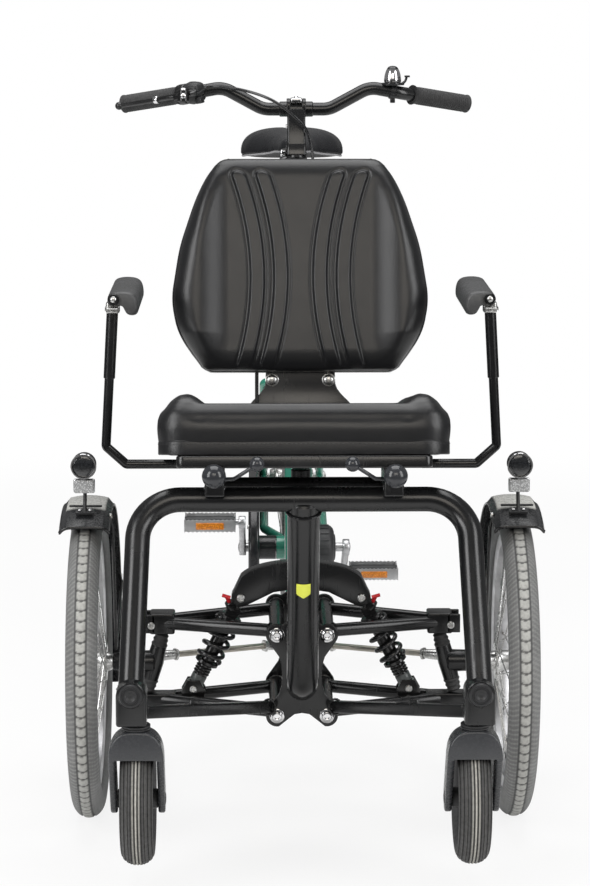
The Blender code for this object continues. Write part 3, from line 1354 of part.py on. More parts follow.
def drive():
    """The drive unit on the left of the crank shell and the chain case on its right."""
    inner = SHELL_LENGTH / 2 + SEAT_GAP
    bore = CRANK_AXLE_RADIUS + PIN_CLEARANCE
    unit = turned(
        [
            (bore, 0),
            *((DRIVE_RADIUS * wide, DRIVE_LENGTH * far) for wide, far in DRIVE_SHARES),
            (bore, DRIVE_LENGTH),
        ],
        TURN_STEPS,
        ring=True,
    )
    node("drive_unit", placed(unit, at(inner, CRANK_Y, CRANK_Z) @ ACROSS), PLASTIC)
    rise = math.asin((CASE_FRONT_RADIUS - CASE_REAR_RADIUS) / (REAR_AXLE_Y - CRANK_Y))
    lift = math.atan2(REAR_WHEEL_RADIUS - CRANK_Z, REAR_AXLE_Y - CRANK_Y)
    front, back = (CRANK_Y, CRANK_Z), (REAR_AXLE_Y, REAR_WHEEL_RADIUS)
    outline = arc(front, CASE_FRONT_RADIUS, math.pi / 2 - rise + lift, math.pi * 1.5 + rise + lift, 14)
    outline += arc(back, CASE_REAR_RADIUS, -math.pi / 2 + rise + lift, math.pi / 2 - rise + lift, 8)
    hole = arc(front, bore * 1.1, 0, -2 * math.pi * 11 / 12, 11)
    x = -case_inner_x() - CASE_THICKNESS / 2
    across = Matrix(((0, 0, 1, x), (1, 0, 0, 0), (0, 1, 0, 0), (0, 0, 0, 1)))
    case = plate([outline, hole], CASE_THICKNESS, across)
    axle_hole = drill(
        (x - CASE_THICKNESS, REAR_AXLE_Y, REAR_WHEEL_RADIUS),
        (x + CASE_THICKNESS, REAR_AXLE_Y, REAR_WHEEL_RADIUS),
        AXLE_RADIUS,
        SEAT_GAP,
    )
    boss = turned(
        [
            (bore, SHELL_LENGTH / 2 + SEAT_GAP),
            (SHELL_RADIUS, SHELL_LENGTH / 2 + SEAT_GAP),
            (SHELL_RADIUS, case_inner_x() + CASE_THICKNESS / 2),
            (bore, case_inner_x() + CASE_THICKNESS / 2),
        ],
        TURN_STEPS,
        ring=True,
    )
    boss = placed(boss, at(0, CRANK_Y, CRANK_Z) @ ACROSS.inverted())
    node("chain_case", fuse(cut(case, axle_hole), boss), PLASTIC)


def crank_set():
    """Both cranks and the axle that joins them through the crank shell."""
    inner = crank_inner_x()
    reach = inner + CRANK_ARM_THICKNESS * CRANK_BOSS_SHARE
    axle = rod((-reach, CRANK_Y, CRANK_Z), (reach, CRANK_Y, CRANK_Z), CRANK_AXLE_RADIUS, sides=TURN_STEPS)
    pieces = []
    for side in SIDES.values():
        centre = both(inner + CRANK_ARM_THICKNESS / 2, CRANK_Y, CRANK_Z, side)
        end = pedal_point(side)
        end.x = centre.x
        along = (end - centre).normalized()
        turn = Matrix(
            (
                (0, 0, 1, centre.x),
                (along.y, -along.z, 0, centre.y),
                (along.z, along.y, 0, centre.z),
                (0, 0, 0, 1),
            )
        )
        outline = arc((0, 0), CRANK_ARM_WIDTH / 2, math.pi / 2, math.pi * 1.5, 6)
        outline += arc((CRANK_LENGTH, 0), CRANK_ARM_WIDTH * CRANK_END_SHARE, -math.pi / 2, math.pi / 2, 6)
        pieces.append(plate([outline], CRANK_ARM_THICKNESS, turn))
        outer = pedal_point(side)
        outer.x = side * (pedal_inner_x() + PEDAL_LENGTH)
        pieces.append(rod(end, outer, PEDAL_AXLE_RADIUS, sides=TURN_STEPS))
    node("crankset", fuse(axle, *pieces), STEEL, "cranks")
    for name, side in SIDES.items():
        node("pedal_" + name, pedal(side), STEEL, "pedal_" + name)


def pedal(side):
    """A cage of end plates and rails about the axle's barrel."""
    centre = pedal_point(side)
    body = rod(
        centre - Vector((PEDAL_LENGTH / 2, 0, 0)),
        centre + Vector((PEDAL_LENGTH / 2, 0, 0)),
        PEDAL_HEIGHT / 2,
    )
    wall = PEDAL_HEIGHT * PEDAL_WALL_SHARE
    rails = []
    for s in (-1, 1):
        offset = Vector((0, s * (PEDAL_DEPTH - wall) / 2, 0))
        rails.append(box((PEDAL_LENGTH, wall, PEDAL_HEIGHT), centre + offset))
        end = Vector((s * (PEDAL_LENGTH - wall) / 2, 0, 0))
        rails.append(box((wall, PEDAL_DEPTH, PEDAL_HEIGHT * PEDAL_RAIL_SHARE), centre + end))
    made = fuse(body, *rails)
    past = Vector((PEDAL_LENGTH, 0, 0))
    return cut(made, drill(centre - past, centre + past, PEDAL_AXLE_RADIUS, PIN_CLEARANCE / 2))


def rear_guard():
    radius = REAR_WHEEL_RADIUS + REAR_GUARD_GAP + REAR_GUARD_WALL
    crown = REAR_GUARD_WIDTH * REAR_GUARD_CROWN_SHARE
    section = guard_section(radius, crown, REAR_GUARD_WIDTH, GUARD_LIP_DROP, REAR_GUARD_WALL)
    centre = (0, REAR_AXLE_Y, REAR_WHEEL_RADIUS)
    shell = guard(centre, section, REAR_GUARD_FRONT_ANGLE, REAR_GUARD_REAR_ANGLE, GUARD_STEPS)
    stays = []
    lip = radius - GUARD_LIP_DROP
    eye_x = STAY_SPREAD - DROPOUT_THICKNESS / 2 - SEAT_GAP - GUARD_STAY_RADIUS
    eye_reach = DROPOUT_RADIUS * REAR_EYE_SHARE
    for side in SIDES.values():
        for angle in REAR_GUARD_STAY_ANGLES:
            back, up = -math.sin(angle), math.cos(angle)
            eye = Vector((side * eye_x, REAR_AXLE_Y + back * eye_reach, REAR_WHEEL_RADIUS + up * eye_reach))
            top = Vector((side * REAR_GUARD_WIDTH / 2, REAR_AXLE_Y + back * lip, REAR_WHEEL_RADIUS + up * lip))
            stays.append(rod(eye, top, GUARD_STAY_RADIUS))
    node("rear_mudguard", fuse(shell, *stays), BLACK)


def saddle():
    top = SADDLE_Z - SADDLE_THICKNESS * SADDLE_SEAT_SHARE
    post_low = seat_tube_point(SEAT_TUBE_TOP_Z - SADDLE_POST_RADIUS * 4 + SEAT_GAP)
    post_top = seat_tube_point(top - SADDLE_CLAMP_RADIUS)
    clamp = both(0, post_top.y, top - SADDLE_CLAMP_RADIUS, 1)
    half = Vector((0, SADDLE_CLAMP_RADIUS * SADDLE_CLAMP_LENGTH_SHARE, 0))
    post = fuse(
        rod(post_low, post_top, SADDLE_POST_RADIUS),
        box(
            (SADDLE_CLAMP_RADIUS * 2, half.y * 2, half.y),
            clamp + Vector((0, 0, SADDLE_CLAMP_RADIUS * SADDLE_CLAMP_RISE_SHARE)),
        ),
    )
    node("saddle_post", post, STEEL)
    back = SADDLE_Y + SADDLE_LENGTH * SADDLE_BACK_SHARE
    row_shares = (
        (0.0, 0.62, 0.62, 0.55),
        (0.06, 0.93, 0.9, 0.78),
        (0.3, 1.0, 1.0, 0.90),
        (0.55, 0.66, 0.95, 0.72),
        (0.8, 0.34, 0.89, 0.50),
        (0.96, 0.22, 0.84, 0.42),
        (1.0, 0.14, 0.74, 0.28),
    )
    rings = []
    for along_share, width_share, top_share, depth_share in row_shares:
        y = back - SADDLE_LENGTH * along_share
        wide = SADDLE_WIDTH / 2 * width_share
        high = SADDLE_Z - SADDLE_THICKNESS * (1 - top_share)
        deep = SADDLE_THICKNESS * depth_share
        widest = high - deep * SADDLE_WIDEST_SHARE
        ring = []
        for count in range(12):
            angle = 2 * math.pi * count / 12
            across = math.cos(angle)
            up = math.sin(angle)
            reach = SADDLE_WIDEST_SHARE if up > 0 else 1 - SADDLE_WIDEST_SHARE
            ring.append((wide * across, y, widest + deep * reach * up))
        rings.append(ring)
    body = loft(rings)
    gap_z = top + SEAT_GAP
    clamp_half = SADDLE_CLAMP_RADIUS + SEAT_GAP
    pocket = box(
        (clamp_half * 2, half.y * 2 + SEAT_GAP * 2, SADDLE_THICKNESS),
        (0, clamp.y, gap_z - SADDLE_THICKNESS / 2),
    )
    node("saddle", cut(body, pocket), LEATHER)


def seat_tilt():
    """The turn that tips the level seat back about the lower front edge of its plate."""
    edge = at(0, SEAT_PLATE_FRONT, SEAT_PLATE_Z)
    return edge @ Matrix.Rotation(-SEAT_TILT, 4, "X") @ edge.inverted()


def seat():
    """The plate with its two rails over the hoop, the bar between them, the cushion and the clamp knobs."""
    tilt = seat_tilt()
    length = SEAT_PLATE_BACK - SEAT_PLATE_FRONT
    base = box(
        (SEAT_PLATE_WIDTH, length, SEAT_PLATE_THICKNESS),
        (0, (SEAT_PLATE_BACK + SEAT_PLATE_FRONT) / 2, SEAT_PLATE_Z + SEAT_PLATE_THICKNESS / 2),
        SEAT_PLATE_THICKNESS * SEAT_ROUNDING_SHARE,
    )
    pieces = []
    rail_front = HOOP_TOP_Y - HOOP_TUBE_RADIUS * 2
    rail_back = SEAT_BAR_Y + SEAT_BAR_RADIUS
    rail_top = SEAT_PLATE_Z + SEAT_PLATE_THICKNESS / 2
    fall = (HOOP_TOP_Y - SEAT_PLATE_FRONT) * math.tan(SEAT_TILT)
    rail_low = HOOP_TOP_Z - HOOP_TUBE_RADIUS * SEAT_RAIL_WRAP_SHARE + fall
    size = (SEAT_RAIL_WIDTH, rail_back - rail_front, rail_top - rail_low)
    for side in SIDES.values():
        middle = both(SEAT_RAIL_X, (rail_back + rail_front) / 2, (rail_top + rail_low) / 2, side)
        pieces.append(box(size, middle))
    made = placed(fuse(base, *pieces), tilt)
    reach = SEAT_RAIL_X + SEAT_RAIL_WIDTH / 4
    bar = rod((-reach, SEAT_BAR_Y, HOOP_TOP_Z), (reach, SEAT_BAR_Y, HOOP_TOP_Z), SEAT_BAR_RADIUS)
    hollow = drill(
        (-SEAT_PLATE_WIDTH, HOOP_TOP_Y, HOOP_TOP_Z),
        (SEAT_PLATE_WIDTH, HOOP_TOP_Y, HOOP_TOP_Z),
        HOOP_TUBE_RADIUS,
        SEAT_GAP,
    )
    node("seat_plate", cut(fuse(made, bar), hollow), BLACK)

    low = SEAT_PLATE_Z + SEAT_PLATE_THICKNESS + SEAT_GAP
    cushion = box(
        (CUSHION_WIDTH, CUSHION_BACK - SEAT_PLATE_FRONT, CUSHION_HEIGHT),
        (0, (CUSHION_BACK + SEAT_PLATE_FRONT) / 2, low + CUSHION_HEIGHT / 2),
        CUSHION_HEIGHT * CUSHION_ROUNDING_SHARE,
    )
    node("seat_cushion", placed(cushion, tilt), LEATHER)

    for name, side in SIDES.items():
        place = both(KNOB_X, rail_front - SEAT_GAP, SEAT_PLATE_Z - KNOB_DROP, side)
        end = place + Vector((0, -KNOB_REACH, 0))
        knob = fuse(
            ball(end, KNOB_RADIUS, TURN_STEPS),
            rod(place, end, KNOB_STEM_RADIUS, sides=8),
        )
        node("clamp_knob_" + name, placed(knob, tilt), PLASTIC)


def back_outline(scale_share=1.0):
    """The backrest's outline from below: half widths at heights, as shares of its size."""
    shares = (
        (0.0, 0.70),
        (0.05, 0.80),
        (0.18, 0.95),
        (0.34, 1.0),
        (0.59, 0.935),
        (0.82, 0.81),
        (0.94, 0.71),
        (1.0, 0.57),
    )
    return [(height, width * scale_share) for height, width in shares]


def backrest():
    low = Vector((0, BACK_LOW_Y, BACK_LOW_Z))
    top = Vector((0, BACK_TOP_Y, BACK_TOP_Z))
    along = top - low
    out = Vector((0, -along.z, along.y)).normalized()

    def slab(front, back, narrowing):
        rings = []
        for height, width in back_outline():
            half = BACK_WIDTH / 2 * width - narrowing
            middle = low + along * height
            corner = min(BACK_THICKNESS * 0.3, half)
            rings.append(
                [
                    middle + Vector((-half, 0, 0)) + out * back,
                    middle + Vector((-half, 0, 0)) + out * (front * 0.6 + back * 0.4),
                    middle + Vector((-half + corner, 0, 0)) + out * front,
                    middle + Vector((half - corner, 0, 0)) + out * front,
                    middle + Vector((half, 0, 0)) + out * (front * 0.6 + back * 0.4),
                    middle + Vector((half, 0, 0)) + out * back,
                ]
            )
        return loft(rings)

    pad = slab(BACK_THICKNESS, 0, 0)
    node("backrest_cushion", pad, LEATHER)
    shell = slab(-SEAT_GAP, -BACK_SHELL_THICKNESS, BACK_SHELL_THICKNESS * 0.3)
    node("backrest_shell", shell, PLASTIC)

    outer = -BACK_SHELL_THICKNESS - SEAT_GAP
    start = low + out * outer
    end = start + along.normalized() * BACK_BRACKET_HEIGHT
    tilt = seat_tilt()
    foot_y = SEAT_PLATE_BACK + SEAT_GAP
    foot = tilt @ Vector((0, foot_y, SEAT_PLATE_Z))
    plate_top = tilt @ Vector((0, foot_y, SEAT_PLATE_Z + SEAT_PLATE_THICKNESS))
    share = (BACK_BRACKET_NECK_Z - plate_top.z) / (start.z - plate_top.z)
    neck = plate_top.lerp(start, share)
    rings = []
    for place, width in (
        (foot, BACK_BRACKET_LOW_WIDTH),
        (plate_top, BACK_BRACKET_LOW_WIDTH),
        (neck, BACK_BRACKET_NECK_WIDTH),
        (start, BACK_BRACKET_START_WIDTH),
        (end, BACK_BRACKET_TOP_WIDTH),
    ):
        half = width / 2
        depth = -out * BACK_BRACKET_THICKNESS
        rings.append(
            [
                place + Vector((-half, 0, 0)),
                place + Vector((half, 0, 0)),
                place + Vector((half, 0, 0)) + depth,
                place + Vector((-half, 0, 0)) + depth,
            ]
        )
    node("backrest_bracket", loft(rings), BLACK)


def armrest(name, side):
    """A tube out of the plate's side, up past a knee into its sleeve, and the pad on top of it."""
    seat_side = SEAT_PLATE_WIDTH / 2 + SEAT_GAP
    root_z = SEAT_PLATE_Z + SEAT_PLATE_THICKNESS * ARMREST_ROOT_SHARE
    root = seat_tilt() @ both(seat_side, ARMREST_Y, root_z, side)
    corner = both(ARMREST_CORNER_X, root.y, root.z, side)
    knee = both(ARMREST_KNEE_X, root.y, ARMREST_KNEE_Z, side)
    top = both(ARMREST_TOP_X, root.y, ARMREST_TOP_Z, side)
    path = rounded([root, corner, knee, top], ARMREST_BEND_RADIUS, 3)
    share = (ARMREST_SLEEVE_LOW_Z - knee.z) / (top.z - knee.z)
    sleeve = rod(knee.lerp(top, share), top, ARMREST_SLEEVE_RADIUS)
    arm = fuse(tube(path, ARMREST_TUBE_RADIUS, 3), sleeve)
    pad_low = ARMREST_TOP_Z + SEAT_GAP
    above = box(
        (PAD_WIDTH, PAD_LENGTH, PAD_HEIGHT),
        both(PAD_X, PAD_FRONT_Y + PAD_LENGTH / 2, ARMREST_TOP_Z + PAD_HEIGHT / 2, side),
    )
    node("armrest_" + name, cut(arm, above), BLACK)
    pad = box(
        (PAD_WIDTH, PAD_LENGTH, PAD_HEIGHT),
        both(PAD_X, PAD_FRONT_Y + PAD_LENGTH / 2, pad_low + PAD_HEIGHT / 2, side),
        PAD_HEIGHT * PAD_ROUNDING_SHARE,
    )
    node("armrest_pad_" + name, pad, FOAM)


clear_scene()
PARTS = collection("wheelchair_bicycle")
BODIES = bodies()
node("front_frame", front_frame(), BLACK)
node("spine", spine(), BLACK)
rear_frame()
drive()
crank_set()
rear_wheel()
rear_guard()
saddle()
seat()
backrest()
steering()
handlebar()
controls()
for SIDE_NAME, SIDE in SIDES.items():
    front_wheel(SIDE_NAME, SIDE)
    castor(SIDE_NAME, SIDE)
    suspension(SIDE_NAME, SIDE)
    knuckle(SIDE_NAME, SIDE)
    front_guard(SIDE_NAME, SIDE)
    tie_rod(SIDE_NAME, SIDE)
    armrest(SIDE_NAME, SIDE)
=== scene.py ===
"""The wheelchair bicycle dressed for its render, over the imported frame.

Lengths are metres and places are given from the front axle: Y = 0 at the axle, Z = 0 on the floor
and +X on the cyclist's left. The function piece() moves each shape to the frame's own origin.
A shape is a pair of an array of points and a list of arrays of faces.
"""

import math

import bmesh
import bpy
import numpy as np
from mathutils import Matrix


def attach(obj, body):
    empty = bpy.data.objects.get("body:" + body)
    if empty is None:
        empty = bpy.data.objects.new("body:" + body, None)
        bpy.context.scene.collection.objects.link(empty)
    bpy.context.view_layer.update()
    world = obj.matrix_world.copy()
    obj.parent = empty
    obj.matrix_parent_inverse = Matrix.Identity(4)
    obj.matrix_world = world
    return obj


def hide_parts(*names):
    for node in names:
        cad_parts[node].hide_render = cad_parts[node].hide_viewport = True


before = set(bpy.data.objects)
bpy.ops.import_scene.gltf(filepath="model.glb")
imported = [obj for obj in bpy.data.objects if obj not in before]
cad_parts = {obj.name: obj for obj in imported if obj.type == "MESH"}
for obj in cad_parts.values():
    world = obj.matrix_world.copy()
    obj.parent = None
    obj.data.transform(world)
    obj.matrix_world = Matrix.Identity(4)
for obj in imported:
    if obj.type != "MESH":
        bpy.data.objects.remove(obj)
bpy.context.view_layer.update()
AXLE_Y = -0.5505
SIDES = {"left": 1, "right": -1}
FRONT_RADIUS, REAR_RADIUS = 0.253, 0.326
TRACK = 0.345
CRANK = np.array((0, 0.8, 0.272))
CRANK_LENGTH, CRANK_ANGLE = 0.17, math.radians(28)
REAR_MIDDLE = np.array((0, 1.26, REAR_RADIUS))
POST_TOP = np.array((0, -0.27, 0.575))
RIGHT, BACK, UP = np.eye(3)
FRONT = -BACK

# Shapes


def unit(vector):
    """Vectors with their length made one."""
    vector = np.asarray(vector, float)
    return vector / np.linalg.norm(vector, axis=-1, keepdims=True)


def both(x, y, z, side):
    """A place on one side or the other: X times the side's sign."""
    return np.array((x * side, y, z), float)


def join(*shapes):
    """Several shapes as one: their points in a row and their faces renumbered."""
    points, faces, count = [], [], 0
    for verts, loops in shapes:
        points.append(verts)
        faces += [loop + count for loop in loops]
        count += len(verts)
    return np.concatenate(points), faces


def moved(shape, matrix):
    """A shape taken to a place by a matrix."""
    matrix = np.asarray(matrix, float)
    return shape[0] @ matrix[:3, :3].T + matrix[:3, 3], shape[1]


def frame_at(at, right, up):
    """The matrix that takes X to a direction, Y near to another, and the origin to a place."""
    right = unit(right)
    normal = unit(np.cross(right, up))
    made = np.eye(4)
    made[:3, 0], made[:3, 1], made[:3, 2], made[:3, 3] = right, np.cross(normal, right), normal, at
    return made


def skin(rings, ring=False):
    """Quads between neighbouring rings of points, each closed on itself. The ends are capped, or
    ring joins the last to the first."""
    rings = np.asarray(rings, float)
    rows, count = rings.shape[:2]
    index = np.arange(rows * count).reshape(rows, count)
    low = index if ring else index[:-1]
    high = np.roll(index, -1, 0) if ring else index[1:]
    quads = np.stack([low, np.roll(low, -1, 1), np.roll(high, -1, 1), high], -1).reshape(-1, 4)
    ends = [] if ring else [index[:1, ::-1], index[-1:]]
    return rings.reshape(-1, 3), [quads, *ends]


def sheet(grid):
    """Quads over an open grid of points."""
    rows, count = grid.shape[:2]
    index = np.arange(rows * count).reshape(rows, count)
    quads = np.stack([index[:-1, :-1], index[:-1, 1:], index[1:, 1:], index[1:, :-1]], -1)
    return grid.reshape(-1, 3), [quads.reshape(-1, 4)]


def ramp(value, low, high):
    """The share of the way from low to high, held between 0 and 1."""
    return np.clip((value - low) / (high - low), 0, 1)


def eased(share):
    """A share with a smooth start and end."""
    return share * share * (3 - 2 * share)


def rounded(share):
    """The height of a quarter circle over a share of its width."""
    return np.sqrt(np.clip(1 - (1 - share) ** 2, 0, 1))


def circle(sides):
    """Points of a circle with a radius of one."""
    turn = np.linspace(0, 2 * math.pi, sides, endpoint=False)
    return np.stack([np.cos(turn), np.sin(turn)], -1)


def bend(points, radius, steps):
    """A path whose inner corners are turned by arcs: each arc is worked out from its two tangent
    points."""
    points = np.asarray(points, float)
    path = [points[0]]
    radii = np.broadcast_to(radius, len(points) - 2)
    share = np.linspace(0, 1, steps + 1)[:, None]
    for before, corner, after, r in zip(points, points[1:], points[2:], radii):
        a, b = unit(before - corner), unit(after - corner)
        half = math.acos(np.clip(a @ b, -1, 1)) / 2
        centre = corner + unit(a + b) * r / math.sin(half)
        start = corner + a * r / math.tan(half) - centre
        end = corner + b * r / math.tan(half) - centre
        whole = math.pi - 2 * half
        arc = (np.sin((1 - share) * whole) * start + np.sin(share * whole) * end) / math.sin(whole)
        path += list(centre + arc)
    path.append(points[-1])
    return np.array(path)


def smooth_path(points, count):
    """A curve through points: Catmull-Rom pieces with evenly spaced parameters."""
    p = np.asarray(points, float)
    p = np.concatenate([2 * p[:1] - p[1:2], p, 2 * p[-1:] - p[-2:-1]])
    t = np.linspace(0, len(p) - 3 - 1e-9, count)
    i = t.astype(int)
    f = (t - i)[:, None]
    a, b, c, d = p[i], p[i + 1], p[i + 2], p[i + 3]
    return 0.5 * (
        2 * b + (c - a) * f + (2 * a - 5 * b + 4 * c - d) * f**2 + (3 * b - a - 3 * c + d) * f**3
    )


def carried(path, start=None, closed=False):
    """Two directions square to a path at each point, carried along it without twist."""
    steps = unit(np.diff(path, axis=0))
    if closed:
        last = unit(path[:1] - path[-1:])
        along = unit(np.concatenate([last + steps[:1], steps[:-1] + steps[1:], steps[-1:] + last]))
    else:
        along = unit(np.concatenate([steps[:1], steps[:-1] + steps[1:], steps[-1:]]))
    side = np.asarray(start, float) if start is not None else np.cross(along[0], (0.31, 0.17, 0.94))
    sides = []
    for direction in along:
        side = unit(side - direction * (side @ direction))
        sides.append(side)
    sides = np.array(sides)
    return sides, np.cross(along, sides)


def pipe(path, radius, sides, lip=0.12):
    """A round bar: circles square to a path, with a small bevel at both ends."""
    path = np.asarray(path, float)
    radii = np.broadcast_to(radius, len(path)).astype(float)
    draw = lip * radii
    first = path[:1] + unit(path[1:2] - path[:1]) * draw[0]
    last = path[-1:] + unit(path[-2:-1] - path[-1:]) * draw[-1]
    path = np.concatenate([path[:1], first, path[1:-1], last, path[-1:]])
    radii = np.concatenate([
        radii[:1] - draw[0], radii[:1], radii[1:-1], radii[-1:], radii[-1:] - draw[-1]
    ])
    right, up = carried(path)
    ring = circle(sides)
    rings = path[:, None] + radii[:, None, None] * (
        ring[None, :, :1] * right[:, None] + ring[None, :, 1:] * up[:, None]
    )
    return skin(rings)


def bar(start, end, radius, sides, lip=0.12):
    """A straight pipe between two places."""
    return pipe([start, end], radius, sides, lip)


def sweep(path, section, start=None, scale=1.0, closed=False):
    """A section of points (across, up) carried along a path; start is the first point's across
    direction."""
    path = np.asarray(path, float)
    right, up = carried(path, start, closed)
    section = np.asarray(section, float)
    scale = np.broadcast_to(scale, len(path))[:, None, None]
    rings = path[:, None] + scale * (
        section[None, :, :1] * right[:, None] + section[None, :, 1:] * up[:, None]
    )
    return skin(rings, ring=closed)


def mirrored(profile):
    """A profile and then its mirror image, run through from its end to its start."""
    return profile + [(-x, r) for x, r in reversed(profile)]


def square_to(axis):
    """An axis and two directions square to it."""
    axis = unit(axis)
    pick = UP if abs(axis[2]) < 0.8 else BACK
    side = unit(np.cross(pick, axis))
    return axis, side, np.cross(axis, side)


def turned(profile, at, axis, steps, ring=False):
    """A profile of (height, radius) turned about an axis through a point."""
    profile = np.asarray(profile, float)
    axis, side, up = square_to(axis)
    turn = circle(steps)
    wheel = turn[:, :1] * side + turn[:, 1:] * up
    rings = np.asarray(at, float) + profile[:, :1, None] * axis + profile[:, 1:, None] * wheel
    return skin(rings, ring)


def drum(low, high, radius, ease, draw, at, axis, steps):
    """A short cylinder from one height to another along its axis, drawn in over a bevel at both
    ends."""
    profile = [
        (low, radius - draw), (low + ease, radius), (high - ease, radius), (high, radius - draw)
    ]
    return turned(profile, at, axis, steps)


def slab(outline, low, high, bevel, place):
    """An outline carried from one level to another, drawn in by a quarter circle at both ends and
    then taken to its place."""
    outline = np.asarray(outline, float)
    area = np.sum(
        outline[:, 0] * np.roll(outline[:, 1], -1) - np.roll(outline[:, 0], -1) * outline[:, 1]
    )
    if area < 0:
        outline = outline[::-1]
    ahead = unit(np.roll(outline, -1, 0) - outline)
    out = np.stack([ahead[:, 1], -ahead[:, 0]], -1)
    out = unit(out + np.roll(out, 1, 0))
    angle = np.radians((0, 30, 60, 90))
    inset = bevel * np.concatenate([1 - np.sin(angle), 1 - np.sin(angle[::-1])])
    level = np.concatenate([
        low + bevel * (1 - np.cos(angle)), high - bevel * (1 - np.cos(angle[::-1]))
    ])
    rings = np.empty((len(inset), len(outline), 3))
    rings[..., :2] = outline[None] - out[None] * inset[:, None, None]
    rings[..., 2] = level[:, None]
    return moved(skin(rings), place)


def oval(width, height, corner, steps=6):
    """A rectangle with round corners, centred on the origin."""
    turn = np.linspace(0, math.pi / 2, steps)
    quarter = corner * np.stack([np.cos(turn), np.sin(turn)], -1)
    corners = []
    for quadrant, (sx, sy) in enumerate(((1, 1), (-1, 1), (-1, -1), (1, -1))):
        points = quarter * (sx, sy)
        if quadrant % 2:
            points = points[::-1]
        corners.append(points + (sx * (width / 2 - corner), sy * (height / 2 - corner)))
    return np.concatenate(corners)


def brick(size, centre, corner, right=RIGHT, up=BACK):
    """A block with round edges: its outline lies in the plane of right and up."""
    place = frame_at(centre, right, up)
    return slab(oval(size[0], size[1], corner), -size[2] / 2, size[2] / 2, corner * 0.6, place)


def bolt(at, axis, radius, h, steps=24):
    """A socket-head bolt: a domed rim round a sunk socket."""
    profile = [
        (-h * 0.3, radius), (h * 0.55, radius), (h * 0.85, radius * 0.93), (h, radius * 0.78)
    ]
    profile += [(h, radius * 0.5), (h * 0.35, radius * 0.46)]
    return turned(profile, at, axis, steps)


def dome(at, axis, radius, height, steps=24):
    """A round-headed bolt or cap: a quarter ellipse turned about its axis."""
    angle = np.linspace(0, math.radians(84), 7)
    profile = np.stack([height * np.sin(angle), radius * np.cos(angle)], -1)
    return turned(np.concatenate([[(-height * 0.3, radius)], profile]), at, axis, steps)


def nut(at, axis, radius, height):
    """A hexagon nut with its corners turned off, and the bolt's end in its middle."""
    profile = [(0, radius), (height * 0.82, radius), (height, radius * 0.88)]
    return join(
        turned(profile, at, axis, 6),
        dome(np.asarray(at) + unit(axis) * height * 0.9, axis, radius * 0.5, height * 0.3, 16),
    )


def washer(at, axis, radius, height):
    """A flat ring whose outer edge is turned down."""
    return turned([(0, radius), (height * 0.7, radius), (height, radius * 0.94)], at, axis, 28)


def globe(at, radius, steps):
    """A ball, left open by four degrees at its poles and closed flat there."""
    angle = np.linspace(-math.radians(86), math.radians(86), steps // 2)
    return turned(radius * np.stack([np.sin(angle), np.cos(angle)], -1), at, UP, steps)


def bead(at, axis, radius, thick):
    """A weld bead: a ring whose thickness ripples as the weld's drops lie on each other."""
    axis, side, up = square_to(axis)
    drops = 18
    turn = np.linspace(0, 2 * math.pi, drops * 4, endpoint=False)
    wave = thick * (1 + 0.16 * np.sin(turn * drops))
    path = np.asarray(at, float) + radius * (
        np.cos(turn)[:, None] * side + np.sin(turn)[:, None] * up
    )
    return sweep(path, circle(8), axis, wave, closed=True)


# Pieces


def piece(name, shape, body, finish, replaces=(), sharp=38, masks=None):
    """Makes a shape, or a list of them, an object at the frame's origin, riding on a body.
    It is smooth but for its sharp edges. Its slot holds its finish."""
    verts, loops = join(*shape) if isinstance(shape, list) else shape
    mesh = bpy.data.meshes.new(name)
    faces = [face for loop in loops for face in loop.tolist()]
    mesh.from_pydata((verts + (0, AXLE_Y, 0)).tolist(), [], faces)
    for label, values in (masks or {}).items():
        mesh.attributes.new(label, "FLOAT", "POINT").data.foreach_set(
            "value", np.asarray(values, np.float32)
        )
    bm = bmesh.new()
    bm.from_mesh(mesh)
    bmesh.ops.recalc_face_normals(bm, faces=bm.faces)
    bm.to_mesh(mesh)
    bm.free()
    mesh.shade_smooth()
    mesh.set_sharp_from_angle(angle=math.radians(sharp))
    made = bpy.data.objects.new(name, mesh)
    bpy.context.scene.collection.objects.link(made)
    mesh.materials.append(finish)
    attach(made, body)
    if replaces:
        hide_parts(*replaces)
    return made


# Finishes


def add(tree, kind, **values):
    made = tree.nodes.new(kind)
    for key, value in values.items():
        setattr(made, key, value)
    return made


def wire(tree, source, target):
    tree.links.new(source, target)


def feed(tree, value, socket):
    """Gives a socket a plain number, or wires another node's output to it."""
    if isinstance(value, (int, float)):
        socket.default_value = value
    else:
        wire(tree, value, socket)


def math_node(tree, operation, a, b):
    made = add(tree, "ShaderNodeMath", operation=operation)
    for socket, value in zip(made.inputs, (a, b)):
        feed(tree, value, socket)
    return made.outputs[0]


def spread(tree, value, low, high, to_low=0.0, to_high=1.0):
    """Takes values from low to high onto another range, with smooth ends."""
    made = add(tree, "ShaderNodeMapRange", interpolation_type="SMOOTHSTEP")
    wire(tree, value, made.inputs["Value"])
    for key, number in (
        ("From Min", low), ("From Max", high), ("To Min", to_low), ("To Max", to_high)
    ):
        feed(tree, number, made.inputs[key])
    return made.outputs["Result"]


def effect(name, inputs, outputs, build):
    """A node group with named number inputs and outputs, filled in by a function."""
    tree = bpy.data.node_groups.new(name, "ShaderNodeTree")
    for label, value in inputs.items():
        socket = tree.interface.new_socket(label, in_out="INPUT", socket_type="NodeSocketFloat")
        socket.default_value = value
    for label in outputs:
        tree.interface.new_socket(label, in_out="OUTPUT", socket_type="NodeSocketFloat")
    entry = add(tree, "NodeGroupInput")
    leave = add(tree, "NodeGroupOutput")
    place = add(tree, "ShaderNodeTexCoord").outputs["Object"]
    for label, value in build(tree, entry.outputs, place).items():
        wire(tree, value, leave.inputs[label])
    return tree


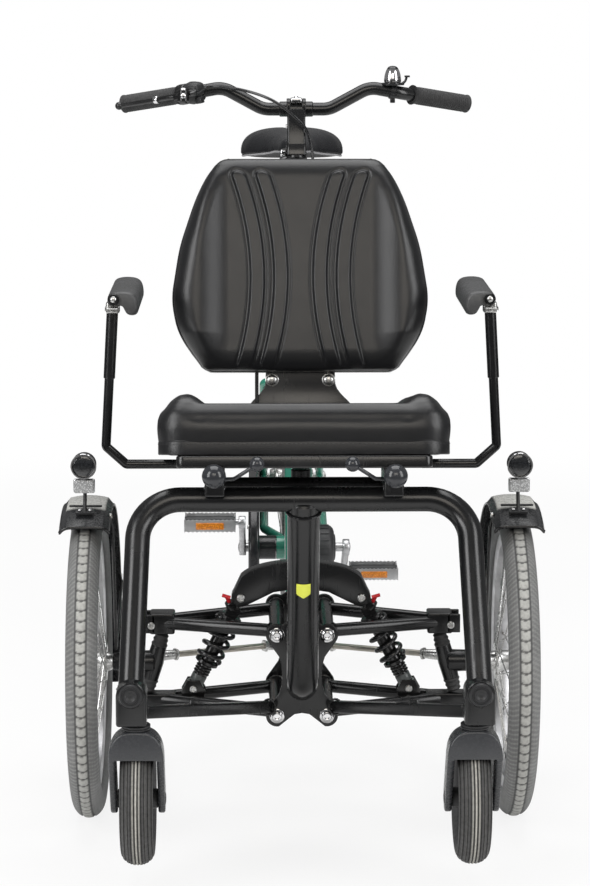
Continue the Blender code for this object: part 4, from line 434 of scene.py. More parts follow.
def noise(tree, place, scale, detail, rough=0.55, stretch=None):
    made = add(tree, "ShaderNodeTexNoise")
    made.inputs["Detail"].default_value = detail
    made.inputs["Roughness"].default_value = rough
    if stretch:
        mapping = add(tree, "ShaderNodeMapping")
        mapping.inputs["Scale"].default_value = stretch
        wire(tree, place, mapping.inputs["Vector"])
        place = mapping.outputs["Vector"]
    wire(tree, place, made.inputs["Vector"])
    feed(tree, scale, made.inputs["Scale"])
    return made.outputs["Fac"]


def cells(tree, place, scale, feature="F1", output="Distance"):
    made = add(tree, "ShaderNodeTexVoronoi", feature=feature)
    wire(tree, place, made.inputs["Vector"])
    feed(tree, scale, made.inputs["Scale"])
    return made.outputs[output]


def build_wear(tree, inputs, place):
    """Soft patches and fine scratches: a broad noise times a sharp one, and thin lines of stretched
    noise."""
    patch = spread(tree, noise(tree, place, inputs["Scale"], 5.0), 0.42, 0.68)
    fine = spread(tree, noise(tree, place, 190.0, 2.0), 0.35, 0.7)
    lines = noise(tree, place, 26.0, 1.0, 0.4, (9.0, 1.2, 1.0))
    scratch = math_node(tree, "MULTIPLY", spread(tree, lines, 0.655, 0.685), patch)
    return {"Patch": patch, "Scratch": scratch, "Fine": fine}


def build_peel(tree, inputs, place):
    """The slight waviness of sprayed paint: noise at two sizes."""
    broad = noise(tree, place, inputs["Scale"], 1.0)
    close = noise(tree, place, 900.0, 1.0)
    return {"Height": math_node(tree, "ADD", broad, math_node(tree, "MULTIPLY", close, 0.3))}


def build_hide(tree, inputs, place):
    """Grained upholstery: cells with sunk borders, broken up by noise."""
    edge = cells(tree, place, inputs["Scale"], "DISTANCE_TO_EDGE")
    pebble = spread(tree, edge, 0.0, 0.16)
    crease = noise(tree, place, 34.0, 4.0)
    height = math_node(tree, "ADD", pebble, math_node(tree, "MULTIPLY", crease, 0.25))
    return {"Height": height, "Pebble": pebble, "Patch": spread(tree, crease, 0.35, 0.7)}


def build_brush(tree, inputs, place):
    """Drawn metal: noise stretched along one axis, with cloudy dulling over it."""
    lines = noise(tree, place, inputs["Scale"], 3.0, 0.6, (1.0, 0.06, 1.0))
    return {"Line": lines, "Cloud": spread(tree, noise(tree, place, 22.0, 4.0), 0.35, 0.7)}


def build_speck(tree, inputs, place):
    """Small specks: the cells whose random colour is high, faded by the distance to their
    middle."""
    pick = cells(tree, place, inputs["Scale"], "F1", "Color")
    near = cells(tree, place, inputs["Scale"], "F1", "Distance")
    chosen = math_node(tree, "GREATER_THAN", pick, inputs["Share"])
    return {"Speck": math_node(tree, "MULTIPLY", chosen, spread(tree, near, 0.42, 0.2))}


WEAR = effect("wear", {"Scale": 7.0}, ("Patch", "Scratch", "Fine"), build_wear)
PEEL = effect("paint_peel", {"Scale": 210.0}, ("Height",), build_peel)
HIDE = effect("hide_grain", {"Scale": 520.0}, ("Height", "Pebble", "Patch"), build_hide)
BRUSH = effect("brushed", {"Scale": 240.0}, ("Line", "Cloud"), build_brush)
SPECK = effect("specks", {"Scale": 900.0, "Share": 0.55}, ("Speck",), build_speck)


class Finish:
    """A material under construction: its shader, its node tree and short ways to fill them in."""

    def __init__(self, name, rough, metallic=0.0, **sockets):
        self.made = bpy.data.materials.new(name)
        self.made.use_nodes = True
        self.tree = self.made.node_tree
        self.shader = self.tree.nodes["Principled BSDF"]
        self.shader.inputs["Roughness"].default_value = rough
        self.shader.inputs["Metallic"].default_value = metallic
        for key, value in sockets.items():
            self.shader.inputs[key.replace("_", " ")].default_value = value

    def use(self, group, **values):
        made = add(self.tree, "ShaderNodeGroup", node_tree=group)
        for key, value in values.items():
            made.inputs[key].default_value = value
        return made.outputs

    def mix(self, share, a, b):
        """Two colours mixed by a share that changes over the surface."""
        made = add(self.tree, "ShaderNodeMix", data_type="RGBA")
        wire(self.tree, share, made.inputs["Factor"])
        for key, value in ((6, a), (7, b)):
            if isinstance(value, tuple):
                made.inputs[key].default_value = (*value, 1)
            else:
                wire(self.tree, value, made.inputs[key])
        return made.outputs[2]

    def colour(self, value):
        if isinstance(value, tuple):
            self.shader.inputs["Base Color"].default_value = (*value, 1)
        else:
            wire(self.tree, value, self.shader.inputs["Base Color"])

    def rough(self, value, low, high):
        wire(
            self.tree, spread(self.tree, value, 0.0, 1.0, low, high),
            self.shader.inputs["Roughness"],
        )

    def bump(self, height, distance, strength):
        made = add(self.tree, "ShaderNodeBump")
        made.inputs["Strength"].default_value = strength
        made.inputs["Distance"].default_value = distance
        wire(self.tree, height, made.inputs["Height"])
        wire(self.tree, made.outputs["Normal"], self.shader.inputs["Normal"])

    def mask(self, label):
        return add(self.tree, "ShaderNodeAttribute", attribute_name=label).outputs["Fac"]


def paint(name, colour, worn, rough, coat):
    """Gloss paint: dust patches lift its colour a little, scratches dull it, and its surface
    waves."""
    made = Finish(name, rough, Coat_Weight=coat, Coat_Roughness=0.12)
    wear = made.use(WEAR, Scale=6.0)
    made.colour(made.mix(wear["Patch"], colour, worn))
    dull = math_node(
        made.tree, "ADD", wear["Scratch"], math_node(made.tree, "MULTIPLY", wear["Patch"], 0.35)
    )
    made.rough(dull, rough, rough + 0.22)
    made.bump(made.use(PEEL)["Height"], 0.00006, 0.5)
    return made.made


def metal(name, colour, dark, rough, spread_to, line=0.00002):
    """Bare metal: drawn lines and cloudy dulling over its colour and roughness."""
    made = Finish(name, rough, 1.0)
    brush = made.use(BRUSH)
    made.colour(made.mix(brush["Cloud"], colour, dark))
    made.rough(brush["Line"], rough, spread_to)
    made.bump(brush["Line"], line, 0.6)
    return made.made


def plastic(name, colour, worn, rough, high, pebble=0.00012, scale=760.0):
    """Moulded plastic or rubber: a fine spark-eroded grain, dust in its patches."""
    made = Finish(name, rough)
    wear = made.use(WEAR, Scale=9.0)
    grain = made.use(HIDE, Scale=scale)
    made.colour(made.mix(wear["Patch"], colour, worn))
    made.rough(wear["Fine"], rough, high)
    made.bump(grain["Height"], pebble, 0.55)
    return made.made


def upholstery(name, colour, light, rough, high, scale, pebble):
    """Upholstery: pebbled grain that catches the light, a little worn in broad patches."""
    made = Finish(name, rough, Sheen_Weight=0.02, Sheen_Roughness=0.4)
    grain = made.use(HIDE, Scale=scale)
    wear = made.use(WEAR, Scale=5.0)
    made.colour(made.mix(wear["Patch"], colour, light))
    made.rough(grain["Patch"], rough, high)
    made.bump(grain["Height"], pebble, 0.6)
    return made.made


def tread_rubber(name, sheen_rib, shaded_groove, side):
    """Tyre rubber by its masks: a rib pale with painted sheen and wear, grooves dark with painted
    shade, grey walls with dust.
    """
    made = Finish(name, 0.72)
    wear = made.use(WEAR, Scale=14.0)
    speck = made.use(SPECK, Scale=1100.0, Share=0.5)
    walls = made.mix(wear["Patch"], side, tuple(c * 1.25 for c in side))
    # The rib's pale colour is painted sheen and wear; the grooves' dark colour is painted shade.
    pale = made.mix(wear["Fine"], sheen_rib, tuple(c * 0.82 for c in sheen_rib))
    body = made.mix(made.mask("sheen_rib"), walls, pale)
    made.colour(made.mix(made.mask("shaded_groove"), body, shaded_groove))
    made.rough(wear["Fine"], 0.62, 0.85)
    made.bump(speck["Speck"], 0.00012, 0.4)
    return made.made


def cream_guard():
    """The mudguards' pale top: a cream skin with fine dark specks, black along its lips."""
    made = Finish("guard_skin", 0.35)
    speck = made.use(SPECK, Scale=620.0, Share=0.62)
    wear = made.use(WEAR, Scale=8.0)
    skin_colour = made.mix(wear["Patch"], (0.56, 0.56, 0.53), (0.47, 0.47, 0.45))
    dotted = made.mix(
        math_node(made.tree, "MULTIPLY", speck["Speck"], 0.7), skin_colour, (0.16, 0.16, 0.16)
    )
    made.colour(made.mix(made.mask("lip"), dotted, (0.02, 0.021, 0.023)))
    made.rough(wear["Fine"], 0.25, 0.42)
    made.bump(speck["Speck"], 0.00008, 0.4)
    return made.made


def lens(name, colour, rough=0.06):
    """A moulded lens or reflector: rows of small prisms under a clear skin."""
    made = Finish(name, rough, Coat_Weight=0.8, Coat_Roughness=0.03)
    prism = cells(made.tree, add(made.tree, "ShaderNodeTexCoord").outputs["Object"], 420.0)
    wear = made.use(WEAR, Scale=30.0)
    shade = spread(made.tree, prism, 0.1, 0.6)
    made.colour(made.mix(
        shade, tuple(min(c * 1.35, 1) for c in colour), tuple(c * 0.55 for c in colour)
    ))
    made.rough(wear["Fine"], rough, rough + 0.12)
    made.bump(prism, 0.0004, 0.5)
    return made.made


GLOSS = paint("black_gloss", (0.0055, 0.0058, 0.0065), (0.01, 0.0103, 0.011), 0.24, 0.05)
SATIN = paint("black_satin", (0.0075, 0.0075, 0.008), (0.014, 0.0142, 0.015), 0.24, 0.2)
GREEN = paint("green_gloss", (0.03, 0.235, 0.16), (0.042, 0.27, 0.185), 0.14, 0.8)
ZINC = metal("bright_zinc", (0.66, 0.66, 0.65), (0.48, 0.48, 0.47), 0.2, 0.38)
ALLOY = metal("alloy", (0.58, 0.58, 0.59), (0.42, 0.42, 0.43), 0.28, 0.5)
CHROME = metal("chrome_plate", (0.8, 0.8, 0.81), (0.7, 0.7, 0.71), 0.05, 0.12, 0.000004)
BRONZE = metal("rod_steel", (0.52, 0.49, 0.43), (0.38, 0.36, 0.32), 0.24, 0.42)
MOULDED = plastic("moulded_black", (0.016, 0.0165, 0.018), (0.034, 0.035, 0.037), 0.36, 0.5)
SHINY = plastic("shiny_black", (0.012, 0.0125, 0.014), (0.022, 0.0225, 0.024), 0.14, 0.26, 0.00003)
RUBBER = plastic(
    "dark_rubber", (0.026, 0.026, 0.027), (0.048, 0.048, 0.049), 0.55, 0.72, 0.00018, 900.0
)
FOAM = plastic("foam_skin", (0.05, 0.051, 0.052), (0.066, 0.067, 0.069), 0.4, 0.55, 0.0001, 620.0)
HIDE_BLACK = upholstery(
    "seat_hide", (0.0085, 0.0088, 0.0098), (0.0105, 0.0108, 0.012), 0.29, 0.32, 620.0, 0.00006
)
SADDLE_SKIN = upholstery(
    "saddle_skin", (0.011, 0.0115, 0.0135), (0.017, 0.0175, 0.02), 0.26, 0.38, 700.0, 0.00009
)
TREAD = tread_rubber("wheel_tread", (0.44, 0.44, 0.42), (0.03, 0.03, 0.031), (0.155, 0.157, 0.157))
CASTOR_TREAD = tread_rubber(
    "castor_tread", (0.46, 0.45, 0.41), (0.01, 0.01, 0.01), (0.04, 0.04, 0.041)
)
GUARD_SKIN = cream_guard()
SPRING_PAINT = paint("spring_black", (0.014, 0.0145, 0.016), (0.028, 0.0285, 0.03), 0.22, 0.4)
KNOB_SKIN = plastic("knob_grey", (0.03, 0.032, 0.037), (0.036, 0.038, 0.043), 0.1, 0.18, 0.00001)
FORK_SKIN = plastic("fork_grey", (0.04, 0.042, 0.046), (0.05, 0.052, 0.056), 0.22, 0.32, 0.00001)
THREAD = plastic("seam_thread", (0.028, 0.028, 0.03), (0.05, 0.05, 0.052), 0.5, 0.7)
TRIM_GREY = plastic("saddle_trim_grey", (0.34, 0.34, 0.35), (0.44, 0.44, 0.45), 0.3, 0.5, 0.00003)
RED = paint("adjuster_red", (0.62, 0.012, 0.02), (0.66, 0.03, 0.04), 0.25, 0.3)
AMBER = lens("amber_reflector", (0.85, 0.26, 0.02))
WHITE_LENS = lens("clear_reflector", (0.6, 0.61, 0.62))
DARK_LENS = lens("lamp_lens", (0.018, 0.02, 0.023))
YELLOW = paint("yellow_mark", (0.82, 0.86, 0.09), (0.78, 0.8, 0.1), 0.3, 0.2)
LABEL = paint("bare_label", (0.085, 0.095, 0.095), (0.12, 0.13, 0.13), 0.3, 0.2)

# Wheels


def around(centre, across, radius, angle):
    """Points at distances across, at radii and at angles from the top, forward positive."""
    x = centre[0] + across
    y = centre[1] - radius * np.sin(angle)
    z = centre[2] + radius * np.cos(angle)
    return np.stack(np.broadcast_arrays(x, y, z), -1)


def tyre(name, centre, radius, width, seat, pitches, body, node):
    """A tyre as a grid of (angle, place round its section). The tread's height falls where the
    share of a chevron pitch, slanted by the distance from the middle, lies in a groove."""
    half = width / 2
    rise = (radius - seat) * 0.58
    steps = pitches * 8
    turn = np.linspace(math.radians(-42), math.radians(222), 46)
    across = half * np.cos(turn)
    height = radius - rise + rise * np.sin(turn)
    across = np.concatenate([across, [-half * 0.5, half * 0.5]])
    height = np.concatenate([height, [seat + 0.0006, seat + 0.0006]])
    angle = np.linspace(0, 2 * math.pi, steps, endpoint=False)
    share = np.abs(across / half)[None]
    top = (height > radius - rise * 1.05)[None]
    phase = (angle[:, None] / (2 * math.pi) * pitches + share * 0.55) % 1
    fine = (angle[:, None] / (2 * math.pi) * pitches * 2 - share * 1.6) % 1
    sheen_rib = (share < 0.33) & top
    ring_groove = (share > 0.33) & (share < 0.4) & top
    wall = (share > 0.4) & (share < 0.97) & top
    cut = (sheen_rib & (phase < 0.18)) | ring_groove
    nick = wall & (fine < 0.3)
    depth = np.where(cut, 0.0016, 0.0) + np.where(nick, 0.0007, 0.0)
    points = around(centre, across[None], height[None] - depth, angle[:, None])
    shape = skin(points, ring=True)
    # The masks paint sheen and wear on the centre rib and shade in its cut grooves.
    masks = {
        "sheen_rib": (np.zeros_like(nick) + sheen_rib + 0.3 * nick).ravel(),
        "shaded_groove": (cut * 0.8).astype(float).ravel(),
    }
    return piece(name, shape, body, TREAD, (node,), 60, masks=masks)


def spokes(centre, hub_radius, flange_x, rim_radius, count=36):
    """Crossed spokes: each leaves a hub flange at a lean and meets the rim, with a brass nipple
    there."""
    wires, nipples = [], []
    for k in range(count):
        out = 2 * math.pi * k / count
        lean = math.radians(64) * (1 if k % 4 < 2 else -1)
        face = 1 if k % 2 else -1
        weave = 0.002 * (1 if k % 4 < 2 else -1)
        start = around(centre, face * (flange_x + weave), hub_radius - 0.003, out + lean)
        end = around(centre, face * 0.0022, rim_radius, out)
        wires.append(bar(start, end, 0.00105, 8, 0.2))
        back = end + unit(start - end) * 0.012
        nipples.append(pipe([end, back], 0.0021, 8, 0.3))
    return join(*wires), join(*nipples)


def wheel(name, centre, rim_radius, hub_half, body, node, outer=None):
    """The rim is a hollow section turned about the axle, and the hub a barrel between two
    flanges."""
    axis = RIGHT
    depth, half, hub_radius = 0.018, 0.016, 0.031
    floor = rim_radius - depth
    section = [
        (-half, rim_radius + 0.004), (-half * 0.86, rim_radius + 0.0045),
        (-half * 0.78, rim_radius - 0.003),
    ]
    section += [
        (half * 0.78, rim_radius - 0.003), (half * 0.86, rim_radius + 0.0045),
        (half, rim_radius + 0.004),
    ]
    section += [
        (half, floor + depth * 0.45), (half * 0.82, floor + depth * 0.12), (half * 0.4, floor)
    ]
    section += [
        (-half * 0.4, floor), (-half * 0.82, floor + depth * 0.12), (-half, floor + depth * 0.45)
    ]
    rim = turned(section, centre, axis, 128, ring=True)
    flange = hub_half - 0.011
    barrel = [
        (-hub_half, 0.0075), (-hub_half, 0.0125), (-hub_half + 0.004, 0.0145),
        (-flange - 0.002, 0.016),
    ]
    barrel += [
        (-flange - 0.002, hub_radius - 0.001), (-flange - 0.001, hub_radius),
        (-flange + 0.001, hub_radius),
    ]
    barrel += [
        (-flange + 0.002, hub_radius - 0.001), (-flange + 0.003, 0.02), (-flange + 0.012, 0.0165)
    ]
    barrel = mirrored(barrel)
    barrel = [(max(min(x, outer[1]), outer[0]), r) for x, r in barrel] if outer else barrel
    hub = turned(barrel, centre, axis, 48, ring=True)
    wires, nipples = spokes(centre, hub_radius, flange, floor + 0.002)
    piece(name + "_rim", rim, body, ALLOY, (node,))
    piece(name + "_hub", [hub, nipples], body, ZINC)
    piece(name + "_spokes", wires, body, ZINC)
    valve_angle = math.radians(196)
    low = around(centre, 0.0, floor + 0.002, valve_angle)
    top = around(centre, 0.0, floor - 0.036, valve_angle)
    stem = pipe(np.linspace(low, top, 6), [0.0035, 0.0035, 0.003, 0.003, 0.0042, 0.0036], 12)
    piece(name + "_valve", stem, body, MOULDED)


for name, side in SIDES.items():
    middle = both(TRACK, 0, FRONT_RADIUS, side)
    tyre(
        "front_tread_" + name, middle, FRONT_RADIUS, 0.05, 0.206, 94, "wheel_" + name,
        "tyre_" + name,
    )
    outer = (-0.026, 1.0) if side < 0 else (-1.0, 0.026)
    wheel("front_" + name, middle, 0.206, 0.037, "wheel_" + name, "wheel_" + name, outer=outer)
tyre("rear_tread", REAR_MIDDLE, REAR_RADIUS, 0.044, 0.284, 120, "rear_wheel", "rear_tyre")
wheel("rear", REAR_MIDDLE, 0.284, 0.045, "rear_wheel", "rear_wheel")


def fork_crown(middle, swivel):
    """The castor fork's crown is a row of arches from front to back. Outside each arch is a dome
    with x = a cos(t)^0.7 and z = b sin(t); inside is a slot whose roof is a circle about the
    axle."""
    half, slot, hood, low, ease = 0.0408, 0.0305, 0.1055, -0.0445, 0.0032
    step = np.radians((0, 30, 60, 90))
    inset = ease * np.concatenate([1 - np.sin(step), np.zeros(5), 1 - np.sin(step[::-1])])
    back = ease * (1 - np.cos(step))
    depth = np.concatenate([-0.022 + back, np.linspace(-0.014, 0.014, 5), 0.022 - back[::-1]])
    turn = np.linspace(0, math.pi, 41)
    rings = []
    for draw, y in zip(inset, depth):
        wide = (half - draw) * np.sign(np.cos(turn)) * np.abs(np.cos(turn)) ** 0.7
        rise = -0.04 + (0.04 - draw) * np.sin(turn)
        roof = middle[2] - swivel[2] + math.sqrt(hood**2 - (0.05 - y) ** 2) + draw
        edge = slot + draw
        inside = [
            (-half + draw, low), (-edge, low), (-edge, roof), (0, roof), (edge, roof), (edge, low),
            (half - draw, low),
        ]
        flat = np.concatenate([np.stack([wide, rise], -1), inside])
        rings.append(np.stack([flat[:, 0], np.full(len(flat), y), flat[:, 1]], -1) + swivel)
    return skin(np.array(rings))


def castor(name, side):
    """A ribbed solid tyre on a dished hub, in a fork of two flat leaning arms under a domed
    crown."""
    middle = both(0.251, -0.385, 0.14, side)
    swivel = both(0.251, -0.435, 0.262, side)
    body = "castor_wheel_" + name
    radius, half, seat = 0.1, 0.025, 0.066
    turn = np.linspace(math.radians(-42), math.radians(222), 96)
    across = half * np.cos(turn)
    height = radius - 0.0197 + 0.0197 * np.sin(turn)
    top = height > radius - 0.0175
    share = np.abs(across) / 0.005
    shaded_groove = ((np.abs(share % 1 - 0.5) < 0.14) & top).astype(float)
    profile = np.stack([across, height - 0.0011 * shaded_groove], -1)
    profile = np.concatenate([profile, [(-half * 0.5, seat + 0.0006), (half * 0.5, seat + 0.0006)]])
    steps = 96
    # The pale stripes across the tread are painted sheen; its grooves are painted shade.
    sheen_stripe = np.full(len(share), 0.03)
    sheen_stripe[np.abs(share % 1 - 0.68) < 0.08] = 0.16
    sheen_stripe[np.abs(share - 1) < 0.22] = 0.65
    sheen_stripe[share < 0.4] = 1.0
    sheen_stripe = sheen_stripe * top
    masks = {
        "sheen_rib": np.repeat(np.concatenate([sheen_stripe, [0, 0]]), steps),
        "shaded_groove": np.repeat(np.concatenate([shaded_groove, [0, 0]]), steps),
    }
    shape = turned(profile, middle, RIGHT, steps, ring=True)
    piece(
        "castor_tread_" + name, shape, body, CASTOR_TREAD, ("castor_tyre_" + name,), 50, masks=masks
    )
    dish = [
        (-0.03, 0.0067), (-0.03, 0.0135), (-0.0285, 0.0147), (-0.009, 0.016), (-0.006, 0.022),
        (-0.005, 0.046),
    ]
    dish += [(-0.01, 0.053), (-0.0145, 0.056), (-0.015, 0.0657)]
    hub = turned(mirrored(dish), middle, RIGHT, 64, ring=True)
    ribs = []
    for k in range(5):
        angle = 2 * math.pi * k / 5
        inner = around(middle, 0.0, 0.015, angle)
        outer = around(middle, 0.0, 0.055, angle)
        way = np.cross(outer - inner, RIGHT)
        ribs.append(brick((0.018, 0.006, 0.04), (inner + outer) / 2, 0.002, RIGHT, way))
    piece("castor_wheel_hub_" + name, [hub, *ribs], body, MOULDED, ("castor_hub_" + name,))

    body = "castor_fork_" + name
    toe = np.linspace(math.pi + 0.53, 2 * math.pi + 0.53, 17)
    side_view = np.stack([0.0218 * np.cos(toe), 0.0218 * np.sin(toe)], -1)
    side_view = np.concatenate([side_view, [(-0.0285, 0.086), (-0.0715, 0.086)]])
    parts = [fork_crown(middle, swivel)]
    ends = []
    for s in (-1, 1):
        place = frame_at(middle + (s * 0.0358, 0, 0), BACK, UP)
        parts.append(slab(side_view, -0.0052, 0.0052, 0.003, place))
        ends.append(dome(middle + (s * 0.0408, 0, 0), (s, 0, 0), 0.0098, 0.0016, 28))
    piece("castor_fork_shell_" + name, parts, body, FORK_SKIN, ("castor_fork_" + name,))
    rings = [
        (0.0002, 0.0206), (0.001, 0.0215), (0.0028, 0.0215), (0.0034, 0.0203), (0.0042, 0.0203),
        (0.0048, 0.0215),
    ]
    rings += [(0.0066, 0.0215), (0.0074, 0.0206)]
    piece("castor_neck_" + name, [turned(rings, swivel, UP, 48), *ends], body, MOULDED)


for name, side in SIDES.items():
    castor(name, side)

# Front frame and suspension

PIVOT_X, PIVOT_LOW, PIVOT_HIGH = 0.04, 0.19, 0.323
TIP_X, TIP_Z = 0.098, 0.362
PLATE_Y, PLATE_HALF = 0.105, 0.004
HOUSING_X, DAMPER_X = 0.257, 0.176


def hourglass():
    """The pivot plates' outline in X and Z: four round lobes, a drawn-in waist and an arch
    below."""
    lobe, waist = 0.0178, 0.029
    low = np.radians(np.linspace(-100, 42, 12))
    high = np.radians(np.linspace(-42, 118, 12))
    side = [(PIVOT_X + lobe * math.cos(a), PIVOT_LOW + lobe * math.sin(a)) for a in low]
    side += [
        (waist + 0.0075, 0.226), (waist + 0.0035, 0.24), (waist + 0.0025, 0.2565),
        (waist + 0.0035, 0.273), (waist + 0.0075, 0.287),
    ]
    side += [(PIVOT_X + lobe * math.cos(a), PIVOT_HIGH + lobe * math.sin(a)) for a in high]
    side += [(0.016, 0.349), (0.006, 0.3505)]
    arch = [(-0.024, 0.183), (-0.012, 0.1925), (0, 0.1945), (0.012, 0.1925), (0.024, 0.183)]
    return np.array(mirrored(side) + arch)


def pivot_plate(y):
    """The plate that carries the wishbones' pivots, across the bicycle at a depth."""
    return slab(hourglass(), -PLATE_HALF, PLATE_HALF, 0.0012, frame_at((0, y, 0), RIGHT, UP))


def front_frame():
    """The hoop and its post are bent pipes; each housing is an arch over a flat foot, carried from
    back to front."""
    path = [(0.259, -0.435, 0.3046), (0.25, *POST_TOP[1:])]
    path += [(-x, y, z) for x, y, z in reversed(path)]
    hoop = pipe(bend(path, 0.065, 14), 0.019, 40)
    post = pipe(bend([POST_TOP, (0, -0.16, 0.262), (0, -0.105, 0.24)], 0.03, 8), 0.025, 40)
    along = unit((0, 0.11, -0.313))
    weld = bead(POST_TOP + along * 0.02, along, 0.0255, 0.0028)
    parts = [hoop, post, weld, pivot_plate(-PLATE_Y)]
    turn = np.linspace(0, math.pi, 21)
    arch = np.stack([0.0226 * np.cos(turn), 0.045 + 0.0226 * np.sin(turn)], -1)
    housing = np.concatenate([
        arch,
        [
            (-0.0226, 0.004), (-0.0215, 0.0012), (-0.0185, 0), (0.0185, 0), (0.0215, 0.0012),
            (0.0226, 0.004),
        ],
    ])
    caps, screws, sleeves = [], [], []
    rings = [
        (-0.004, 0.0175), (0.006, 0.0175), (0.0085, 0.0163), (0.0088, 0.014), (0.0072, 0.013),
        (0.0072, 0.0105),
    ]
    rings += [(0.009, 0.0095), (0.0096, 0.007), (0.0082, 0.0052), (0.007, 0.003)]
    for side in SIDES.values():
        x = HOUSING_X * side
        at = np.array((x, -0.461, 0.32))
        parts.append(slab(housing, -0.026, 0.026, 0.0045, frame_at((x, -0.435, 0.2708), RIGHT, UP)))
        parts.append(turned([(-0.006, 0.02), (0.001, 0.02), (0.0022, 0.0188)], at, FRONT, 48))
        outer, inner = both(0.2409, -0.413, 0.2815, side), both(0.0515, -0.1135, 0.2065, side)
        flat = unit(outer - inner)
        parts.append(brick(
            (np.linalg.norm(outer - inner), 0.0188, 0.0158), (outer + inner) / 2, 0.0035, flat, UP
        ))
        parts.append(bead(inner + flat * 0.003, flat, 0.0118, 0.002))
        parts.append(brick(
            (0.02, 0.01, 0.004), inner + (outer - inner) * 0.62 + (0, 0, 0.0105), 0.001, flat, UP
        ))
        top = both(0.2585, -0.4262, 0.319, side)
        parts.append(bead(top, both(-0.009, 0.165, 0.2704, side), 0.0195, 0.0022))
        caps.append(turned(rings, at, FRONT, 56))
        for z in (PIVOT_LOW, PIVOT_HIGH):
            screws.append(bolt(both(PIVOT_X, -0.109, z, side), FRONT, 0.0086, 0.0062, 36))
            sleeves.append(washer(both(PIVOT_X, -0.109, z, side), FRONT, 0.0118, 0.0014))
    piece("front_frame_dress", parts, "frame", GLOSS, ("front_frame",))
    piece("castor_caps", caps, "frame", MOULDED)
    piece("front_bolts", [*screws, *sleeves], "frame", CHROME)
    yellow_shield(along)


def yellow_shield(along):
    """The bare yellow mark on the post: a thin sheet bent round the pipe, square above and pointed
    below."""
    facing = unit((0, -0.313, -0.11))
    v = np.linspace(0, 1, 14)[:, None]
    u = np.linspace(-1, 1, 12)[None]
    half = 0.0108 * np.where(v < 0.74, 1.0, np.clip((1.02 - v) / 0.28, 0.02, 1))
    x = u * half
    lift = np.sqrt(0.0254**2 - x**2)
    centre = POST_TOP + along * 0.1495
    grid = centre + along * (v[..., None] - 0.5) * 0.025 + facing * lift[..., None]
    grid[..., 0] += x
    shield = piece("yellow_shield", sheet(grid), "frame", YELLOW)
    solid = shield.modifiers.new("thickness", "SOLIDIFY")
    solid.thickness, solid.offset = 0.0005, 1.0


def spine():
    """The middle frame: a front-to-back beam, the tower that carries the dampers and the seat's
    prop, all bars."""
    plate = pivot_plate(PLATE_Y)
    beam = pipe([(0, -0.098, 0.3), (0, 0.206, 0.3)], 0.022, 36)
    prop = pipe([(0, 0.01, 0.3), (0, 0.01, 0.571)], 0.016, 32)
    crescent = slab(tower_outline(), -0.015, 0.015, 0.0015, frame_at((0, 0, 0), RIGHT, UP))
    flange = bead((0, 0.01, 0.328), UP, 0.0165, 0.002)
    piece("spine_dress", [plate, beam, prop, crescent, flange], "frame", GLOSS, ("spine",))
    screws = []
    for side in SIDES.values():
        screws.append(bolt(both(TIP_X, -0.015, TIP_Z, side), FRONT, 0.0068, 0.0045))
        screws.append(nut(both(TIP_X, 0.015, TIP_Z, side), BACK, 0.0085, 0.006))
        for z in (PIVOT_LOW, PIVOT_HIGH):
            screws.append(nut(both(PIVOT_X, 0.109, z, side), BACK, 0.0098, 0.0075))
    piece("tower_bolts", screws, "frame", ZINC)


def tower_outline():
    """A tall arc over a flat one, closed by round tips."""
    tip_radius = 0.0155
    angle = np.radians(np.linspace(22, 158, 25))
    wide = TIP_X / math.cos(math.radians(22))
    top = np.stack([wide * np.cos(angle), 0.377 + 0.044 * np.sin(angle) ** 0.8], -1)
    tip = np.radians(np.linspace(140, 300, 9))
    left = np.stack([-TIP_X + tip_radius * np.cos(tip), TIP_Z + tip_radius * np.sin(tip)], -1)
    low = np.array([(-0.075, 0.356), (-0.045, 0.371), (0, 0.378), (0.045, 0.371), (0.075, 0.356)])
    right = np.stack(
        [TIP_X - tip_radius * np.cos(tip[::-1]), TIP_Z + tip_radius * np.sin(tip[::-1])], -1
    )
    return np.concatenate([top, left, low, right])


def arms(name, side):
    """Upper and lower arm: two tubes from the pivot bushes to a block by the kingpin."""
    parts, bright, soft = [], [], []
    for pivot_z, block_z in ((PIVOT_HIGH, 0.3196), (PIVOT_LOW, 0.1904)):
        parts.append(bar(
            both(PIVOT_X, -0.1005, pivot_z, side), both(PIVOT_X, 0.1005, pivot_z, side), 0.0125, 28
        ))
        outer = both(0.226, 0, block_z, side)
        for y in (-0.079, 0.079):
            root = both(PIVOT_X, y, pivot_z, side)
            parts.append(bar(root, outer + (0, y * 0.1, 0), 0.0106, 24))
            soft.append(bead(root + unit(outer - root) * 0.012, outer - root, 0.0108, 0.0018))
        if pivot_z == PIVOT_LOW:
            parts.append(brick((0.064, 0.034, 0.021), both(0.237, 0, block_z, side), 0.004))
            parts.append(bar(
                both(DAMPER_X, -0.034, PIVOT_LOW, side), both(DAMPER_X, 0.034, PIVOT_LOW, side),
                0.0085, 20,
            ))
        else:
            parts.append(brick((0.041, 0.041, 0.034), outer, 0.005))
            for y in (-0.017, 0.017):
                parts.append(brick((0.022, 0.007, 0.03), outer + (side * 0.022, y, 0), 0.002))
            bright.append(bolt(both(0.2435, -0.0205, block_z - 0.002, side), FRONT, 0.0062, 0.004))
        for y in (-1, 1):
            bright.append(washer(
                both(PIVOT_X, y * 0.0985, pivot_z, side), (0, y, 0), 0.0135, 0.002
            ))
    piece(
        "arms_" + name, [*parts, *soft], "frame", GLOSS,
        ("wishbone_upper_" + name, "wishbone_lower_" + name),
    )
    piece("arm_fittings_" + name, bright, "frame", ZINC)


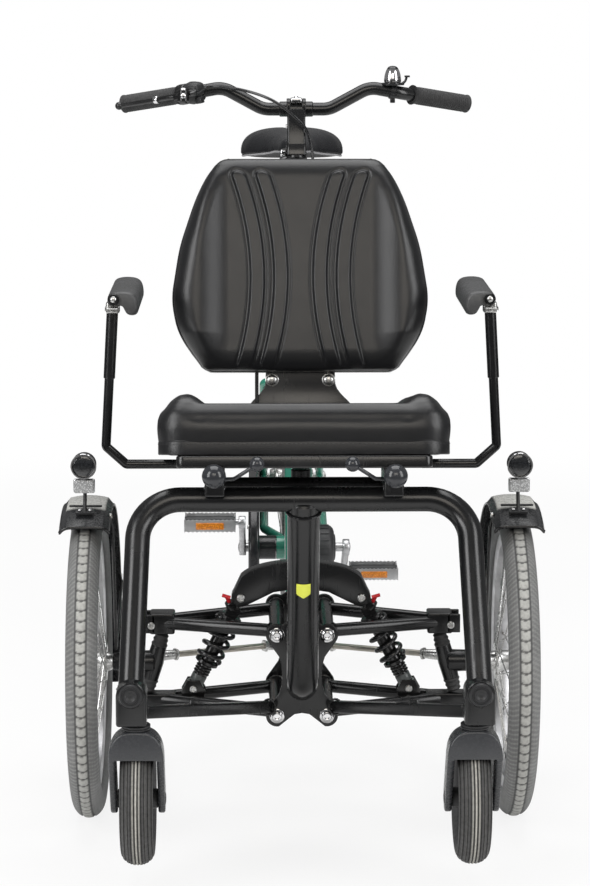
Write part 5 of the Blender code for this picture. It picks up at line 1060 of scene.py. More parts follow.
def shock(name, side):
    """A coil-over damper from the tower's tip to the lower arm, with its adjuster, collars and bare
    label."""
    tip, low = both(TIP_X, 0, TIP_Z, side), both(DAMPER_X, 0, 0.2097, side)
    axis = unit(low - tip)
    top = tip + axis * 0.0263
    collar = top + axis * 0.0088
    cap_low = collar + axis * 0.008
    spring_end = cap_low + axis * 0.076
    flange = spring_end + axis * 0.008
    body = [bar(collar, low, 0.0115, 32)]
    body.append(turned(
        [(0, 0.0165), (0.002, 0.0195), (0.0065, 0.0195), (0.008, 0.015)], collar, axis, 40
    ))
    body.append(turned(
        [(0, 0.015), (0.0015, 0.0195), (0.006, 0.0195), (0.008, 0.0165)], spring_end, axis, 40
    ))
    for at in (top, low):
        body.append(drum(-0.011, 0.011, 0.0115, 0.0012, 0.001, at, BACK, 32))
    body.append(bar(top, collar, 0.009, 24))
    rings = [
        turned(
            [(0, 0.0128), (0.0016, 0.0138), (0.0032, 0.0128)], flange + axis * (0.004 + 0.005 * k),
            axis, 32,
        )
        for k in range(3)
    ]
    ears = []
    for y in (-0.0135, 0.0135):
        outline = np.array([
            (-0.016, -0.02), (0.016, -0.02), (0.02, -0.004), (0.01, 0.014), (-0.01, 0.014),
            (-0.02, -0.004),
        ])
        ears.append(slab(outline, -0.0018, 0.0018, 0.0006, frame_at(low + (0, y, 0), RIGHT, UP)))
    wire_path = coil(cap_low + axis * 0.0037, spring_end - axis * 0.0037, 0.0196, 4.6)
    piece(
        "coil_" + name, pipe(wire_path, 0.0036, 14), "frame", SPRING_PAINT, ("spring_" + name,), 60
    )
    sleeve = drum(0, 0.013, 0.0125, 0.0005, 0.0003, flange + axis * 0.02, axis, 36)
    piece("shock_label_" + name, sleeve, "frame", LABEL)
    knob = both(0.1215, -0.018, 0.3655, side)
    stem = bar(both(0.1165, -0.01, 0.353, side), knob, 0.003, 16)
    head = bar(knob + (-0.0068, 0, -0.002 * side), knob + (0.0068, 0, 0.002 * side), 0.003, 16)
    pot = bar(both(0.112, -0.006, 0.3425, side), both(0.1165, -0.01, 0.3555, side), 0.0085, 28)
    piece("shock_" + name, [*body, *rings, *ears, pot], "frame", SATIN, ("damper_" + name,))
    piece("shock_adjuster_" + name, [stem, head], "frame", RED)
    pins = [
        bolt(low + (0, -0.0155, 0), FRONT, 0.0062, 0.004),
        nut(low + (0, 0.0155, 0), BACK, 0.0075, 0.005),
    ]
    pins += [
        washer(flange + axis * 0.036, axis, 0.0142, 0.003),
        washer(flange + axis * 0.042, axis, 0.013, 0.002),
    ]
    piece("shock_pins_" + name, pins, "frame", ZINC)


def coil(start, end, radius, turns):
    """A helix whose end turns lie flat: its rise holds still for the first and last tenth."""
    axis, side, up = square_to(end - start)
    share = np.linspace(0, 1, int(turns * 26))
    rise = np.linalg.norm(end - start) * ramp(share, 0.1, 0.9)
    turn = 2 * math.pi * turns * share
    return start + rise[:, None] * axis + radius * (
        np.cos(turn)[:, None] * side + np.sin(turn)[:, None] * up
    )


front_frame()
spine()
for name, side in SIDES.items():
    arms(name, side)
    shock(name, side)

# Steering knuckles, tie rods and front mudguards

COLUMN = unit((0, 0.348, 0.883))
COLUMN_BACK = np.array((0, COLUMN[2], -COLUMN[1]))
LEVER_Z, LEVER_REACH, BALL_X = 0.222, 0.0511, 0.0184
ROD_X, ROD_Y, ROD_Z = 0.249, 0.111, 0.212


def column_at(z):
    """The point of the steering column's axis at a height."""
    share = (z - LEVER_Z) / 0.883
    return np.array((0, 0.2 + 0.348 * share, z))


def lever_ball(side):
    """The ball's place on an ear of the drop lever."""
    return column_at(LEVER_Z) + COLUMN_BACK * LEVER_REACH + (side * BALL_X, 0, 0)

def knuckle(name, side):
    """A leaning upright bar with a boot at each end, a stub axle outwards and a tapered steering
    arm backwards."""
    body = "knuckle_" + name
    top, low = both(0.229, 0, 0.29, side), both(0.249, 0, 0.214, side)
    along = unit(low - top)
    centre = both(0.23874, 0, FRONT_RADIUS, side)
    boots = []
    for at, way in ((top, 1), (low, -1)):
        profile = [
            (-0.011, 0.0085), (-0.008, 0.0115), (-0.004, 0.0105), (0.0, 0.0125), (0.004, 0.0112),
            (0.008, 0.0135), (0.011, 0.0125),
        ]
        boots.append(turned(profile, at, along * way, 32))
    upright = pipe([top + along * 0.006, centre, low - along * 0.006], (0.0125, 0.0145, 0.0125), 32)
    stub = pipe(
        [centre, both(0.275, 0, FRONT_RADIUS, side), both(0.3073, 0, FRONT_RADIUS, side)],
        (0.0185, 0.0175, 0.0138), 36,
    )
    arm_path = bend(
        [
            both(0.2435, 0.002, 0.2335, side), both(0.246, 0.055, 0.222, side),
            both(ROD_X, ROD_Y, ROD_Z, side),
        ],
        0.05, 6,
    )
    arm = pipe(arm_path, np.linspace(0.0092, 0.0066, len(arm_path)), 20)
    eye = drum(-0.008, 0.008, 0.0092, 0.0015, 0.0014, both(ROD_X, ROD_Y, 0.2125, side), UP, 28)
    piece("knuckle_dress_" + name, [upright, stub, arm, eye], body, GLOSS, ("knuckle_" + name,))
    piece("kingpin_boots_" + name, boots, body, RUBBER)
    axle = bar(both(0.3, 0, FRONT_RADIUS, side), both(0.376, 0, FRONT_RADIUS, side), 0.0062, 20)
    end = nut(both(0.3722, 0, FRONT_RADIUS, side), (side, 0, 0), 0.0095, 0.006)
    disc = washer(both(0.3716, 0, FRONT_RADIUS, side), (side, 0, 0), 0.0125, 0.0014)
    stud = nut(both(ROD_X, ROD_Y, 0.204, side), -UP, 0.0078, 0.0065)
    piece("axle_ends_" + name, [axle, end, disc, stud], body, ZINC)


def tie_rod(name, side):
    """A thin rod with a ball joint's housing at each end, screwed into a clevis with a lock nut."""
    start = lever_ball(side) + COLUMN * 0.0161
    end = both(ROD_X, ROD_Y, ROD_Z + 0.0205, side)
    along = unit(end - start)
    housing = []
    for at, axis in ((start, COLUMN), (end, UP)):
        profile = [
            (-0.008, 0.0085), (-0.007, 0.0105), (0.004, 0.0115), (0.0068, 0.0098), (0.008, 0.006)
        ]
        housing.append(turned(profile, at, axis, 32))
    sleeves = []
    for at, way in ((start, 1), (end, -1)):
        near, far = at + along * way * 0.008, at + along * way * 0.045
        sleeves.append(pipe([near, near + (far - near) * 0.25, far], (0.0075, 0.0092, 0.0078), 20))
        sleeves.append(turned([(0, 0.0105), (0.004, 0.0105), (0.005, 0.0095)], far, along * way, 6))
    rod = bar(start + along * 0.03, end - along * 0.03, 0.0052, 20)
    body = "tie_rod_" + name
    piece("tie_rod_shaft_" + name, rod, body, BRONZE, ("tie_rod_" + name,))
    piece("tie_rod_ends_" + name, [*housing, *sleeves], body, ZINC)


def guard_shell(centre, radius, width, lip, drop, start, end, steps=72, flap=180):
    """A mudguard as a grid of (angle, place across): a shallow crown, then lips that turn down and
    out. It is a closed skin: the same section again, a wall's thickness nearer the axle."""
    angle = np.radians(np.linspace(start, end, steps))[:, None]
    across = np.linspace(-1, 1, 41)
    share = np.abs(across)
    half = width / 2 / 0.82
    x = np.sign(across) * np.where(
        share < 0.82, share * half, width / 2 + (share - 0.82) / 0.18 * (lip - width) / 2
    )
    crown = 0.004 * (1 - (share / 0.82) ** 2)
    r = radius + np.where(share < 0.82, crown, -drop * ramp(share, 0.82, 1) ** 0.8)
    outer = around(centre, x[None], r[None], angle)
    inner = around(centre, x[None, ::-1], r[None, ::-1] - 0.0022, angle)
    shape = skin(np.concatenate([outer, inner], 1))
    edge = ramp(share, 0.8, 0.83)
    mask = np.tile(np.concatenate([edge, np.ones_like(edge)]), (steps, 1))
    mask[np.degrees(angle[:, 0]) > flap] = 1
    return shape, mask.ravel()


def front_guard(name, side):
    """A front mudguard's shell with a bead round its hem, two bent stays and their screws."""
    body = "knuckle_" + name
    centre = both(TRACK, 0, FRONT_RADIUS, side)
    front_end, rear_end, hem_half = 24, -112, 0.039
    radius = FRONT_RADIUS + 0.014 + 0.0012
    shape, mask = guard_shell(centre, radius, 0.062, 0.078, 0.01, front_end, rear_end, flap=11.5)
    piece("guard_" + name, shape, body, GUARD_SKIN, ("mudguard_" + name,), 50, masks={"lip": mask})
    front = around(
        centre, np.linspace(-hem_half, hem_half, 25),
        radius + 0.001 - 0.01 * np.abs(np.linspace(-1, 1, 25)) ** 6, np.radians(front_end),
    )
    hem = [sweep(front, circle(10) * (0.0028, 0.0028))]
    for s in (-1, 1):
        angle = np.radians(np.linspace(front_end, rear_end, 60))
        line = around(centre, np.full(60, s * hem_half), radius - 0.011, angle)
        hem.append(sweep(line, circle(8) * 0.0017))
    stays, bright = [], []
    foot = both(0.302, 0, 0.2736, side)
    for degrees in (12, -70):
        end = around(centre, -side * 0.0375, radius - 0.009, math.radians(degrees))
        knee = end + unit(foot - end) * 0.02 + np.array((-side * 0.004, 0, 0))
        stays.append(pipe(bend([foot, knee, end], 0.01, 4), 0.0026, 12))
        bright.append(bolt(end + np.array((-side * 0.0015, 0, 0)), (-side, 0, 0), 0.0042, 0.003))
    piece("guard_trim_" + name, [*hem, *stays], body, SATIN)
    piece("guard_screws_" + name, bright, body, ZINC)


def lamp(name, side):
    """The lamp is a finned shell turned about its axis, on a bent stem over the mudguard, with a
    square reflector."""
    body = "knuckle_" + name
    x = TRACK * side
    guard_top, lamp_y = 0.2752, -0.08
    foot = np.array((x, lamp_y, FRONT_RADIUS + math.sqrt(guard_top**2 - lamp_y**2)))
    normal = unit((0, lamp_y, foot[2] - FRONT_RADIUS))
    head = np.array((x, lamp_y, 0.5955))
    shell = [
        (-0.022, 0.009), (-0.0205, 0.0125), (-0.012, 0.0165), (0.004, 0.0185), (0.016, 0.019),
        (0.019, 0.019),
    ]
    fins = [
        turned(
            [(0, 0.0178), (0.001, 0.0192), (0.002, 0.0178)], head + (0, 0.004 - 0.004 * k, 0),
            FRONT, 40,
        )
        for k in range(3)
    ]
    stem = pipe(
        bend([foot + normal * 0.002, foot + (0, 0.01, 0.028), head + (0, 0.012, -0.012)], 0.008, 5),
        0.003, 16,
    )
    base = brick(
        (0.03, 0.012, 0.004), foot + normal * 0.002, 0.0012, RIGHT, np.cross(normal, RIGHT)
    )
    strap = brick((0.052, 0.005, 0.003), foot + (0, 0.022, 0.0072), 0.0008, RIGHT, BACK)
    piece(
        "lamp_body_" + name, [turned(shell, head, FRONT, 40), stem, base, strap, *fins], body,
        MOULDED, ("lamp_" + name,),
    )
    rim = turned(
        [(0.0165, 0.0196), (0.0215, 0.0205), (0.0222, 0.02), (0.0222, 0.0182), (0.0195, 0.0176)],
        head, FRONT, 48,
    )
    screws = [
        bolt(foot + normal * 0.0055 + (s * 0.008, 0, 0), normal, 0.0028, 0.002) for s in (-1, 1)
    ]
    piece("lamp_rim_" + name, [rim, *screws], body, CHROME)
    angle = np.linspace(math.radians(8), math.radians(90), 12)
    glass = np.stack([0.0185 + 0.004 * np.sin(angle), 0.018 * np.cos(angle) + 0.0002], -1)
    piece("lamp_glass_" + name, turned(glass, head, FRONT, 40), body, DARK_LENS)
    box_at = head + (0, -0.012, -0.0335)
    piece(
        "lamp_reflector_" + name, brick((0.032, 0.021, 0.008), box_at, 0.003, RIGHT, UP), body,
        WHITE_LENS,
    )
    back = brick((0.034, 0.023, 0.006), box_at + (0, 0.005, 0), 0.003, RIGHT, UP)
    piece("lamp_bracket_" + name, back, body, CHROME)


for name, side in SIDES.items():
    knuckle(name, side)
    tie_rod(name, side)
    front_guard(name, side)
    lamp(name, side)

# Seat and armrests

CLOTH_FRAMES = 20
SEAT_LOW, SEAT_TOP = 0.636, 0.655
SEAT_LEAN = math.radians(10)
BACKREST_HEIGHT, BACKREST_HALF, EDGE_ROLL = 0.348, 0.208, 0.034


def leaning():
    """The seat's lean: a turn of 10 degrees about X through the lower front edge of its plate."""
    c, s = math.cos(-SEAT_LEAN), math.sin(-SEAT_LEAN)
    turn = np.array([(1, 0, 0, 0), (0, c, -s, 0), (0, s, c, 0), (0, 0, 0, 1)], float)
    edge = np.array((0, -0.34, SEAT_LOW))
    turn[:3, 3] = edge - turn[:3, :3] @ edge
    return turn


LEAN = leaning()


def leant(point):
    """A place of the level seat, taken to the leaning one."""
    return LEAN[:3, :3] @ np.asarray(point, float) + LEAN[:3, 3]


def seat_frame():
    """The seat's plate and its clamps are blocks that lean with the seat; the knobs are balls on
    bars."""
    plate = slab(
        oval(0.384, 0.4, 0.012), SEAT_LOW, SEAT_TOP, 0.003, frame_at((0, -0.14, 0), RIGHT, BACK)
    )
    parts = [plate]
    for side in SIDES.values():
        parts.append(brick((0.024, 0.112, 0.0655), both(0.135, -0.194, 0.6128, side), 0.003))
        parts.append(brick((0.03, 0.062, 0.05), both(0.135, -0.277, 0.618, side), 0.004))
    parts = [moved(part, LEAN) for part in parts]
    parts.append(bar((-0.141, -0.15, 0.575), (0.141, -0.15, 0.575), 0.012, 28))
    piece("seat_frame_dress", parts, "frame", SATIN, ("seat_plate",))
    heads = [
        bolt(both(x, -0.2985, 0.5985, side), (0, -1, 0.1), 0.0052, 0.0042)
        for side in SIDES.values()
        for x in (0.124, 0.146)
    ]
    piece("seat_clamp_bolts", heads, "frame", CHROME)
    for name, side in SIDES.items():
        at = leant(both(0.135, -0.36, 0.6243, side))
        root = leant(both(0.135, -0.309, 0.6243, side))
        way = unit(at - root)
        collar = turned([(0, 0.011), (0.006, 0.0102), (0.011, 0.0078)], root + way * 0.014, way, 28)
        ball = join(globe(at, 0.018, 40), bar(root, at, 0.0052, 20), collar)
        piece("clamp_ball_" + name, ball, "frame", KNOB_SKIN, ("clamp_knob_" + name,))
        small, far = both(0.071, -0.362, 0.646, side), both(0.105, -0.35, 0.622, side)
        rod = pipe(bend([small, far, both(0.122, -0.325, 0.616, side)], 0.01, 5), 0.003, 14)
        piece("clamp_lever_" + name, [globe(small, 0.0114, 28), rod], "frame", KNOB_SKIN)


def upholster(name, shape, finish, node, voxel, pressure, cap):
    """A padded piece: the shape remeshed, blown up as cloth, each point held within a cap of its
    start."""
    made = piece(name, shape, "frame", finish, (node,))
    made.parent = None
    remesh = made.modifiers.new("cells", "REMESH")
    remesh.mode, remesh.voxel_size = "VOXEL", voxel
    bake(made)
    start = points_of(made)
    cloth = made.modifiers.new("cloth", "CLOTH")
    woven = cloth.settings
    woven.quality, woven.use_pressure, woven.uniform_pressure_force = 4, True, pressure
    woven.tension_stiffness = woven.compression_stiffness = 18
    woven.shear_stiffness, woven.bending_stiffness = 8, 1.2
    woven.effector_weights.gravity = 0
    cloth.point_cache.frame_start, cloth.point_cache.frame_end = 1, CLOTH_FRAMES
    for step in range(1, CLOTH_FRAMES + 1):
        bpy.context.scene.frame_set(step)
    bake(made)
    bpy.context.scene.frame_set(1)
    shift = points_of(made) - start
    length = np.linalg.norm(shift, axis=1, keepdims=True)
    shift *= np.minimum(1, cap / np.maximum(length, 1e-9))
    made.data.vertices.foreach_set("co", (start + shift).ravel())
    soft = made.modifiers.new("soft", "SUBSURF")
    soft.levels = soft.render_levels = 1
    made.data.shade_smooth()
    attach(made, "frame")
    return made


def points_of(made):
    """A piece's points as rows of an array."""
    points = np.empty(len(made.data.vertices) * 3)
    made.data.vertices.foreach_get("co", points)
    return points.reshape(-1, 3)


def bake(made):
    """Works out the piece's modifiers into its mesh."""
    ready = made.evaluated_get(bpy.context.evaluated_depsgraph_get())
    mesh = bpy.data.meshes.new_from_object(ready)
    made.modifiers.clear()
    made.data = mesh


def cushion_height(u, v):
    """The seat cushion's top over (across, back), both from -1 to 1: two round bolsters near the
    sides that die out at the front, a hollow between them, and an edge rolled down at the front and
    the back."""
    bolster = 0.024 * np.clip(
        1 - ((np.abs(u) - 0.8) / 0.15) ** 2, 0, 1
    ) * ramp(v, -0.99, -0.77) ** 0.5
    hollow = -0.005 * np.clip(1 - (u / 0.66) ** 2, 0, 1) * ramp(v, -0.95, -0.55)
    roll = -0.01 * ramp(-v, 0.84, 1) ** 2
    rear = -0.01 * ramp(v, 0.8, 1) ** 2
    return bolster + hollow + roll + rear


def seat_cushion():
    """A closed skin: rounds of a rounded rectangle from the underside out over the side and up to
    the top. The stitched skirt is a flat band carried round the foot of the cushion."""
    centre = np.array((0, -0.143, 0))
    low, high = 0.6558, 0.724
    half_x, half_y = 0.222, 0.196
    outline = oval(2.0, 2.0, 0.2, 16)
    steps = [
        (0.02, low), (0.5, low), (0.93, low), (0.965, low + 0.002), (0.982, low + 0.008),
        (0.986, low + 0.018),
    ]
    steps += [
        (0.992, low + 0.03), (0.996, low + 0.042), (0.992, low + 0.053), (0.978, low + 0.063),
        (0.952, high - 0.0025),
    ]
    steps += [(share, high) for share in (0.91, 0.86, 0.8, 0.74, 0.66, 0.55, 0.4, 0.22, 0.03)]
    rings = []
    for share, level in steps:
        flat = outline * share
        lift = cushion_height(flat[:, 0], flat[:, 1]) * ramp(level, low + 0.034, low + 0.068)
        rings.append(
            np.stack([flat[:, 0] * half_x, flat[:, 1] * half_y, level + lift], -1) + centre
        )
    shape = moved(skin(np.array(rings)), LEAN)
    made = upholster("seat_cushion_cover", shape, HIDE_BLACK, "seat_cushion", 0.005, 1.2, 0.001)
    path = oval(0.436, 0.384, 0.043, 14)
    path = np.stack([path[:, 0], path[:, 1], np.full(len(path), low + 0.0105)], -1) + centre
    band = sweep(path, oval(0.0042, 0.0205, 0.0018, 5), RIGHT, closed=True)
    welt = sweep(path + (0, 0, 0.0108), circle(10) * 0.0017, RIGHT, closed=True)
    piece("seat_skirt", moved(join(band, welt), LEAN), "frame", HIDE_BLACK, (), 50)
    stitches("seat_stitches", path + (0, 0, 0.0062), 0.0022, LEAN)


def stitches(name, path, out, place):
    """A row of short threads along a closed path: the path is measured and a thread laid every 7 mm
    of it."""
    step = np.roll(path, -1, 0) - path
    length = np.concatenate([[0], np.cumsum(np.linalg.norm(step, axis=1))])
    loop = np.concatenate([path, path[:1]])
    at = np.arange(0.003, length[-1], 0.007)
    start = np.stack([np.interp(at, length, loop[:, k]) for k in range(3)], -1)
    end = np.stack([np.interp(at + 0.0044, length, loop[:, k]) for k in range(3)], -1)
    along = unit(end - start)
    side = np.cross(along, UP)
    middle = (start + end) / 2 + side * out
    ring = circle(6) * 0.00055
    rings = []
    for share, wide in ((-1, 0.5), (-0.6, 1.0), (0.6, 1.0), (1, 0.5)):
        flat = middle[:, None] + along[:, None] * 0.0022 * share
        rings.append(flat + wide * (ring[None, :, :1] * side[:, None] + ring[None, :, 1:] * UP))
    rings = np.stack(rings, 1)
    threads = [skin(row) for row in rings]
    piece(name, moved(join(*threads), place), "frame", THREAD, (), 60)


def backrest_half_width(v):
    """Half width over height: a polygon of shares, rounded by running it through a short
    average."""
    heights = np.array((
        0, 0.006, 0.018, 0.05, 0.18, 0.34, 0.59, 0.82, 0.94, 0.968, 0.988, 0.997, 1.0
    ))
    widths = np.array((
        0.7, 0.735, 0.765, 0.805, 0.95, 1.0, 0.935, 0.81, 0.71, 0.674, 0.63, 0.595, 0.56
    ))
    spread_out = [
        np.interp(np.clip(v + step, 0, 1), heights, widths) for step in np.linspace(-0.06, 0.06, 13)
    ]
    near_end = np.clip(np.minimum(v, 1 - v) / 0.09, 0, 1)
    return (
        np.mean(spread_out, axis=0) * near_end + np.interp(v, heights, widths) * (1 - near_end)
    ) * BACKREST_HALF


def rib_height(x, v):
    """Two pairs of flat-topped welts with round ends that bow in towards the middle: each is high
    where the distance to its bowed line is under 12.5 mm, and a shallow groove runs round its
    foot."""
    made = np.zeros_like(x)
    t = (v - 0.04) / 0.86
    beyond = np.maximum(np.maximum(v - 0.9, 0.03 - v), 0) * BACKREST_HEIGHT
    for low, middle, high in ((0.0515, 0.032, 0.0595), (0.0892, 0.07, 0.0985)):
        line = (
            low * (t - 0.395) * (t - 1) / 0.395 + middle * t * (1 - t) / (0.395 * 0.605) + high * t
            * (t - 0.395) / 0.605
        )
        gap = np.hypot(np.abs(x) - line, beyond)
        edge = ramp(-gap, -0.0128, -0.0088)
        made = made + 0.006 * eased(edge)
        made = made - 0.0016 * np.exp(-(((gap - 0.0145) / 0.0022) ** 2))
    return made * ramp(v, 0.004, 0.034)


def backrest():
    """The cushion is a grid of (across, up) in front of the shell's plane: a dome whose edges roll
    back to the shell as quarter circles, with side wings that stand forward of the ribbed
    middle."""
    low, top = np.array((0, 0.062, 0.723)), np.array((0, 0.15, 1.06))
    along = top - low
    out = unit((0, -along[2], along[1]))
    rows, columns = 190, 290
    v = (0.5 - 0.5 * np.cos(np.linspace(0, math.pi, rows)))[:, None]
    u = np.sin(np.linspace(
        -math.pi / 2, math.pi / 2, columns
    ))[None] * 0.5 + np.linspace(-1, 1, columns)[None] * 0.5
    half = backrest_half_width(v)
    x = u * half
    edge = np.clip((half - np.abs(x)) / EDGE_ROLL, 0, 1)
    edge_v = np.clip(np.minimum(v, 1 - v) * BACKREST_HEIGHT / EDGE_ROLL, 0, 1)
    roll = rounded(edge) * rounded(edge_v)
    wing = ramp(np.abs(x), 0.1125, 0.1705)
    wings = 0.016 * eased(wing) * (ramp(v, 0.02, 0.17) * ramp(-v, -0.985, -0.845)) ** 0.7
    swell = 0.003 * (1 - u**2) * (1 - (2 * v - 1) ** 2)
    depth = 0.01 + (0.0195 + wings + swell + rib_height(x, v)) * roll
    front = low + along * v[..., None] + out * depth[..., None]
    front[..., 0] += x
    u_back = np.linspace(1, -1, 24)[None]
    back = low + along * v[..., None] + out * np.full((rows, 24, 1), 0.0008)
    back[..., 0] += u_back * half * 0.985
    cover = piece(
        "backrest_cover", skin(np.concatenate([front, back], 1)), "frame", HIDE_BLACK,
        ("backrest_cushion",), 70,
    )
    v = np.linspace(-0.004, 1.004, 90)[:, None]
    half = backrest_half_width(np.clip(v, 0, 1)) * 1.004
    right_side = [
        (0.994, 0.006), (1.006, 0.004), (1.01, -0.004), (1.0, -0.009), (0.96, -0.0118),
        (0.5, -0.012), (0.0, -0.012),
    ]
    front_side = [(0.5, -0.0002), (0.98, -0.0002), (0.99, 0.0055)]
    section = [(-s, d) for s, d in reversed(front_side)] + front_side + right_side
    section = np.array(section + [(-s, d) for s, d in reversed(right_side[:-1])])
    points = low + along * v[..., None] + out * section[None, :, 1:2]
    points[..., 0] += section[None, :, 0] * half
    piece("backrest_shell_dress", skin(points), "frame", SHINY, ("backrest_shell",))
    bracket(low, along, out)


def bracket(low, along, out):
    """The backrest's plate is a flat oval carried up from the seat plate's back face, narrowing on
    its way."""
    start = low + out * -0.0126
    foot, ledge = leant((0, 0.0605, SEAT_LOW)), leant((0, 0.0605, SEAT_TOP))
    end = start + unit(along) * 0.15
    back = -out * 0.004
    rise, climb = start - ledge, end - start
    path = [
        (foot, 0.173), (foot + (ledge - foot) * 0.06, 0.175), (ledge, 0.175),
        (ledge + rise * 0.1, 0.174),
    ]
    flare = (
        (0.3, 0.1745), (0.45, 0.1735), (0.56, 0.1705), (0.61, 0.166), (0.655, 0.156), (0.7, 0.143),
        (0.75, 0.1305),
    )
    flare += ((0.8, 0.1205), (0.86, 0.1145))
    path += [(ledge + rise * share, width) for share, width in flare] + [(start, 0.113)]
    path += [(start + climb * 0.3, 0.1125), (end - climb * 0.03, 0.112), (end, 0.108)]
    rings = []
    for place, width in path:
        flat = oval(width, 0.0078, 0.0018, 4)
        rings.append(place + back + flat[:, :1] * RIGHT - flat[:, 1:] * out)
    piece("backrest_plate", skin(np.array(rings)), "frame", SATIN, ("backrest_bracket",))
    at = ledge + rise * 0.905
    heads = []
    for side in SIDES.values():
        heads.append(dome(at + (side * 0.0464, 0.0006, 0), (0, -1, 0.12), 0.009, 0.0048, 32))
        heads.append(washer(at + (side * 0.0464, 0.0008, 0), (0, -1, 0.12), 0.0108, 0.0012))
        heads.append(nut(at + (side * 0.0464, 0.0076, 0), (0, 1, -0.12), 0.0085, 0.006))
        for share in (0.22, 0.8):
            heads.append(bolt(
                start + climb * share - out * 0.0078 + (side * 0.038, 0, 0), -out, 0.0078, 0.0042
            ))
        for share in (0.25, 0.75):
            heads.append(dome(
                foot + (ledge - foot) * 0.5 - out * 0.0078 + (side * 0.075 * (share + 0.15), 0, 0),
                -out, 0.006, 0.0032,
            ))
    piece("backrest_bolts", heads, "frame", ZINC)
    line = [
        ledge + (-0.071, -0.003, 0.004), at + (-0.0712, -0.0035, 0),
        start + (-0.0705, -0.001, 0.006), start + (-0.068, 0.006, 0.02),
    ]
    strap = sweep(smooth_path(line, 24), oval(0.006, 0.0014, 0.0006, 4), RIGHT)
    piece("backrest_strap", strap, "frame", SHINY)


def softened(outline, times=3):
    """A polygon whose corners are cut off again and again, each side keeping its middle half."""
    outline = np.asarray(outline, float)
    for _ in range(times):
        ahead = np.roll(outline, -1, 0)
        outline = np.stack(
            [0.75 * outline + 0.25 * ahead, 0.25 * outline + 0.75 * ahead], 1
        ).reshape(-1, 2)
    return outline


def armrest(name, side):
    """The post is a bent pipe in a sleeve; the pad is a section that rolls over inwards, carried
    from front to back and drawn in at its ends as a quarter circle."""
    root = leant(both(0.1924, -0.042, 0.641, side))
    y = root[1]
    knee, top = both(0.312, y, 0.618, side), both(0.299, y, 0.842, side)
    tube = pipe(bend([root, both(0.28, y, root[2], side), knee, top], 0.006, 4), 0.0075, 24)
    way = unit(top - knee)
    low = knee + way * 0.11
    parts = [tube, pipe([low, top], 0.0092, 28, 0.1)]
    parts.append(pipe(
        [both(0.2965, -0.0735, 0.857, side), both(0.2965, 0.14, 0.857, side)], 0.0092, 28
    ))
    piece("armrest_tube_" + name, parts, "frame", GLOSS, ("armrest_" + name,))
    fittings = [brick((0.0215, 0.024, 0.017), both(0.2985, y, 0.8415, side), 0.004)]
    fittings.append(bolt(both(0.2985, y - 0.012, 0.84, side), FRONT, 0.005, 0.0035))
    fittings.append(brick(
        (0.0215, 0.003, 0.017), both(0.2985, -0.0715, 0.8425, side), 0.003, RIGHT, UP
    ))
    fittings.append(dome(both(0.2965, -0.0738, 0.857, side), FRONT, 0.0052, 0.003))
    piece("armrest_fittings_" + name, fittings, "frame", ZINC)
    corners = [
        (0.028, -0.004), (0.026, 0.012), (0.01, 0.0175), (-0.016, 0.0165), (-0.028, 0.008),
        (-0.031, -0.014), (-0.026, -0.025),
    ]
    corners += [(-0.01, -0.025), (-0.0035, -0.014), (0.0, -0.0075), (0.022, -0.0085)]
    section = softened(corners) * (0.86, 0.92) + (-0.003, -0.002)
    inner = section.mean(0)
    t = np.unique(np.concatenate([
        np.linspace(0, 0.06, 7), np.linspace(0.06, 0.94, 26), np.linspace(0.94, 1, 7)
    ]))
    ends = np.clip(np.minimum(t, 1 - t) / 0.055, 0, 1)
    size = 0.72 + 0.28 * rounded(ends)
    flat = inner + (section - inner) * size[:, None, None]
    rings = np.empty((len(t), len(section), 3))
    rings[..., 0] = (0.286 + flat[..., 0]) * side
    rings[..., 1] = (-0.07 + 0.22 * t)[:, None]
    rings[..., 2] = 0.8555 + flat[..., 1]
    pad = piece("arm_pad_" + name, skin(rings), "frame", FOAM, ("armrest_pad_" + name,), 60)


seat_frame()
seat_cushion()
backrest()
for name, side in SIDES.items():
    armrest(name, side)

# Steering column, bar and controls


def column():
    """The steering column is a leaning bar; the drop lever at its foot is an outline with two round
    ears."""
    shaft = pipe([column_at(0.196), column_at(1.044)], 0.0135, 32)
    turn = np.radians(np.linspace(-45, 90, 10))
    edge = 0.013
    right = np.stack([BALL_X + edge * np.cos(turn), LEVER_REACH + edge * np.sin(turn)], -1)
    left = np.stack(
        [-BALL_X - edge * np.cos(turn[::-1]), LEVER_REACH + edge * np.sin(turn[::-1])], -1
    )
    base = np.radians(np.linspace(225, 315, 8))
    root = np.stack([0.0203 * np.cos(base), 0.0203 * np.sin(base)], -1)
    place = np.eye(4)
    place[:3, 1], place[:3, 2], place[:3, 3] = COLUMN_BACK, COLUMN, column_at(LEVER_Z)
    lever = slab(np.concatenate([right, left, root]), -0.022, -0.012, 0.002, place)
    collar = drum(0, 0.016, 0.0195, 0.002, 0.002, column_at(0.601), COLUMN, 40)
    piece("column_dress", [shaft, lever, collar], "steering", GLOSS, ("steering_column",))
    studs = []
    for side in SIDES.values():
        at = lever_ball(side)
        studs.append(globe(at, 0.0075, 28))
        studs.append(bar(at - COLUMN * 0.013, at, 0.0045, 18))
        studs.append(nut(at - COLUMN * 0.022, -COLUMN, 0.0072, 0.006))
    piece("lever_studs", studs, "steering", ZINC)


STEM_Y = 0.548


def bar_points():
    """The corners of the handlebar's centre line, from the right end to the left."""
    half = [
        (0.0587, STEM_Y, 1.1223), (0.1303, 0.55, 1.1607), (0.185, 0.556, 1.1505),
        (0.307, 0.633, 1.1277),
    ]
    return np.array([(-x, y, z) for x, y, z in reversed(half)] + half)


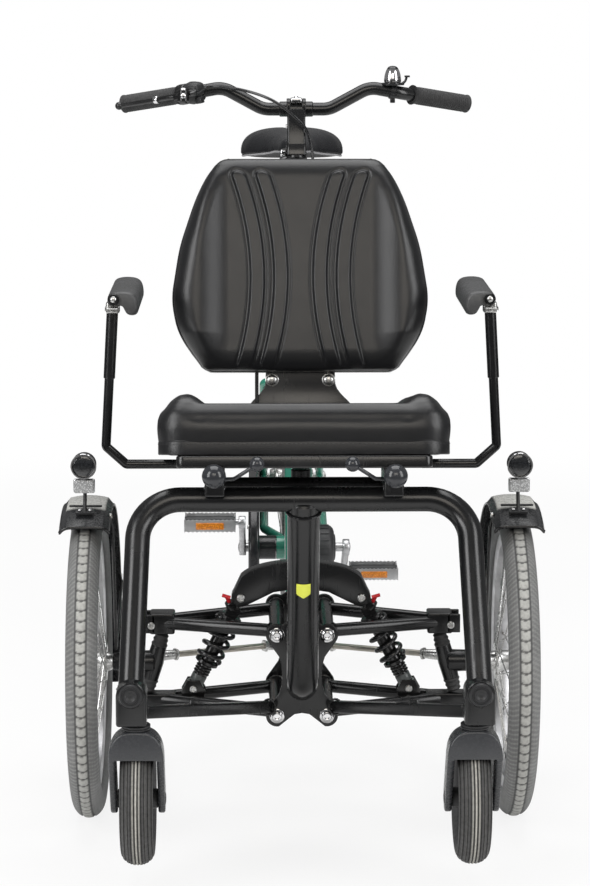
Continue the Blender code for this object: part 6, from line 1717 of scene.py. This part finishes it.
def handlebar():
    """The stem is a square tube carried up from the column's head, with two cheeks that hold the
    bar."""
    tube = pipe(bend(bar_points(), 0.045, 10), 0.0115, 36)
    sleeve = pipe([(-0.03, STEM_Y, 1.1223), (0.03, STEM_Y, 1.1223)], 0.0135, 32)
    base, top = column_at(1.0405), np.array((0, STEM_Y, 1.1235))
    rings = []
    for share, size in ((0, 0.97), (0.02, 1.0), (0.5, 1.0), (0.98, 1.0), (1.0, 0.97)):
        place = base + (top - base) * share
        back = unit(COLUMN_BACK * (1 - share) + BACK * share)
        flat = oval(0.032 * size, 0.036 * size, 0.0035, 5)
        rings.append(place + flat[:, :1] * RIGHT + flat[:, 1:] * back)
    parts = [tube, sleeve, skin(np.array(rings))]
    cheek = oval(0.036, 0.033, 0.012, 8)
    for side in SIDES.values():
        parts.append(slab(
            cheek, -0.0032, 0.0032, 0.0012, frame_at((side * 0.0138, STEM_Y, 1.1245), BACK, UP)
        ))
    ring = [drum(0, 0.0062, 0.0188, 0.0012, 0.0012, column_at(1.0325), COLUMN, 40)]
    piece("bar_dress", [*parts, *ring], "steering", GLOSS, ("handlebar",))
    band = np.array([column_at(1.0375), column_at(1.0395), column_at(1.0575), column_at(1.0595)])
    collar = sweep(band, oval(0.035, 0.0386, 0.0045, 5), RIGHT, (0.96, 1.0, 1.0, 0.96))
    lug = brick((0.01, 0.014, 0.014), column_at(1.047) + (-0.0205, -0.006, 0), 0.003)
    piece("stem_collar", [collar, lug], "steering", SATIN)
    cap = [brick((0.0205, 0.031, 0.0085), (0, STEM_Y, 1.1378), 0.003)]
    cap += [bolt((0, STEM_Y + y, 1.142), UP, 0.0036, 0.0026) for y in (-0.009, 0.009)]
    at = column_at(1.047) + (-0.0262, -0.006, 0)
    cap += [
        dome(at, -RIGHT, 0.0062, 0.0036, 24), bolt(at + (0.004, -0.0085, 0), FRONT, 0.0045, 0.004)
    ]
    cap += [bolt(np.array((-0.0162, 0.545, 1.092)), -RIGHT, 0.0034, 0.0026)]
    piece("stem_cap", cap, "steering", CHROME)


def grip_ends(side):
    """The inner and outer end of a grip, along the handlebar's last straight."""
    points = bar_points()
    outer, inner = points[-1], points[-2]
    start = outer + unit(inner - outer) * 0.12
    return start * (side, 1, 1), outer * (side, 1, 1)


def grip(name, side):
    """A rubber grip: rings along its length, a flange inside and a closed round end."""
    start, end = grip_ends(side)
    along = unit(end - start)
    t = np.linspace(0, 1, 170)
    wave = 0.0005 * np.cos(t * 2 * math.pi * 26) * ((t > 0.1) & (t < 0.95))
    flange, lip = np.exp(-((t / 0.03) ** 2)), np.exp(-(((t - 1) / 0.03) ** 2))
    radius = 0.0154 + wave + 0.0024 * flange + 0.001 * lip
    profile = np.stack([t * 0.1225, radius], -1)
    closing = [(0.124, 0.0145), (0.125, 0.012), (0.1253, 0.006)]
    shape = turned(np.concatenate([profile, closing]), start, along, 40)
    piece(
        "grip_cover_" + name, shape, "steering", RUBBER, ("grip_" + name,), 60
    )


def lever_side():
    """The brake lever's clamp is wide at the pivot; the lever is a flat blade that ends in a
    ball."""
    start, end = grip_ends(-1)
    along = unit(start - end)
    clamp = start + along * 0.0082
    reach, tip = clamp + (0, -0.045, 0), end - along * 0.012 + (0, -0.045, 0)
    body = [drum(-0.007, 0.007, 0.0184, 0.0015, 0.0012, clamp, along, 40)]
    body.append(brick((0.015, 0.036, 0.02), clamp + (0, -0.026, 0), 0.005, along, BACK))
    body.append(drum(-0.0105, 0.0105, 0.01, 0.0015, 0.0012, reach, UP, 32))
    body.append(turned(
        [(0, 0.006), (0.02, 0.0052), (0.024, 0.0036)], clamp + along * 0.005 + (0, -0.034, 0.002),
        along, 24,
    ))
    piece("lever_mount", body, "steering", SATIN)
    path = smooth_path(
        [
            reach - along * 0.004, reach - along * 0.035 + (0, -0.003, 0.001),
            (reach + tip) / 2 + (0, 0.002, 0), tip,
        ],
        34,
    )
    size = np.interp(np.linspace(0, 1, 34), (0, 0.15, 0.85, 1), (0.0062, 0.005, 0.0042, 0.004))
    lever = sweep(path, circle(20) * (1.0, 0.82), UP, size)
    root = brick((0.018, 0.013, 0.012), reach - along * 0.01, 0.003, along, BACK)
    piece(
        "brake_lever_dress", [lever, root, globe(tip, 0.0072, 28)], "steering", SATIN,
        ("brake_lever",),
    )
    screws = [
        bolt(reach + (0, 0, 0.01), UP, 0.0056, 0.0034),
        dome(reach + (0, -0.0096, 0), FRONT, 0.005, 0.0026, 24),
    ]
    screws.append(turned(
        [(0, 0.0042), (0.001, 0.0048), (0.008, 0.0048), (0.01, 0.0038)],
        clamp + along * 0.013 + (0, -0.034, 0.002), along, 24,
    ))
    screws.append(drum(
        -0.0042, 0.0042, 0.0068, 0.0012, 0.0006, (reach + tip) / 2 + along * 0.012, along, 24
    ))
    piece("lever_screws", screws, "steering", CHROME)
    pod = clamp + along * 0.0245
    knob = [
        (-0.0155, 0.015), (-0.014, 0.0185), (-0.006, 0.0205), (0.002, 0.0196), (0.01, 0.0178),
        (0.013, 0.0165), (0.0145, 0.014),
    ]
    bulge = brick((0.026, 0.03, 0.02), pod + (0, -0.013, 0.005), 0.007, along, BACK)
    tab = brick((0.012, 0.014, 0.012), pod + along * 0.01 + (0, -0.012, -0.014), 0.003, along, BACK)
    piece("bar_pod", [turned(knob, pod, along, 44), bulge, tab], "steering", MOULDED)
    leaving = clamp + along * 0.022 + (0, -0.034, 0.002)
    column_side = [
        (0.0205, 0.512, 1.08), (0.0285, 0.51, 1.04), (0.027, 0.494, 0.98), (0.015, 0.466, 0.915),
        (0.004, 0.449, 0.872),
    ]
    middle = [
        leaving + along * 0.035 + (0, 0.001, 0.006), (-0.098, 0.528, 1.1575), (-0.043, 0.506, 1.14),
        (0.003, 0.502, 1.106),
    ]
    cable = smooth_path([leaving, leaving + along * 0.012] + middle + column_side, 90)
    boss = turned(
        [(-0.004, 0.0072), (0.0, 0.0066), (0.01, 0.0046), (0.014, 0.0034)], cable[-1],
        unit(cable[-6] - cable[-1]), 24,
    )
    piece("brake_cable", [pipe(cable, 0.0026, 14), boss], "steering", SHINY)


def bell_side():
    """The bell is a tall dome on a wide foot ring, with a thumb lever and a strap round the bar."""
    points = bar_points()
    inner, outer = points[5], points[6]
    seat = inner + (outer - inner) * (0.1716 - inner[0]) / (outer[0] - inner[0])
    low = seat + (0, 0, 0.0135)
    cup = [
        (0.003, 0.0146), (0.0042, 0.0153), (0.009, 0.015), (0.016, 0.0141), (0.0225, 0.0122),
        (0.0262, 0.0104),
    ]
    piece("bell_dress", turned(cup, low, UP, 56), "steering", CHROME, ("bell",))
    crown = [(0.0258, 0.01), (0.0272, 0.01), (0.0296, 0.008), (0.0312, 0.005), (0.0318, 0.0018)]
    foot = [(-0.003, 0.009), (-0.0022, 0.02), (0.0, 0.0215), (0.0016, 0.0208), (0.0024, 0.015)]
    strap = drum(-0.0052, 0.0052, 0.0136, 0.0008, 0.001, seat, unit(outer - inner), 36)
    lug = brick((0.0088, 0.008, 0.009), seat + (0, -0.002, -0.0155), 0.002)
    thumb = pipe(
        smooth_path(
            [
                low + (0.017, -0.004, 0.001), low + (0.022, -0.006, 0.005),
                low + (0.0245, -0.007, 0.012),
            ],
            12,
        ),
        0.0022, 12,
    )
    pad = brick((0.0095, 0.009, 0.0032), low + (0.0255, -0.007, 0.0135), 0.0012)
    parts = [turned(crown, low, UP, 48), turned(foot, low, UP, 48), strap, lug, thumb, pad]
    piece("bell_foot", parts, "steering", SHINY)


column()
handlebar()
for name, side in SIDES.items():
    grip(name, side)
lever_side()
bell_side()

# Rear half


def seat_tube_at(z):
    """The point of the saddle tube's axis at a height."""
    share = (z - 0.272) / 0.782
    return np.array((0, 0.8 + 0.33 * share, z))


def rear_frame():
    """The green frame is bent pipes between the head tube, the crank shell, the saddle tube and the
    drop-outs."""
    down_head, top_head, top_end = column_at(0.43), column_at(0.545), seat_tube_at(0.52)
    head_low, head_top = column_at(0.262), column_at(0.6)
    parts = [pipe([head_low, head_top], 0.0238, 40, 0.05)]
    for at in (head_low, head_top):
        way = 1 if at is head_top else -1
        parts.append(drum(-0.01, 0.001, 0.0262, 0.002, 0.0022, at, COLUMN * way, 40))
    down = pipe([down_head, CRANK], 0.021, 36)
    top = pipe([top_head, top_end], 0.0178, 36)
    seat = pipe([CRANK, seat_tube_at(0.8)], 0.016, 36)
    shell = drum(-0.035, 0.035, 0.023, 0.001, 0.0015, CRANK, RIGHT, 40)
    parts += [down, top, seat, shell]
    for at, toward, radius in ((down_head, CRANK, 0.0212), (top_head, top_end, 0.018)):
        parts.append(bead(at + unit(toward - at) * 0.026, toward - at, radius, 0.002))
        parts.append(bead(toward + unit(at - toward) * 0.02, toward - at, radius, 0.002))
    collar = drum(
        -0.014, 0.001, 0.0185, 0.001, 0.0015, seat_tube_at(0.8), unit(seat_tube_at(0.8) - CRANK), 32
    )
    for side in SIDES.values():
        drop = REAR_MIDDLE + (side * 0.058, 0, 0)
        low = [
            both(0.0168, 0.8, 0.272, side), both(0.0168, 0.8605, 0.272, side),
            both(0.058, 0.934, 0.281, side), drop,
        ]
        parts.append(pipe(bend(low, 0.036, 6), 0.0088, 22))
        high = seat_tube_at(0.584)
        knee = both(0.058, high[1] + 0.0264, high[2] - 0.016, side)
        parts.append(pipe(bend([high, knee, drop], 0.0132, 6), 0.008, 22))
        outline = np.array([
            (-0.02, -0.012), (0.01, -0.02), (0.02, -0.004), (0.018, 0.014), (0.004, 0.02),
            (-0.018, 0.012),
        ])
        parts.append(slab(outline, -0.003, 0.003, 0.0008, frame_at(drop, BACK, UP)))
    bridge = REAR_MIDDLE + unit((0, -0.302, 0.242)) * 0.3545
    parts.append(bar(bridge - (0.056, 0, 0), bridge + (0.056, 0, 0), 0.006, 18))
    piece("rear_frame_dress", parts, "frame", GREEN, ("rear_frame",))
    axle = bar(REAR_MIDDLE - 0.072 * RIGHT, REAR_MIDDLE + 0.072 * RIGHT, 0.006, 18)
    ends = [
        nut(REAR_MIDDLE + (side * 0.0612, 0, 0), (side, 0, 0), 0.0105, 0.008)
        for side in SIDES.values()
    ]
    ends += [
        washer(REAR_MIDDLE + (side * 0.061, 0, 0), (side, 0, 0), 0.013, 0.0015)
        for side in SIDES.values()
    ]
    clamp_screw = bolt(seat_tube_at(0.793) + (0.0, -0.0185, 0), FRONT, 0.005, 0.004)
    piece("rear_axle_ends", [axle, clamp_screw, *ends], "frame", ZINC)
    piece("post_collar", collar, "frame", SATIN)


def drive():
    """The drive housing is a profile turned about the crank axle; the chain case is two arcs joined
    by tangents."""
    profile = [
        (0.0353, 0.0095), (0.0353, 0.036), (0.037, 0.0405), (0.04, 0.0425), (0.066, 0.0425),
        (0.07, 0.0405), (0.074, 0.036),
    ]
    profile += [(0.076, 0.03), (0.0755, 0.026), (0.078, 0.024), (0.079, 0.018), (0.079, 0.0095)]
    unit_body = turned(profile, CRANK, RIGHT, 56, ring=True)
    ribs = []
    for k in range(18):
        angle = 2 * math.pi * k / 18
        at = around(CRANK + (0.053, 0, 0), 0.0, 0.0424, angle)
        ribs.append(brick(
            (0.026, 0.003, 0.0035), at, 0.0008, RIGHT,
            np.cross((0, -math.sin(angle), math.cos(angle)), RIGHT),
        ))
    piece("drive_dress", [unit_body, *ribs], "frame", MOULDED, ("drive_unit",))
    big_radius, small_radius, span = 0.092, 0.045, 0.46
    front, back = CRANK[1:], REAR_MIDDLE[1:]
    rise = math.asin((big_radius - small_radius) / span)
    lift = math.atan2(0.054, span)
    first = np.linspace(math.pi / 2 - rise + lift, math.pi * 1.5 + rise + lift, 44)
    second = np.linspace(-math.pi / 2 + rise + lift, math.pi / 2 - rise + lift, 24)
    big = front + big_radius * np.stack([np.cos(first), np.sin(first)], -1)
    small = back + small_radius * np.stack([np.cos(second), np.sin(second)], -1)
    outline = np.concatenate([big, small])
    case = slab(outline, -0.0873, -0.0673, 0.005, frame_at((0, 0, 0), BACK, UP))
    inner = (outline - (0.98, 0.292)) * (0.93, 0.86) + (0.98, 0.292)
    panel = slab(inner, -0.0881, -0.0872, 0.0005, frame_at((0, 0, 0), BACK, UP))
    boss = turned(
        [(0.0355, 0.0092), (0.0355, 0.0228), (0.077, 0.0228), (0.077, 0.0092)], CRANK, -RIGHT, 40,
        ring=True,
    )
    piece("chain_case_dress", [case, panel, boss], "frame", SHINY, ("chain_case",))
    screws = [
        bolt((-0.0872, y, z), -RIGHT, 0.004, 0.003)
        for y, z in ((0.735, 0.325), (0.735, 0.215), (0.95, 0.345), (0.98, 0.245), (1.15, 0.362))
    ]
    piece("chain_case_screws", screws, "frame", ZINC)


def pedal_axle(side):
    """The middle plane's point on a pedal's axle, at the crank's angle below the level."""
    return CRANK + CRANK_LENGTH * side * np.array((
        0, math.cos(CRANK_ANGLE), -math.sin(CRANK_ANGLE)
    ))


def cranks():
    """Each crank is a rounded section carried along its arm, wide at the axle and narrow at the
    pedal."""
    parts = [bar(CRANK - (0.107, 0, 0), CRANK + (0.107, 0, 0), 0.0084, 28)]
    caps = []
    for side in SIDES.values():
        inner = 0.0928
        middle = (side * (inner + 0.0065), 0, 0)
        end = pedal_axle(side)
        along = unit(end - CRANK)
        t = np.linspace(0, 1, 20)
        wide = np.interp(t, (0, 0.12, 0.5, 0.9, 1), (0.0145, 0.013, 0.0098, 0.0105, 0.011))
        path = CRANK + (end - CRANK) * t[:, None] + middle
        up = np.cross(along, RIGHT)
        section = oval(2.0, 2.0, 0.5, 5)
        rings = (
            path[:, None] + section[None, :, :1] * wide[:, None, None] * up + section[None, :, 1:]
            * 0.006 * RIGHT
        )
        parts.append(skin(rings))
        parts.append(drum(-0.0065, 0.0065, 0.0155, 0.0015, 0.001, CRANK + middle, RIGHT, 36))
        parts.append(drum(-0.0065, 0.0065, 0.012, 0.0015, 0.001, end + middle, RIGHT, 30))
        caps.append(dome(CRANK + (side * (inner + 0.0125), 0, 0), (side, 0, 0), 0.0095, 0.0025))
        pedal_end = end + (side * 0.2063, 0, 0)
        parts.append(bar(end + (side * inner, 0, 0), pedal_end, 0.0055, 18))
    piece("crank_dress", parts, "cranks", ALLOY, ("crankset",))
    piece("crank_caps", caps, "cranks", MOULDED)
    for name, side in SIDES.items():
        pedal(name, side)


def pedal(name, side):
    """A cage pedal: toothed front and rear plates, end plates, a barrel on the axle and amber
    reflectors."""
    centre = pedal_axle(side) + (side * 0.1588, 0, 0)
    long, deep, high = 0.095, 0.072, 0.024
    parts = [turned(
        [
            (-0.047, 0.0062), (-0.047, 0.0105), (-0.04, 0.012), (0.04, 0.012), (0.047, 0.0098),
            (0.047, 0.0062),
        ],
        centre, RIGHT, 32, ring=True,
    )]
    cages = []
    t = np.linspace(-1, 1, 81)
    for s in (-1, 1):
        tooth = 0.0018 * np.abs((t * 12) % 2 - 1)
        upper = np.stack([t * long / 2, high / 2 - 0.0018 + tooth], -1)
        lower = np.stack([t[::-1] * long / 2, -high / 2 + 0.0018 - tooth[::-1]], -1)
        place = frame_at(centre + (0, s * (deep / 2 - 0.0015), 0), RIGHT, UP)
        cages.append(slab(np.concatenate([upper, lower]), -0.0015, 0.0015, 0.0004, place))
        cages.append(brick(
            (0.003, deep - 0.003, high * 0.7), centre + (s * (long / 2 - 0.0015), 0, 0), 0.001
        ))
        cages.append(bar(centre + (-0.04, s * 0.02, 0), centre + (0.04, s * 0.02, 0), 0.0035, 12))
    piece("pedal_cage_" + name, cages, "pedal_" + name, ALLOY, ("pedal_" + name,))
    piece("pedal_barrel_" + name, parts, "pedal_" + name, MOULDED)
    glow = [
        brick((0.052, 0.013, 0.004), centre + (0, s * (deep / 2 + 0.0012), 0), 0.002, RIGHT, UP)
        for s in (-1, 1)
    ]
    piece("pedal_reflectors_" + name, glow, "pedal_" + name, AMBER)


def rear_guard():
    """The rear mudguard's shell is the front one's formula on the rear wheel, with two stays a
    side."""
    radius = REAR_RADIUS + 0.014 + 0.0022
    shape = guard_shell(REAR_MIDDLE, radius, 0.048, 0.06, 0.01, 62, -66)[0]
    piece("rear_guard_dress", shape, "frame", SATIN, ("rear_mudguard",), 50)
    stays = []
    for side in SIDES.values():
        for degrees in (-8, -52):
            angle = math.radians(degrees)
            out = np.array((0, -math.sin(angle), math.cos(angle)))
            eye = REAR_MIDDLE + (side * 0.0517, 0, 0) + out * 0.017
            top = REAR_MIDDLE + (side * 0.03, 0, 0) + out * 0.3322
            stays.append(bar(eye, top, 0.0026, 12))
            stays.append(bolt(top + (side * 0.001, 0, 0), (side, 0, 0), 0.0045, 0.003))
    piece("rear_guard_stays", stays, "frame", ZINC)


def saddle():
    """The saddle is a grid of (along, round): each round has a low dome above its widest line and a
    skirt that draws in below it, wide and flat at the back, narrow and deep at the nose."""
    t = np.linspace(0, 1, 90)
    y = 1.2413 - 0.265 * t
    stops = (0, 0.02, 0.06, 0.15, 0.3, 0.42, 0.55, 0.68, 0.8, 0.96, 0.99, 1)
    wide = 0.1025 * np.interp(
        t, stops, (0.5, 0.74, 0.91, 0.99, 1.0, 0.89, 0.66, 0.46, 0.34, 0.24, 0.16, 0.1)
    )
    high = 1.054 - 0.068 * (
        1 - np.interp(
            t, stops, (0.62, 0.76, 0.9, 0.98, 1.0, 0.985, 0.95, 0.91, 0.89, 0.84, 0.78, 0.72)
        )
    )
    deep = 0.068 * np.interp(
        t, stops, (0.5, 0.66, 0.78, 0.86, 0.9, 0.82, 0.72, 0.6, 0.5, 0.42, 0.34, 0.26)
    )
    kernel = np.ones(5) / 5
    wide, high, deep = (
        np.convolve(np.pad(a, 2, mode="edge"), kernel, "valid") for a in (wide, high, deep)
    )
    turn = np.linspace(0, 2 * math.pi, 64, endpoint=False)
    c, s = np.cos(turn), np.sin(turn)
    above = np.abs(s) ** 0.8 * 0.8
    below = -np.abs(s) ** 0.7 * 0.2
    x = wide[:, None] * np.sign(c) * np.abs(c) ** np.where(s > 0, 0.72, 0.55) * np.where(
        s < 0, 0.9 + 0.1 * np.abs(c), 1.0
    )
    z = (high - deep * 0.8)[:, None] + deep[:, None] * np.where(s > 0, above, below)
    z = z - 0.006 * np.exp(-((x / 0.013) ** 2)) * (s > 0) * np.sin(t * math.pi)[:, None]
    rings = np.stack([x, np.broadcast_to(y[:, None], x.shape), z], -1)
    made = piece("saddle_cover", skin(rings), "frame", SADDLE_SKIN, ("saddle",), 60)
    loop = np.stack(
        [
            np.concatenate([wide, -wide[::-1]]), np.concatenate([y, y[::-1]]),
            np.tile(high - deep * 0.93, 2),
        ],
        -1,
    )
    loop[90:, 2] = (high - deep * 0.93)[::-1]
    trim = sweep(loop * (0.965, 1, 1), circle(10) * 0.002, UP, closed=True)
    piece("saddle_trim", trim, "frame", TRIM_GREY)
    rails = []
    for side in SIDES.values():
        rail = [
            (0.034, 1.205, 1.012), (0.03, 1.18, 1.0005), (0.021, 1.15, 0.9975),
            (0.021, 1.09, 0.9975), (0.012, 1.03, 1.008),
        ]
        rails.append(pipe(smooth_path([both(*point, side) for point in rail], 40), 0.0035, 14))
    low, high_post = seat_tube_at(0.748), seat_tube_at(0.985)
    post = pipe([low, high_post], 0.0132, 32)
    head = [drum(-0.021, 0.021, 0.014, 0.002, 0.002, (0, high_post[1] + 0.004, 0.988), RIGHT, 36)]
    head.append(brick((0.05, 0.034, 0.01), (0, high_post[1] + 0.006, 0.9985), 0.003))
    piece("saddle_post_dress", [post, *head, *rails], "frame", ALLOY, ("saddle_post",))


rear_frame()
drive()
cranks()
rear_guard()
saddle()

# Stage, light and camera

LENS_MM, SENSOR_MM = 111.7, 36.0
CAMERA_PLACE = (-0.07, AXLE_Y - 4.372, 1.378)
CAMERA_PITCH, CAMERA_YAW = math.radians(-9.9), math.radians(0.79)


def stage():
    """The floor is white paper: what the camera sees is mostly its own even white, and what the
    lamps leave dark in its light makes the soft shadow."""
    mesh = bpy.data.meshes.new("floor")
    mesh.from_pydata([(-30, -30, 0), (30, -30, 0), (30, 90, 0), (-30, 90, 0)], [], [(0, 1, 2, 3)])
    floor = bpy.data.objects.new("floor", mesh)
    bpy.context.scene.collection.objects.link(floor)
    made = Finish("floor_paper", 0.9)
    made.shader.inputs["Specular IOR Level"].default_value = 0.1
    tree = made.tree
    light = add(tree, "ShaderNodeLightPath")
    glow = add(tree, "ShaderNodeEmission")
    glow.inputs["Strength"].default_value = 1.0
    blend = add(tree, "ShaderNodeMixShader")
    place = add(tree, "ShaderNodeTexCoord").outputs["Object"]
    length = add(tree, "ShaderNodeVectorMath", operation="LENGTH")
    wire(tree, place, length.inputs[0])
    far = length.outputs["Value"]
    white = spread(tree, far, 0.7, 3.0, 0.84, 1.0)
    wire(
        tree, math_node(tree, "MULTIPLY", light.outputs["Is Camera Ray"], white),
        blend.inputs["Fac"],
    )
    grey = add(tree, "ShaderNodeCombineColor")
    for channel in grey.inputs[:3]:
        wire(tree, spread(tree, far, 1.6, 2.8, 0.88, 0.16), channel)
    wire(tree, grey.outputs[0], made.shader.inputs["Base Color"])
    wire(tree, made.shader.outputs[0], blend.inputs[1])
    wire(tree, glow.outputs[0], blend.inputs[2])
    wire(tree, blend.outputs[0], tree.nodes["Material Output"].inputs["Surface"])
    mesh.materials.append(made.made)


def daylight():
    """An even white world: dim for the objects and full white for the camera."""
    world = bpy.data.worlds.new("studio")
    bpy.context.scene.world = world
    world.use_nodes = True
    tree = world.node_tree
    back = tree.nodes["Background"]
    light = add(tree, "ShaderNodeLightPath")
    seen = light.outputs["Is Camera Ray"]
    wire(tree, spread(tree, seen, 0.0, 1.0, 0.2, 1.0), back.inputs["Strength"])
    back.inputs["Color"].default_value = (1, 1, 1, 1)


def aimed(at, look):
    """The matrix of a camera or lamp at a place that looks along a direction, its top upwards."""
    away = -unit(look)
    right = unit(np.cross(UP, away)) if abs(away[2]) < 0.99 else RIGHT
    place = np.eye(4)
    place[:3, 0], place[:3, 1], place[:3, 2], place[:3, 3] = right, np.cross(away, right), away, at
    return Matrix(place.tolist())


def softbox(name, at, toward, width, height, power, colour=(1, 1, 1)):
    """A rectangular area lamp at a place, turned to a point."""
    data = bpy.data.lights.new(name, "AREA")
    data.shape, data.size, data.size_y = "RECTANGLE", width, height
    data.energy, data.color = power, colour
    lamp_object = bpy.data.objects.new(name, data)
    bpy.context.scene.collection.objects.link(lamp_object)
    lamp_object.matrix_world = aimed(at, np.asarray(toward, float) - np.asarray(at, float))


def camera():
    """The camera worked out from the photograph's upright and level lines."""
    data = bpy.data.cameras.new("camera")
    data.lens, data.sensor_width = LENS_MM, SENSOR_MM
    made = bpy.data.objects.new("camera", data)
    bpy.context.scene.collection.objects.link(made)
    pitch, yaw = CAMERA_PITCH, CAMERA_YAW
    look = np.array((
        math.sin(yaw) * math.cos(pitch), math.cos(yaw) * math.cos(pitch), math.sin(pitch)
    ))
    made.matrix_world = aimed(CAMERA_PLACE, look)
    bpy.context.scene.camera = made


stage()
daylight()
softbox("key", (-3.2, -2.9, 2.35), (0, -0.4, 0.9), 1.7, 3.6, 115)
softbox("fill", (3.3, -2.7, 2.25), (0, -0.4, 0.9), 1.7, 3.6, 95)
softbox("front", (0.0, -5.6, 3.3), (0, -0.4, 0.8), 3.2, 2.0, 60, (1.0, 0.94, 0.85))
softbox("top", (0, 0.2, 4.2), (0, 0.0, 0.5), 3.4, 3.4, 120)
camera()
bpy.context.scene.view_settings.view_transform = "Standard"
